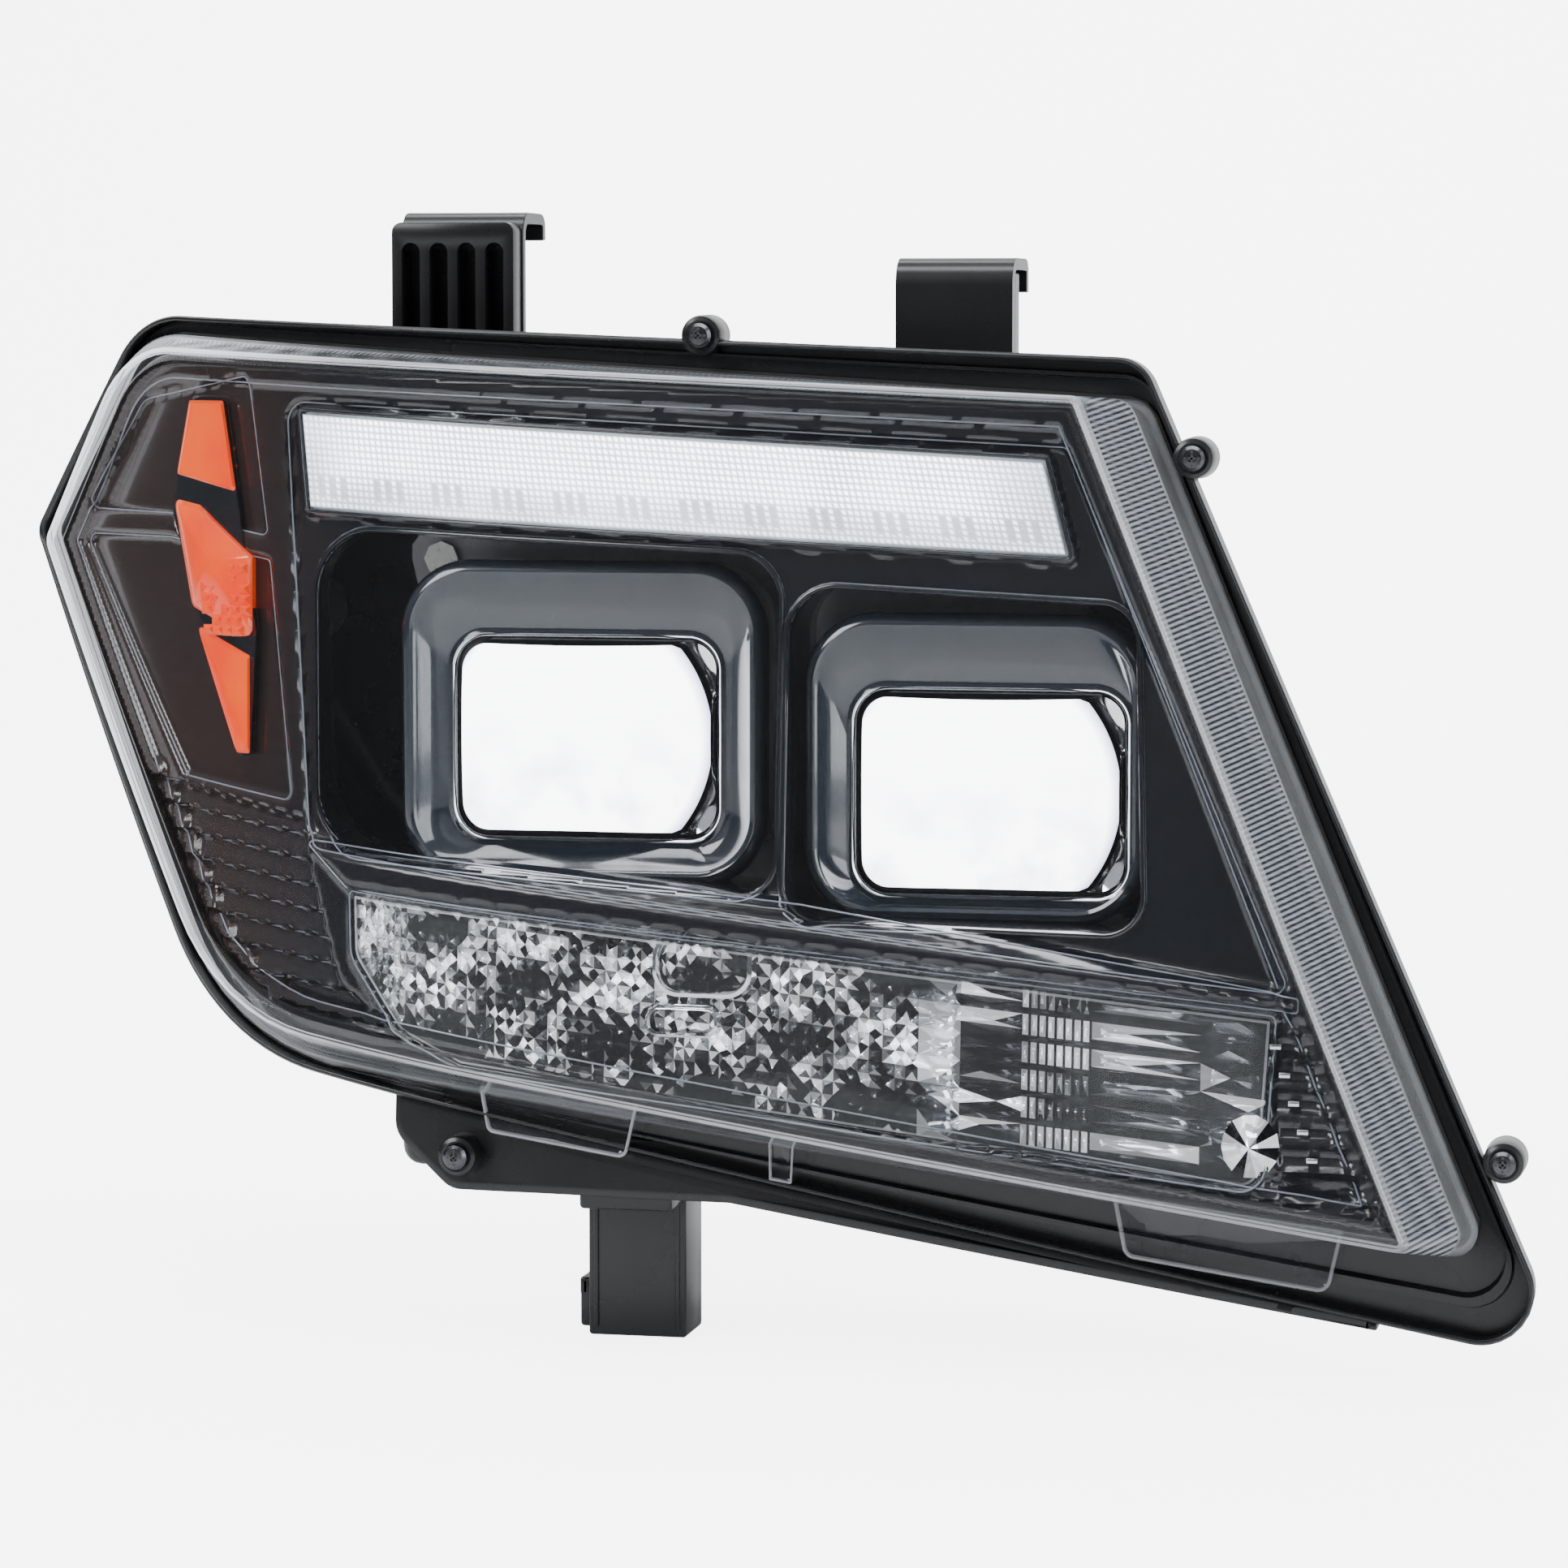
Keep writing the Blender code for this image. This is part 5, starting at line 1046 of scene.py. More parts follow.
def make_clear_tabs():
    clear_tab("lens_tab_outer", -0.0500, 0.0060, 0.0120)
    clear_tab("lens_tab_middle", 0.0520, 0.0610, 0.0110, 0.0008)
    clear_tab("lens_tab_inner", 0.1680, 0.2440, 0.0170)


# ---------------------------------------------------------------- bezel
def scalloped_outline():
    """The bezel's outline, with rounded louvre ends along its lower outboard side."""
    points = outline(grown(FACE, -0.0050), 24, [60, 60, 60, 60, 30])
    result = []
    for i, point in enumerate(points):
        along = (points[(i + 1) % len(points)] - points[i - 1]).normalized()
        inward = Vector((along.y, -along.x))
        step = (LOUVRE_TOP - point.y - LOUVRE_SLOPE * point.x) / LOUVRE_PITCH
        if point.x < -0.085 and 0.0 < step < 8.0:
            result.append(point + inward * 0.0026 * abs(math.cos(math.pi * step)) ** 3)
        else:
            result.append(point)
    return np.array([(p.x, p.y) for p in result])


def field(points, corners, width):
    """1 inside an outline, falling to 0 over a soft edge of the given width."""
    distance, _ = signed_distance(points, as_array(corners))
    return 1 - smooth(distance + width / 2, width)


def bezel_depth(outer):
    """Depth surface of the bezel with its sunk panels, ledge, louvres and ribs."""
    drl, turn = node_corners("drl_lens"), CRYSTAL

    def depth(x, z):
        points = np.stack([x, z], 1)
        deep = np.full(len(x), BEZEL_SET)
        edge_room = -signed_distance(points, outer)[0]
        deep -= BEZEL_EDGE_RISE * (1 - smooth(edge_room - 0.0045, 0.0025))
        for corners in (UPPER_PANEL, LOWER_PANEL):
            deep += PANEL_SINK * field(points, corners, 0.0026)
        deep += BAY_SINK * field(points, POD_BAY, 0.0030)
        deep -= LEDGE_RISE * field(points, LEDGE, 0.0050)
        louvres = field(points, LOUVRES, 0.0020)
        step = (LOUVRE_TOP - z - LOUVRE_SLOPE * x) / LOUVRE_PITCH
        phase = step - np.floor(step)
        saw = smooth(phase, 0.16) * (1 - 0.85 * smooth(phase - 0.16, 0.84))
        deep += louvres * (0.0010 + LOUVRE_DEPTH * saw)
        ribs = field(points, SIDE_RIBS, 0.0020)
        deep += ribs * SIDE_RIB_DEPTH * np.abs(np.sin(np.pi * z / SIDE_RIB_PITCH))
        for corners, lift, reach in ((drl, 0.0030, 0.0024), (turn, 0.0016, 0.0022)):
            distance, _ = signed_distance(points, as_array(corners))
            deep -= lift * (1 - smooth(np.abs(distance - reach / 2) - reach / 2, 0.0012))
        below_turn = np.clip(0.5 * (1 + np.tanh((0.100 - z - 0.13 * x) / 0.004)), 0, 1)
        deep += below_turn * 0.0012 * np.sin(np.pi * edge_room / 0.0032) ** 2 * (edge_room < 0.014)
        return lens_depth(x, z) + deep

    return depth


def node_corners(node, radius=0.0004):
    """The four front corners of a bar-like CAD node, clockwise from top left."""
    vertices = [v.co for v in frame["nodes"][node].data.vertices]
    corners = []
    for across, up in ((-1, 1), (1, 1), (1, -1), (-1, -1)):
        reach = max(across * v.x + up * v.z for v in vertices)
        best = min((v for v in vertices if across * v.x + up * v.z > reach - 0.0003), key=lambda v: v.y)
        corners.append((best.x, best.z, radius))
    return corners


def make_bezel():
    outer = scalloped_outline()
    holes = [as_array(c) for c in (LOW_RECESS, HIGH_RECESS)]
    holes += [as_array(grown(node_corners("drl_lens"), 0.0006), 2)]
    holes += [as_array(CRYSTAL), as_array(marker_outline())]
    pitch = BEZEL_PITCH * 1
    panel = sheet("bezel_panel", outer, holes, bezel_depth(outer), pitch, BEZEL_GLOSS)
    thicken(panel, BEZEL_WALL)
    settle(panel, "housing", ["bezel"])
    rings = [
        ring(FACE, behind(lens_depth, BEZEL_SET - 0.0010), -0.0052),
        ring(FACE, behind(lens_depth, BEZEL_SET - 0.0035), -0.0044),
        ring(FACE, behind(lens_depth, BEZEL_SET - 0.0028), -0.0036),
        ring(SKIRT, behind(rim_depth, -0.006), -0.0060, SKIRT),
        ring(SKIRT, behind(rim_depth, -0.001), -0.0060, SKIRT),
    ]
    rim = lofted("bezel_rim", rings, [BEZEL_GLOSS])
    thicken(rim, BEZEL_WALL)
    settle(rim, "housing")


def bead(name, spots, surface, closed=True):
    """Thin raised line along x, z points, laid on a depth surface, in a pale colour that paints in its
    highlight.
    """
    spots = list(spots) + ([spots[0], spots[1]] if closed else [])
    x, z = np.array([s.x for s in spots]), np.array([s.y for s in spots])
    path = [Vector(point) for point in zip(x, surface(x, z), z)]
    rings = []
    for i, point in enumerate(path):
        along = (path[min(i + 1, len(path) - 1)] - path[max(i - 1, 0)]).normalized()
        side = along.cross(Vector((0.0, 1.0, 0.0))).normalized()
        up = along.cross(side)
        angles = [2 * math.pi * s / BEAD_SIDES for s in range(BEAD_SIDES)]
        rings.append([point + (side * math.cos(a) + up * math.sin(a)) * BEAD_RADIUS for a in angles])
    return lofted(name, rings, [SEAM_PAINTED_HIGHLIGHT], True, True, None, 70)


def louvre_line(index, outer):
    """Points along one louvre crest, inside the louvre field and the bezel."""
    x = np.linspace(-0.195, -0.060, 90)
    z = LOUVRE_TOP - LOUVRE_PITCH * (index + 0.16) - LOUVRE_SLOPE * x
    points = np.stack([x, z], 1)
    inside = signed_distance(points, as_array(LOUVRES))[0] < 0
    inside &= signed_distance(points, outer)[0] < -0.003
    inside &= signed_distance(points, as_array(CRYSTAL))[0] > 0.002
    return [Vector(p) for p in points[inside]]


def make_bezel_beads():
    """Raised lines along the seams, openings and louvres of the bezel, coloured paler than the bezel as
    painted highlights.
    """
    outer = scalloped_outline()
    surface = bezel_depth(outer)
    loops = {
        "upper_panel": UPPER_PANEL,
        "lower_panel": LOWER_PANEL,
        "bay": POD_BAY,
        "ledge": LEDGE,
        "low_mouth": grown(LOW_RECESS, 0.0018),
        "high_mouth": grown(HIGH_RECESS, 0.0018),
        "drl": grown(node_corners("drl_lens"), 0.0016),
        "turn": grown(CRYSTAL, 0.0014),
        "edge": grown(FACE, -0.0105),
    }
    beads = [bead(name, outline(corners, 8, 40), surface) for name, corners in loops.items()]
    for i in range(LOUVRE_COUNT):
        line = louvre_line(i, outer)
        if len(line) > 3:
            beads.append(bead(f"louvre_{i}", line, surface, False))
    whole = merged("bezel_painted_highlight_lines", beads)
    face_outward(whole)
    settle(whole, "housing")


def recess_wall(name, corners):
    """Wall that runs back from a pod opening in the bezel and rounds over at its mouth."""
    surface = behind(lens_depth, BEZEL_SET + 0.0030)
    mouth = ring(corners, behind(surface, -0.0012), 0.0016, None, 10, 24)
    lip = ring(corners, behind(surface, 0.0006), 0.0, None, 10, 24)
    back = ring(corners, flat(RECESS_BACK_Y), RECESS_SPREAD, None, 10, 24)
    rings = [mouth, ring(corners, behind(surface, -0.0008), 0.0004, None, 10, 24), lip]
    rings += [blended(lip, back, share ** 1.4, share) for share in (0.25, 0.5, 0.75, 1.0)]
    wall = lofted(name, rings, [RECESS_BLACK])
    flip(wall)
    thicken(wall, RECESS_WALL)
    settle(wall, "housing")


def opening_wall(name, corners, near, far):
    """Short wall behind a trim opening."""
    rings = [ring(corners, behind(lens_depth, d), 0.0002, None, 4, 16) for d in (near, far)]
    wall = lofted(name, rings, [RECESS_BLACK])
    flip(wall)
    thicken(wall, 0.0010)
    settle(wall, "housing")


# ---------------------------------------------------------------- lamps in the bezel
def bar_grid(corners, columns, rows, depth):
    """Grid of points over four corners; depth takes the shares across and down."""
    top_left, top_right, bottom_right, bottom_left = [Vector(c[:2]) for c in corners]
    vertices = []
    for i in range(columns + 1):
        for j in range(rows + 1):
            across, down = i / columns, j / rows
            top = top_left.lerp(top_right, across)
            bottom = bottom_left.lerp(bottom_right, across)
            spot = top.lerp(bottom, down)
            y = float(lens_depth(spot.x, spot.y)) + depth(across, down)
            vertices.append((spot.x, y, spot.y))
    faces = []
    for i in range(columns):
        for j in range(rows):
            a = i * (rows + 1) + j
            faces.append((a, a + 1, a + rows + 2, a + rows + 1))
    return vertices, faces


def drl_shade(column, row, columns, rows):
    """How dim a point of the light guide is: grid lines, low rows and slits under the cells."""
    down = row / rows
    line = 1.0 if column % 3 == 0 or row % 3 == 0 else 0.0
    across_share = column / columns
    low = float(smooth(down - 0.45, 0.45))
    edge = 1.0 - float(smooth(across_share, 0.10)) * float(smooth(1.0 - across_share, 0.12))
    cell = (across_share * DRL_CELLS) % 1.0
    slit = 0.98 if 0.66 < down < 0.90 and 0.20 < cell < 0.80 and column % 6 < 3 else 0.0
    return max(line * min(1.0, 0.84 + 0.12 * low + 0.14 * edge), 0.55 * low, 0.62 * edge, slit)


def make_drl():
    across_cells, tall_cells = 120, 14
    columns, rows = across_cells * 3, tall_cells * 3

    def pillow(across_share, down):
        waves = math.sin(math.pi * across_share * across_cells) * math.sin(math.pi * down * tall_cells)
        return TRIM_LENS_SET + 0.0016 - 0.0005 * abs(waves)

    corners = grown(node_corners("drl_lens"), -0.0003)
    vertices, faces = bar_grid(corners, columns, rows, pillow)
    optic = new_piece("drl_optic", vertices, faces, [DRL_LIT], 60)
    tones = [drl_shade(i, j, columns, rows) for i in range(columns + 1) for j in range(rows + 1)]
    optic.data.attributes.new("tone", "FLOAT", "POINT").data.foreach_set("value", tones)
    thicken(optic, 0.0022)
    settle(optic, "housing", ["drl_lens"])


def crystal_cells():
    """Facet cells of the turn lamp: place, width and height in shares, rise, and painted reflection tones to
    pick from.
    """
    cells = []
    rows = 12
    for j in range(rows):
        for i in range(8):
            cells.append((i * 0.0072, j / rows, 0.0072, 1 / rows, 0.0012, (1.0, 0.85, 0.7, 0.4)))
    cursor = 0.0576
    while cursor < 0.62:
        width = random.uniform(0.010, 0.016)
        for j in range(rows):
            spread = (0.08, 0.3, 0.55, 0.75, 0.95, 1.0) if j < 8 else (0.03, 0.15, 0.3, 0.6, 0.95)
            cells.append((cursor, j / rows, width, 1 / rows, 0.0020, spread))
        cursor += width
    rows = 6
    for j in range(rows):
        cells.append((cursor, j / rows, 0.045, 1 / rows, 0.0030, (0.85, 0.95, 0.7)))
        cells.append((cursor + 0.045, j / rows, 0.065, 0.55 / rows, 0.0020, (0.3, 0.95, 0.1)))
        cells.append((cursor + 0.045, (j + 0.55) / rows, 0.065, 0.45 / rows, 0.0020, (0.05, 0.15)))
        for k in range(8):
            place_x = cursor + 0.11 + k * 0.009
            cells.append((place_x, j / rows, 0.0062, 0.75 / rows, 0.0018, (0.95, 0.85)))
            cells.append((place_x + 0.0062, j / rows, 0.0028, 0.75 / rows, 0.0006, (0.02,)))
        cells.append((cursor + 0.11, (j + 0.75) / rows, 0.072, 0.25 / rows, 0.0008, (0.05, 0.2)))
        rest = 1.0 - (cursor + 0.182)
        cells.append((cursor + 0.182, j / rows, rest * 0.6, 0.62 / rows, 0.0028, (0.9, 0.7, 0.3)))
        cells.append((cursor + 0.182, (j + 0.62) / rows, rest * 0.6, 0.38 / rows, 0.001, (0.04, 0.1)))
        cells.append((cursor + 0.182 + rest * 0.6, j / rows, rest * 0.4, 1 / rows, 0.0022, (0.5, 0.15, 0.8)))
    return cells


def make_crystal():
    """Chrome reflector broken into small pyramids, each facet with its own painted reflection tone."""
    top_left, top_right, bottom_right = CRYSTAL[0], CRYSTAL[1], CRYSTAL[2]
    polygon = as_array(grown(CRYSTAL, 0.0012))

    def spot(across, down):
        x = top_left[0] + (top_right[0] - top_left[0]) * across
        top = top_left[1] + (top_right[1] - top_left[1]) * across
        bottom = 0.0985 + (bottom_right[1] - 0.0985) * across
        z = top + (bottom - top) * down
        return x, z

    vertices, faces, tones = [], [], []
    for across, down, width, height, rise, spread in crystal_cells():
        right, low = across + width, down + height
        corners = [(across, down), (right, down), (right, low), (across, low)]
        apex = (across + width * random.uniform(0.3, 0.7), down + height * random.uniform(0.3, 0.7))
        start = len(vertices)
        for i, (u, v) in enumerate(corners + [apex]):
            x, z = spot(u, v)
            deep = CRYSTAL_SET + CRYSTAL_WAVE * math.sin(5 * u * math.pi)
            if i == 4:
                deep -= rise
            vertices.append((x, float(lens_depth(x, z)) + deep, z))
        for i in range(4):
            faces.append((start + i, start + 4, start + (i + 1) % 4))
            # painted reflections: brighter and darker patches across the facets
            patch = 0.80 + 0.35 * math.sin(31.0 * across + 2.0) * math.sin(9.0 * down + 7.0 * across)
            tones.append(random.choice(spread) * random.uniform(0.85, 1.05) * patch)
    piece = new_piece("turn_crystal", vertices, faces, [CRYSTAL_PAINTED_REFLECTIONS], 1)
    attribute = piece.data.attributes.new("tone", "FLOAT", "FACE")
    attribute.data.foreach_set("value", [min(1.0, t) for t in tones])

    def trim_outside(bm):
        spots = np.array([(v.co.x, v.co.z) for v in bm.verts])
        far = signed_distance(spots, polygon)[0] > 0.004
        outside = [v for v, is_far in zip(bm.verts, far) if is_far]
        bmesh.ops.delete(bm, geom=outside, context="VERTS")
        bmesh.ops.recalc_face_normals(bm, faces=bm.faces)

    edited(piece, trim_outside)
    thicken(piece, 0.0010)
    settle(piece, "housing", ["turn_reflector"])
    lens_rings = [
        ring(CRYSTAL, behind(lens_depth, TRIM_LENS_SET + 0.0006), -0.0012, None, 6, 20),
        ring(CRYSTAL, behind(lens_depth, TRIM_LENS_SET + 0.0012), -0.0004, None, 6, 20),
        ring(CRYSTAL, behind(lens_depth, TRIM_LENS_SET + 0.0036), -0.0004, None, 6, 20),
    ]
    trim = lofted("turn_cover", lens_rings, [CLEAR_TRIM, CLEAR_EDGE], True, True, [1, 1])
    trim.data.polygons[-1].material_index = 0
    trim.data.polygons[-2].material_index = 0
    settle(trim, "housing", ["turn_lens"])


def make_turn_details():
    """Dark bulb shade in a chrome frame, round corner button with painted reflection tones on its facets,
    and the row of light pins.
    """
    shades = {
        "upper": (0.0308, 0.1320, 0.0150, 0.0085, 0.0022),
        "lower": (0.0240, 0.1130, 0.0110, 0.0036, 0.0014),
    }
    for name, (x, z, half_x, half_z, grow) in shades.items():
        corners = rectangle(x - half_x, x + half_x, z - half_z, z + half_z, half_z * 0.8)
        surface = behind(lens_depth, TRIM_LENS_SET + 0.0030)
        frame_rings = [
            ring(corners, behind(surface, 0.0030), grow + 0.0010),
            ring(corners, surface, grow),
            ring(corners, behind(surface, -0.0006), grow * 0.4),
            ring(corners, behind(surface, 0.0010), 0.0),
            ring(corners, behind(surface, 0.0060), -0.0012),
        ]
        shade = lofted("turn_shade_" + name, frame_rings, [CHROME, RECESS_BLACK], False, True, [0, 0, 0, 1])
        settle(shade, "housing")
    x, z = 0.2150, 0.0800
    y = float(lens_depth(x, z)) + TRIM_LENS_SET - 0.0004
    vertices, faces, tones = [(x, y - 0.0012, z)], [], []
    spokes = 14
    for i in range(spokes):
        angle = 2 * math.pi * i / spokes
        deep = y + 0.0030 + 0.0006 * (i % 2)
        vertices.append((x + 0.0085 * math.cos(angle), deep, z + 0.0095 * math.sin(angle)))
    for i in range(spokes):
        faces.append((0, 1 + (i + 1) % spokes, 1 + i))
        # painted reflection tone of each facet
        tones.append((0.95, 0.25, 0.7, 0.85)[i % 4])
    button = new_piece("turn_button", vertices, faces, [CRYSTAL_PAINTED_REFLECTIONS], 1)
    button.data.attributes.new("tone", "FLOAT", "FACE").data.foreach_set("value", tones)
    thicken(button, 0.002)
    settle(button, "housing")
    pins = []
    for i in range(5):
        px, pz = 0.2222 + 0.0031 * i, 0.1120 - 0.0090 * i
        py = float(lens_depth(px, pz)) + BEZEL_SET - 0.0005
        low = (px - 0.0016, py - 0.0012, pz - 0.0009)
        high = (px + 0.0022, py + 0.004, pz + 0.0009)
        pins.append(rounded_block(f"pin_{i}", low, high, 0.0004, CHROME))
    settle(merged("turn_pins", pins), "housing")


def marker_outline():
    return [
        (-0.1702, 0.3165, 0.0015),
        (-0.1542, 0.3165, 0.0015),
        (-0.1377, 0.2370, 0.0040),
        (-0.1390, 0.1950, 0.0010),
        (-0.1453, 0.1950, 0.0010),
        (-0.1767, 0.2772, 0.0040),
    ]


def make_marker():
    """Amber marker in three blocks: flat top, bulged middle and tapering foot."""
    blocks = {
        "top": [
            (-0.1700, 0.3162, 0.001), (-0.1545, 0.3162, 0.001), (-0.1478, 0.2850, 0.001),
            (-0.1750, 0.2905, 0.001),
        ],
        "middle": [
            (-0.1762, 0.2820, 0.002), (-0.1640, 0.2800, 0.001), (-0.1400, 0.2630, 0.001),
            (-0.1392, 0.2340, 0.003), (-0.1665, 0.2450, 0.003),
        ],
        "foot": [
            (-0.1640, 0.2385, 0.001), (-0.1403, 0.2290, 0.001), (-0.1393, 0.1955, 0.001),
            (-0.1450, 0.1955, 0.001),
        ],
    }
    bulge = {"top": 0.0006, "middle": 0.0046, "foot": 0.0010}
    pieces = []
    for name, corners in blocks.items():
        points = outline(corners, 4, 10)
        centre = sum(points, Vector((0.0, 0.0))) / len(points)
        rings = []
        for share in (0.03, 0.25, 0.5, 0.75, 0.93, 1.0):
            lift = bulge[name] * (1 - share**2)
            edge = 0.0012 * max(0.0, share - 0.93) / 0.07
            spots = [centre.lerp(p, share) for p in points]
            rings.append(laid(spots, behind(lens_depth, TRIM_LENS_SET + 0.0008 - lift + edge)))
        rings.append(shifted(rings[-1], 0.0040))
        pieces.append(lofted(f"marker_{name}", rings, [MARKER_AMBER], True, True, None, 30))
    vertices, faces = [], []
    for i in range(5):
        for j in range(7):
            cx, cz = -0.1600 + 0.0042 * i + 0.0005 * j, 0.2590 - 0.0036 * j
            if cx > -0.1412 or (i + j) % 5 == 0:
                continue
            base = len(vertices)
            y = float(lens_depth(cx, cz)) + TRIM_LENS_SET - 0.0026
            for across, up in ((-1, -1), (1, -1), (1, 1), (-1, 1)):
                vertices.append((cx + 0.0021 * across, y + 0.0012, cz + 0.0018 * up))
            vertices.append((cx + 0.0005, y - 0.0008, cz + 0.0004))
            for k in range(4):
                faces.append((base + k, base + (k + 1) % 4, base + 4))
            faces.append((base + 3, base + 2, base + 1, base))
    pieces.append(new_piece("marker_crystals", vertices, faces, [MARKER_AMBER], 1))
    settle(merged("marker_amber", pieces), "housing", ["marker_lens"])
    backing = [
        ring(marker_outline(), behind(lens_depth, TRIM_LENS_SET + 0.0022), -0.0001, None, 4, 8),
        ring(marker_outline(), behind(lens_depth, TRIM_LENS_SET + 0.0060), -0.0001, None, 4, 8),
    ]
    bridge = lofted("marker_bridge", backing, [RECESS_BLACK], True, True)
    settle(bridge, "housing")


# ---------------------------------------------------------------- projectors
def window_outline(prefix, grow=0.0):
    """Rounded window of a projector, from its CAD lens."""
    low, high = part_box(prefix + "_projector_lens")
    return grown(rectangle(low.x, high.x, low.z, high.z, WINDOW_RADIUS), grow)


def window_plane(prefix):
    """Depth of the window plane: the CAD lens plate's front."""
    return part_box(prefix + "_projector_lens")[1].y - 0.0045


def make_shroud(prefix):
    """Gloss frame round a projector: chrome-edged window, sloped front and side walls."""
    low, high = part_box(prefix + "_shroud")
    y = window_plane(prefix)
    outer = rectangle(low.x, high.x, low.z, high.z, SHROUD_RADIUS)
    steps = (14, 10)

    def row(corners, depth, grow=0.0):
        return ring(corners, flat(depth), grow, None, *steps)

    window = window_outline(prefix)
    sill = row(window, y - 0.0035, 0.0042)
    front = row(outer, y - 0.0110, -0.0050)
    rings = [
        row(window, y + 0.0020, 0.0007),
        row(window, y - 0.0020, 0.0007),
        row(window, y - 0.0034, 0.0012),
        row(window, y - 0.0040, 0.0022),
        row(window, y - 0.0036, 0.0034),
        sill,
        blended(sill, front, 0.45, 0.35),
        blended(sill, front, 0.92, 0.88),
        front,
        row(outer, y - 0.0116, -0.0038),
        row(outer, y - 0.0112, -0.0022),
        row(outer, y - 0.0096, -0.0008),
        row(outer, y - 0.0070, 0.0),
        row(outer, y + 0.0050, 0.0),
        row(outer, y + 0.0175, -0.0010),
    ]
    bands = [1, 1, 1, 0, 0, 0, 0, 0, 0, 0, 0, 0, 0, 0]
    shroud = lofted(prefix + "_shroud_gloss", rings, [SHROUD_BLACK, CHROME], False, False, bands, 40)
    thicken(shroud, SHROUD_WALL)
    settle(shroud, "carrier", [prefix + "_shroud"])


def make_projector_optic(prefix):
    """Round lit lens cropped by the window, in a stepped chrome frame."""
    centre = middle(prefix + "_projector_lens")
    y = window_plane(prefix)
    window = ring(window_outline(prefix, -0.0004), flat(y), 0.0, None, 14, 16)
    hub = Vector((centre.x - OPTIC_OFFSET, centre.z))

    def cropped(radius, deep):
        points = []
        for point in window:
            direction = Vector((point.x, point.z)) - hub
            reach = min(radius, direction.length - 0.0012)
            spot = hub + direction.normalized() * reach
            rise = OPTIC_DOME * math.sqrt(max(0.0, 1 - (reach / OPTIC_SPHERE) ** 2))
            points.append(Vector((spot.x, deep - rise, spot.y)))
        return points

    dome_rows = [OPTIC_RADIUS * share for share in (0.02, 0.2, 0.4, 0.6, 0.75, 0.87, 0.95, 1.0)]
    rings = [cropped(radius, y) for radius in dome_rows]
    frame_steps = ((0.0003, 0.0030), (0.0010, 0.0030), (0.0013, 0.0014), (0.0026, 0.0014))
    for grow, deep in frame_steps:
        rings.append(shifted(cropped(OPTIC_RADIUS + grow, y), deep))
    rings.append(shifted(window, 0.0004))
    rings.append(shifted(window, 0.0044))
    lit = lit_lens(prefix + "_lit_lens", (hub.x, y, hub.y), OPTIC_STRENGTH)
    bands = [0] * 7 + [1, 2, 1, 1, 2, 1]
    optic = lofted(prefix + "_projector_optic", rings, [lit, RECESS_BLACK, CHROME], True, True, bands, 40)
    settle(optic, "carrier", [prefix + "_projector_lens"])


# ---------------------------------------------------------------- housing
def flange_rings():
    """Flange from its front lip, over a ridge on its floor, to the seal's inner edge."""
    steps = {"arc_steps": 14, "edge_steps": 30}
    lip_front = behind(rim_depth, -LIP_HEIGHT)
    floor = behind(rim_depth, FLOOR_SET)
    outer = ring(FLANGE, floor, 0.0, SKIRT, **steps)
    inner = ring(SKIRT, floor, 0.0015, SKIRT, **steps)

    def step(share, rise):
        row = []
        for a, b in zip(outer, inner):
            room = min(1.0, (a - b).length / RIDGE_ROOM)
            row.append(a.lerp(b, share) - Vector((0.0, rise * room, 0.0)))
        return row

    return [
        ring(FLANGE, lip_front, 0.0004, SKIRT, **steps),
        ring(FLANGE, behind(rim_depth, -LIP_HEIGHT + 0.0006), -0.0003, SKIRT, **steps),
        outer,
        step(0.36, 0.0),
        step(0.40, RIDGE_RISE),
        step(0.52, RIDGE_RISE),
        step(0.56, 0.0),
        inner,
        ring(SKIRT, floor, -0.0045, SKIRT, **steps),
    ]


def housing_shell():
    steps = {"arc_steps": 14, "edge_steps": 30}
    rings = flange_rings()
    floor_inner = rings[-1]
    back_edge = ring(BACK, flat(0.104), 0.0, None, **steps)
    for across, deep in ((0.30, 0.06), (0.60, 0.16), (0.85, 0.35), (0.95, 0.62)):
        rings.append(blended(floor_inner, back_edge, across, deep))
    rings += [
        back_edge,
        ring(BACK, flat(0.1085), -0.0015, None, **steps),
        ring(BACK, flat(0.1120), -0.0045, None, **steps),
        ring(BACK, flat(0.1130), -0.0090, None, **steps),
    ]
    shell = lofted("shell", rings, [HOUSING_BLACK], False, True, None, 40)
    return thicken(shell, SHELL_WALL, 1)


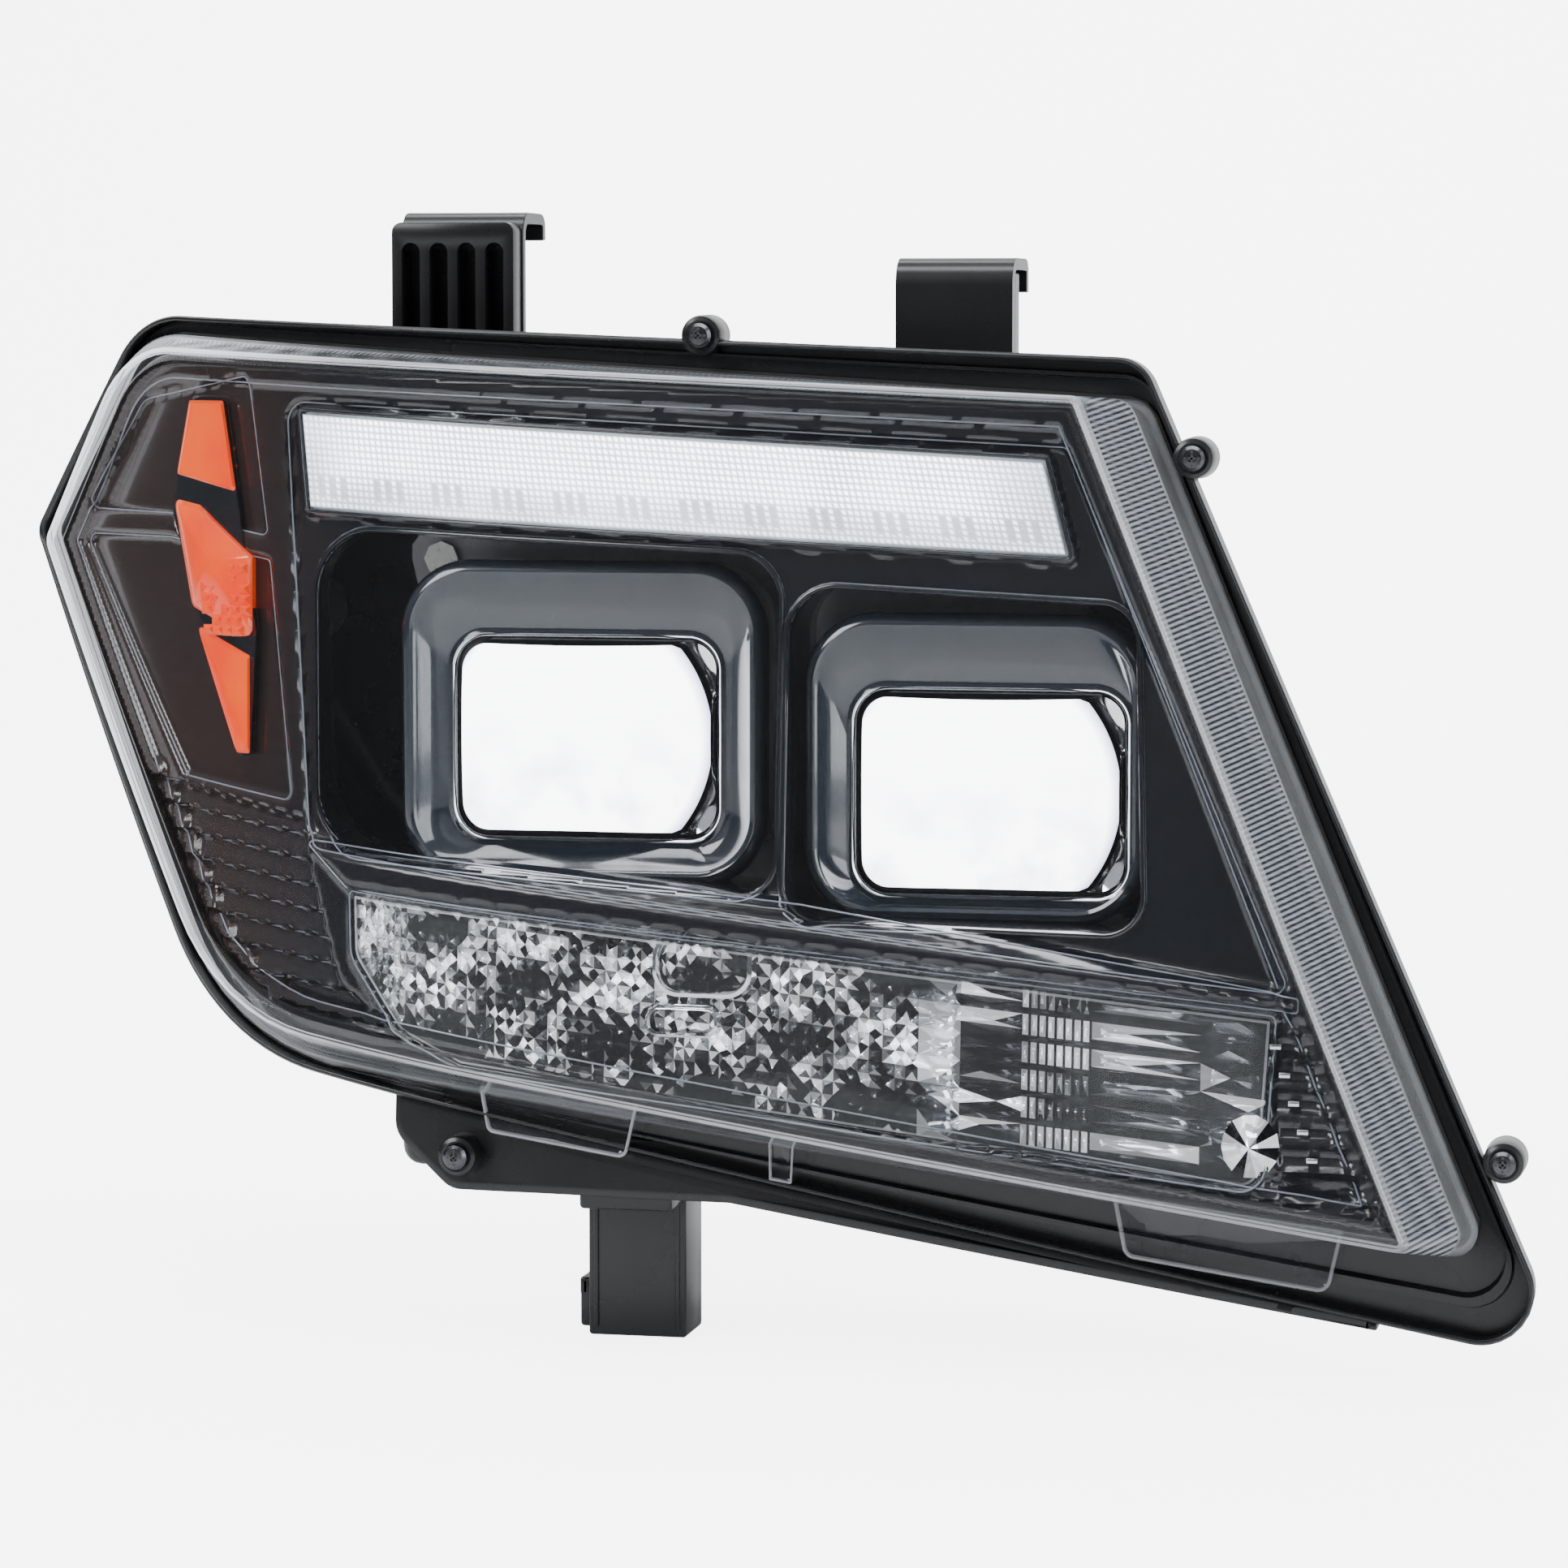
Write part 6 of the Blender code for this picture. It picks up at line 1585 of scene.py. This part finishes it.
def slotted_plate(name, x_low, x_high, z_low, z_high, y_front, y_back, slots):
    """Upright plate with arch-topped slots in its front, as a filled and extruded curve."""
    curve = bpy.data.curves.new(name, "CURVE")
    curve.dimensions = "2D"
    curve.fill_mode = "BOTH"
    curve.extrude = (y_back - y_front) / 2
    curve.bevel_depth = 0.0004
    curve.bevel_resolution = 1
    rib = (x_high - x_low) / (slots * 3.4 + 1)
    width = (x_high - x_low - rib * (slots + 1)) / slots
    outlines = [outline(rectangle(x_low, x_high, z_low, z_high, 0.0030), 4, 1)]
    for i in range(slots):
        left = x_low + rib + i * (width + rib)
        opening = rectangle(left, left + width, z_low + 0.0015, z_high - 0.0065, width * 0.46)
        outlines.append(outline(opening, 5, 1))
    for points in outlines:
        spline = curve.splines.new("POLY")
        spline.points.add(len(points) - 1)
        spline.use_cyclic_u = True
        for target, point in zip(spline.points, points):
            target.co = (point.x, point.y, 0.0, 1.0)
    guide = linked(name, curve)
    guide.location = (0.0, (y_front + y_back) / 2, 0.0)
    guide.rotation_euler = (math.pi / 2, 0.0, 0.0)
    bpy.context.view_layer.update()
    mesh = bpy.data.meshes.new_from_object(guide.evaluated_get(bpy.context.evaluated_depsgraph_get()))
    mesh.transform(guide.matrix_world)
    bpy.data.objects.remove(guide, do_unlink=True)
    mesh.materials.clear()
    mesh.materials.append(HOUSING_BLACK)
    piece = linked(name, mesh)
    tidy_mesh(piece)
    piece.data.shade_smooth()
    piece.data.set_sharp_from_angle(angle=math.radians(30))
    return piece


def outboard_tab():
    """Ribbed hook with arched pockets, a bent roof and a turned-down end."""
    left, right, top = -0.1010, -0.0570, cad_high.z
    path = [(0.0605, 0.3120), (0.0605, top - 0.0090)]
    path += arc_path((0.0665, top - 0.0080), 0.0060, 180, 90)
    path += [(0.0830, top - 0.0021)] + arc_path((0.0850, top - 0.0052), 0.0030, 85, 5)
    path += [(0.0881, top - 0.0095)]
    strip = bent_strip("tab_strip", path, 0.0040, left, right, HOUSING_BLACK)
    pockets = slotted_plate("tab_pockets", left, right - 0.0010, 0.3120, top - 0.0040, 0.0475, 0.0600, 4)
    cheek_low, cheek_high = (left - 0.0004, 0.0500, 0.3150), (left + 0.0022, 0.0640, top - 0.0060)
    cheek = rounded_block("tab_cheek", cheek_low, cheek_high, 0.0008, HOUSING_BLACK)
    return [strip, pockets, cheek]


def inboard_tab():
    """Plain hook: smooth front plate bent over into a roof and a turned-down end."""
    left, right, top = 0.0820, 0.1220, 0.3650
    path = [(0.0250, 0.3080), (0.0250, top - 0.0090)]
    path += arc_path((0.0320, top - 0.0090), 0.0070, 180, 90)
    path += [(0.0480, top - 0.0021)] + arc_path((0.0510, top - 0.0052), 0.0030, 85, 5)
    path += [(0.0541, top - 0.0115)]
    strip = bent_strip("hook_strip", path, 0.0040, left, right, HOUSING_BLACK)
    parts = [strip]
    for i, x in enumerate((left + 0.0005, right - 0.0033)):
        low, high = (x, 0.0262, 0.3080), (x + 0.0028, 0.0400, top - 0.0050)
        parts.append(rounded_block(f"hook_rib_{i}", low, high, 0.0008, HOUSING_BLACK))
    return parts


def mounting_leg():
    """Lower leg with its gusset, web, latch and edge beads, and the lobe beside it."""
    half = 0.0170
    blocks = [
        ((-half, -0.0120, 0.0), (half, 0.0130, 0.0720), 0.0012),
        ((-half + 0.001, -0.0290, 0.0460), (half - 0.001, -0.0100, 0.0710), 0.0015),
        ((-0.0025, -0.0110, 0.0700), (0.0025, 0.0120, 0.0960), 0.0008),
        ((-half - 0.0040, -0.0080, 0.0020), (-half + 0.002, 0.0080, 0.0190), 0.0014),
        ((-half - 0.0040, -0.0080, 0.0130), (-half - 0.0010, 0.0080, 0.0190), 0.0008),
    ]
    for x in (-half + 0.0020, half - 0.0036):
        blocks.append(((x, -0.0128, 0.0030), (x + 0.0016, -0.0110, 0.0660), 0.0005))
    parts = [rounded_block(f"leg_{i}", *block, HOUSING_BLACK) for i, block in enumerate(blocks)]
    lobe_low, lobe_high = (-0.0830, -0.0145, 0.0560), (-0.0580, 0.0140, 0.0742)
    return parts + [rounded_block("lobe", lobe_low, lobe_high, 0.0070, HOUSING_BLACK, 5)]


def lower_apron():
    """Plate that hangs below the flange's lower edge, with a rounded front rim."""
    front = behind(rim_depth, -0.0020)
    back = behind(rim_depth, 0.0045)
    rings = [
        ring(APRON, front, -0.0030),
        ring(APRON, front, -0.0010),
        ring(APRON, behind(front, 0.0003), -0.0003),
        ring(APRON, behind(front, 0.0012), 0.0),
        ring(APRON, back, 0.0),
    ]
    return lofted("apron", rings, [HOUSING_BLACK], True, True)


def screw_bosses():
    parts = []
    for i in range(1, 5):
        low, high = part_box(f"lens_screw_{i}")
        x, z = (low.x + high.x) / 2, (low.z + high.z) / 2
        front = low.y + 0.0033
        profile = [(radius, front + deep) for radius, deep in BOSS]
        parts.append(turned(f"boss_{i}", profile, x, z, HOUSING_BLACK, 40))
    return parts


def back_ribs():
    """Stiffening ribs over the rear wall, clear of the caps and fittings."""
    root, crest, half = 0.1144, 0.1199, 0.0010
    uprights = ((-0.108, 0.176, 0.301), (-0.068, 0.252, 0.301), (0.072, 0.152, 0.186))
    crossbars = ((0.300, -0.109, 0.104), (0.258, -0.069, 0.018))
    blocks = [((x - half, root, low), (x + half, crest, high)) for x, low, high in uprights]
    blocks += [((low, root, z - half), (high, crest, z + half)) for z, low, high in crossbars]
    return [rounded_block(f"rib_{i}", *block, 0.0004, HOUSING_BLACK) for i, block in enumerate(blocks)]


def collar(name, node, outer, inner, end_y, start_y):
    centre = middle(node)
    profile = [
        (inner, start_y),
        (outer + 0.0030, start_y),
        (outer + 0.0006, start_y + 0.0030),
        (outer, start_y + 0.0040),
        (outer, end_y - 0.0006),
        (outer - 0.0006, end_y),
        (inner, end_y),
    ]
    return turned(name, profile, centre.x, centre.z, HOUSING_BLACK, 72, closed=True)


def make_housing():
    parts = [housing_shell()]
    parts += outboard_tab() + inboard_tab() + mounting_leg()
    parts += [lower_apron()] + screw_bosses() + back_ribs()
    for prefix in ("low", "high"):
        parts.append(collar(prefix + "_collar", prefix + "_rear_cap", *CAP_COLLAR))
    parts.append(collar("marker_collar", "marker_socket", 0.0150, 0.0115, 0.1200, 0.1140))
    parts.append(collar("turn_collar", "turn_socket", 0.0170, 0.0140, 0.0240, -0.0080))
    for side in ("outer", "inner"):
        centre = middle(f"pivot_socket_{side}")
        profile = [(0.0075, 0.0523), (0.0075, 0.1140), (0.0090, 0.1150)]
        parts.append(turned(f"{side}_post", profile, centre.x, centre.z, HOUSING_BLACK, 32))
    settle(merged("housing_moulding", parts), "housing", ["housing_shell"])


# ---------------------------------------------------------------- fittings
def make_screw(node, head, finish, reverse=False):
    """Pan-head screw with a cross recess, shank and thread crests."""
    low, high, x, z, radius = turned_room(node)
    sign = -1 if reverse else 1
    start, end = (high.y, low.y) if reverse else (low.y, high.y)
    shank = radius / 2.2
    profile = [(0.0002, start + sign * head * 0.35)]
    for width, drop in PAN_HEAD:
        profile.append((radius * width, start + sign * head * drop))
    profile.append((shank, start + sign * head))
    crest = start + sign * head
    turns = 8
    pitch = (abs(end - start) - head) / (turns + 1)
    for i in range(turns):
        crest_y = crest + sign * pitch * (i + 0.5)
        flank = sign * pitch * 0.3
        profile += [(shank, crest_y - flank), (shank * 1.12, crest_y), (shank, crest_y + flank)]
    profile += [(shank * 0.9, end - sign * pitch * 0.3), (shank * 0.5, end)]
    if reverse:
        profile.reverse()
    body = turned(node + "_body", profile, x, z, finish, 32)
    top = start + sign * head * 0.02
    near, far = sorted((top, top + sign * head * 0.25))
    recess = []
    long, short = radius * 0.62, radius * 0.13
    for name, half_x, half_z in (("a", long, short), ("b", short, long)):
        low_corner, high_corner = (x - half_x, near, z - half_z), (x + half_x, far, z + half_z)
        recess.append(rounded_block(node + name, low_corner, high_corner, radius * 0.05, CAP_BLACK, 1))
    whole = merged(node + "_fine", [body] + recess)
    settle(whole, "housing", [node])


def make_rear_cap(prefix):
    """Twist-off cap: knurled skirt, stepped face and a rounded grip bar."""
    node = prefix + "_rear_cap"
    low, high, x, z, radius = turned_room(node)
    floor = high.y - 0.0110
    profile = [
        (radius - 0.0022, low.y),
        (radius - 0.0004, low.y),
        (radius, low.y + 0.0006),
        (radius, floor + 0.0012),
        (radius - 0.0006, floor + 0.0020),
        (radius - 0.0020, floor + 0.0026),
        (radius - 0.0050, floor + 0.0026),
        (radius - 0.0056, floor + 0.0018),
        (radius - 0.0110, floor + 0.0018),
        (radius - 0.0116, floor + 0.0030),
        (0.0120, floor + 0.0030),
        (0.0110, floor + 0.0022),
        (0.0001, floor + 0.0022),
    ]
    parts = [turned(node + "_disc", profile, x, z, CAP_BLACK, 96)]
    for i in range(36):
        angle = 2 * math.pi * i / 36
        root = (-0.0007, low.y + 0.0010, radius - 0.0012)
        crest = (0.0007, floor + 0.0012, radius - 0.0001)
        rib = rounded_block(f"{node}_rib{i}", root, crest, 0.0003, CAP_BLACK, 1)
        rib.data.transform(Matrix.Translation((x, 0, z)) @ Matrix.Rotation(angle, 4, "Y"))
        parts.append(rib)
    # Grip bar and the pads at its ends: centre x, half width, height, half depth in z, rounding.
    pad = (0.0035, 0.0100, 0.0055, 0.0020)
    for centre_x, half_x, rise, half_z, rounding in (
        (x, 0.0300, 0.0110, 0.0035, 0.0016),
        (x - 0.0265, *pad),
        (x + 0.0265, *pad),
    ):
        root = (centre_x - half_x, floor + 0.0015, z - half_z)
        crest = (centre_x + half_x, floor + rise, z + half_z)
        parts.append(rounded_block(node + "_grip", root, crest, rounding, CAP_BLACK))
    settle(merged(node + "_fine", parts), prefix + "_cap", [node])


def make_socket(prefix):
    """Bulb socket: round body, flange and a grip blade across its back."""
    node = prefix + "_socket"
    low, high, x, z, radius = turned_room(node)
    back = high.y - 0.0100
    profile = [
        (radius - 0.0045, low.y),
        (radius - 0.0040, low.y + 0.0005),
        (radius - 0.0040, back - 0.0022),
        (radius, back - 0.0020),
        (radius, back + 0.0002),
        (radius - 0.0006, back + 0.0008),
        (radius * 0.62, back + 0.0008),
        (radius * 0.58, back + 0.0060),
        (radius * 0.52, back + 0.0068),
        (0.0001, back + 0.0068),
    ]
    parts = [turned(node + "_body", profile, x, z, GREY_NYLON, 64)]
    reach = radius - 0.0012
    grip_low, grip_high = (x - reach, back, z - 0.0024), (x + reach, high.y, z + 0.0024)
    parts.append(rounded_block(node + "_grip", grip_low, grip_high, 0.0009, GREY_NYLON))
    settle(merged(node + "_fine", parts), prefix + "_socket", [node])


def make_knob():
    low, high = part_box("adjuster_knob")
    x, z = (low.x + high.x) / 2, (low.z + high.z) / 2
    radius = 0.0124
    bore = 0.0033
    rows = [(bore, low.y), (0.92, low.y), (1.0, low.y + 0.0008)]
    rows += [(1.0, high.y - 0.0012), (0.93, high.y), (bore, high.y)]
    segments = 96
    rings = []
    for reach, y in rows:
        points = []
        for s in range(segments):
            angle = 2 * math.pi * s / segments
            wave = 1 - 0.13 * max(0.0, math.cos(6 * angle)) ** 2
            length = radius * reach * wave if reach > 0.5 else reach
            points.append(Vector((x + length * math.sin(angle), y, z + length * math.cos(angle))))
        rings.append(points)
    rings.append(rings[0])
    knob = lofted("adjuster_knob_fine", rings, [GREY_NYLON], False, False, None, 32)
    tidy_mesh(knob)
    settle(knob, "adjuster", ["adjuster_knob"])


def make_driver():
    """Finned cast box on a flange."""
    low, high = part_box("driver_module")
    base = low.y + 0.0025
    box_low = (low.x + 0.0015, base - 0.0005, low.z + 0.0125)
    box_high = (high.x - 0.0015, high.y - 0.0050, high.z - 0.0125)
    parts = [
        rounded_block("driver_flange", tuple(low), (high.x, base, high.z), 0.0008, CAST_METAL),
        rounded_block("driver_box", box_low, box_high, 0.0015, CAST_METAL),
    ]
    fins = 11
    for i in range(fins):
        x = low.x + 0.0035 + (high.x - low.x - 0.0070) * i / (fins - 1)
        root, crest = (x - 0.0008, high.y - 0.0060, low.z + 0.0140), (x + 0.0008, high.y, high.z - 0.0140)
        parts.append(rounded_block(f"driver_fin_{i}", root, crest, 0.0004, CAST_METAL, 2))
    settle(merged("driver_module_fine", parts), "housing", ["driver_module"])


def make_connector():
    low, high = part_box("harness_connector")
    wall = 0.0022
    box_high_y = high.y - 0.0020
    latch_low = (low.x + 0.0100, box_high_y - 0.0010, low.z + 0.0040)
    latch_high = (high.x - 0.0100, high.y, high.z - 0.0040)
    blocks = {
        "left": (tuple(low), (low.x + wall, box_high_y, high.z), 0.0007),
        "right": ((high.x - wall, low.y, low.z), (high.x, box_high_y, high.z), 0.0007),
        "front": (tuple(low), (high.x, low.y + wall, high.z), 0.0007),
        "back": ((low.x, box_high_y - wall, low.z), (high.x, box_high_y, high.z), 0.0007),
        "top": ((low.x, low.y, low.z + 0.0140), (high.x, box_high_y, high.z), 0.0010),
        "latch": (latch_low, latch_high, 0.0008),
    }
    parts = [rounded_block("plug_" + name, *block, GREY_NYLON) for name, block in blocks.items()]
    for i in range(6):
        x = low.x + 0.0060 + (high.x - low.x - 0.0120) * i / 5
        y = (low.y + box_high_y) / 2
        pin_low = (x - 0.0006, y - 0.0006, low.z + 0.0040)
        pin_high = (x + 0.0006, y + 0.0006, low.z + 0.0150)
        parts.append(rounded_block(f"plug_pin_{i}", pin_low, pin_high, 0.0002, STEEL, 1))
    settle(merged("harness_connector_fine", parts), "housing", ["harness_connector"])


def make_cable():
    """Corrugated cable sleeve from the grommet down to the connector."""
    low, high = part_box("harness_cable")
    x = (low.x + high.x) / 2
    radius = (high.x - low.x) / 2
    bend = 0.012
    corner_y, top_z = high.y - radius, high.z - radius
    path = [Vector((x, low.y + (corner_y - bend - low.y) * i / 12, top_z)) for i in range(12)]
    for step in range(13):
        angle = math.pi / 2 * step / 12
        y = corner_y - bend + bend * math.sin(angle)
        path.append(Vector((x, y, top_z - bend + bend * math.cos(angle))))
    steps = 40
    for i in range(steps):
        path.append(Vector((x, corner_y, top_z - bend + (low.z - top_z + bend) * (i + 1) / steps)))
    rings = []
    count = 20
    for i, point in enumerate(path):
        along = (path[min(i + 1, len(path) - 1)] - path[max(i - 1, 0)]).normalized()
        side = Vector((1.0, 0.0, 0.0))
        up = along.cross(side).normalized()
        reach = radius * (1.0 if i % 2 else 0.90)
        angles = [2 * math.pi * s / count for s in range(count)]
        rings.append([point + (side * math.cos(a) + up * math.sin(a)) * reach for a in angles])
    cable = lofted("harness_cable_fine", rings, [RUBBER], True, True, None, 60)
    face_outward(cable)
    settle(cable, "housing", ["harness_cable"])


def make_small_turned():
    """Grommet, vents and adjuster bush as finely turned pieces."""
    low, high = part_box("cable_grommet")
    centre, face = middle("cable_grommet"), high.y - 0.0042
    profile = [
        (0.0036, low.y), (0.0054, low.y), (0.0058, low.y + 0.0006), (0.0058, face), (0.0086, face),
        (0.0090, face + 0.0005), (0.0089, face + 0.0026), (0.0080, face + 0.0032), (0.0060, high.y),
        (0.0036, high.y),
    ]
    piece = turned("cable_grommet_fine", profile, centre.x, centre.z, RUBBER, 48, closed=True)
    settle(piece, "housing", ["cable_grommet"])
    for side in ("outer", "inner"):
        node = "vent_cap_" + side
        low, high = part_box(node)
        centre, face = middle(node), high.y - 0.0057
        profile = [
            (0.0001, low.y), (0.0027, low.y), (0.0029, low.y + 0.0004), (0.0029, face),
            (0.0070, face), (0.0075, face + 0.0008), (0.0074, face + 0.0038),
            (0.0066, face + 0.0052), (0.0050, face + 0.0057), (0.0048, face + 0.0050),
            (0.0030, face + 0.0050), (0.0028, face + 0.0057), (0.0001, high.y),
        ]
        piece = turned(node + "_fine", profile, centre.x, centre.z, RUBBER, 48)
        settle(piece, "housing", [node])
    low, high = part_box("adjuster_bush")
    centre, flange = middle("adjuster_bush"), high.y - 0.0025
    profile = [
        (0.0033, low.y), (0.0076, low.y), (0.0080, low.y + 0.0005), (0.0080, flange),
        (0.0116, flange), (0.0120, flange + 0.0005), (0.0120, high.y - 0.0005), (0.0115, high.y),
        (0.0033, high.y),
    ]
    piece = turned("adjuster_bush_fine", profile, centre.x, centre.z, WHITE_NYLON, 48, closed=True)
    settle(piece, "housing", ["adjuster_bush"])


def finish_cad_nodes():
    """Materials for the CAD pieces that are shown as they are."""
    finishes = {
        "lens_seal": RUBBER,
        "drl_tray": WHITE_NYLON,
        "drl_led_board": BOARD,
        "marker_reflector": CHROME,
        "marker_bulb": BULB_AMBER,
        "turn_bulb": BULB_AMBER,
        "turn_socket_seal": RUBBER,
        "marker_socket_seal": RUBBER,
        "projector_carrier": GREY_NYLON,
        "adjuster_nut": WHITE_NYLON,
        "adjuster_screw": STEEL,
        "ball_stud_inner": STEEL,
        "ball_stud_outer": STEEL,
        "pivot_socket_inner": WHITE_NYLON,
        "pivot_socket_outer": WHITE_NYLON,
    }
    for prefix in ("low", "high"):
        finishes[prefix + "_projector_body"] = CAST_METAL
        finishes[prefix + "_led_board"] = BOARD
        finishes[prefix + "_heatsink"] = CAST_METAL
        finishes[prefix + "_fan_frame"] = CAP_BLACK
        finishes[prefix + "_fan_rotor"] = CAP_BLACK
        finishes[prefix + "_cap_seal"] = RUBBER
    for node, material in finishes.items():
        item = frame["nodes"][node]
        item.data.materials.clear()
        item.data.materials.append(material)


# ---------------------------------------------------------------- stage
def area_light(name, location, size, energy, colour=(1.0, 1.0, 1.0), aim=None):
    data = bpy.data.lights.new(name, "AREA")
    data.shape = "RECTANGLE"
    data.size, data.size_y = size
    data.energy = energy
    data.color = colour
    item = linked(name, data)
    item.location = location
    direction = Vector(aim or CAMERA_AIM) - Vector(location)
    item.rotation_mode = "QUATERNION"
    item.rotation_quaternion = direction.to_track_quat("-Z", "Y")
    return item


def make_stage():
    width, back, height, sweep = 8.0, 3.0, 4.0, 1.2
    floor_z = cad_low.z - 0.0002
    profile = [(-3.0, floor_z), (back - sweep, floor_z)]
    for step in range(1, 13):
        angle = math.pi / 2 * step / 12
        profile.append((back - sweep + sweep * math.sin(angle), floor_z + sweep - sweep * math.cos(angle)))
    profile.append((back, floor_z + height))
    vertices = [(x, y, z) for x in (-width / 2, width / 2) for y, z in profile]
    count = len(profile)
    faces = [(i, i + 1, count + i + 1, count + i) for i in range(count - 1)]
    stage = new_piece("studio_sweep", vertices, faces, [studio_ground("studio_paper")], 60)
    world = bpy.data.worlds.new("studio")
    bpy.context.scene.world = world
    world.use_nodes = True
    tree = world.node_tree
    background = tree.nodes["Background"]
    height = add(tree, "SeparateXYZ", Vector=add(tree, "TexCoord").outputs["Generated"]).outputs["Z"]
    mirrored = ranged(tree, height, 0.05, 0.55, -0.1, 0.9)
    glossy = add(tree, "LightPath").outputs["Is Glossy Ray"]
    strength = add(tree, "Mix", {"data_type": "FLOAT"})
    for index, value in ((0, glossy), (2, 0.60), (3, mirrored)):
        feed(tree, strength.inputs[index], value)
    feed(tree, background.inputs["Strength"], strength.outputs[0])
    background.inputs["Color"].default_value = (0.84, 0.87, 0.92, 1.0)
    area_light("key_left", (-1.1, -1.3, 1.3), (0.9, 0.9), 26)
    area_light("fill_right", (1.6, -0.8, 0.7), (0.5, 1.4), 16, (0.92, 0.96, 1.0))
    area_light("top_strip", (0.05, -0.3, 1.5), (1.6, 0.35), 16)
    area_light("backdrop_light", (0.0, 1.2, 2.4), (3.0, 1.0), 90, (1, 1, 1), (0.0, 2.8, 0.6))


def make_camera():
    data = bpy.data.cameras.new("camera")
    data.lens = CAMERA_LENS
    data.sensor_width = 36.0
    data.clip_start, data.clip_end = 0.05, 20.0
    camera = linked("camera", data)
    azimuth, elevation = math.radians(CAMERA_AZIMUTH), math.radians(CAMERA_ELEVATION)
    level = math.cos(elevation)
    back = Vector((math.sin(azimuth) * level, -math.cos(azimuth) * level, math.sin(elevation)))
    camera.location = CAMERA_AIM + back * CAMERA_DISTANCE
    camera.rotation_mode = "QUATERNION"
    camera.rotation_quaternion = (-back).to_track_quat("-Z", "Y")
    bpy.context.scene.camera = camera


def main():
    make_outer_lens()
    make_clear_tabs()
    make_bezel()
    make_bezel_beads()
    recess_wall("low_recess_wall", LOW_RECESS)
    recess_wall("high_recess_wall", HIGH_RECESS)
    drl_opening = grown(node_corners("drl_lens"), 0.0006)
    opening_wall("drl_surround", drl_opening, BEZEL_SET - 0.0020, BEZEL_SET + 0.0060)
    opening_wall("turn_surround", CRYSTAL, BEZEL_SET - 0.0010, BEZEL_SET + 0.0080)
    make_drl()
    make_crystal()
    make_turn_details()
    make_marker()
    for prefix in ("low", "high"):
        make_shroud(prefix)
        make_projector_optic(prefix)
        make_rear_cap(prefix)
    make_housing()
    for i in range(1, 5):
        make_screw(f"lens_screw_{i}", 0.0030, BLACK_ZINC)
    for side in ("lower", "upper"):
        make_screw(f"driver_screw_{side}", 0.0018, STEEL, reverse=True)
    make_socket("turn")
    make_socket("marker")
    make_knob()
    make_driver()
    make_connector()
    make_cable()
    make_small_turned()
    finish_cad_nodes()
    make_stage()
    make_camera()


main()
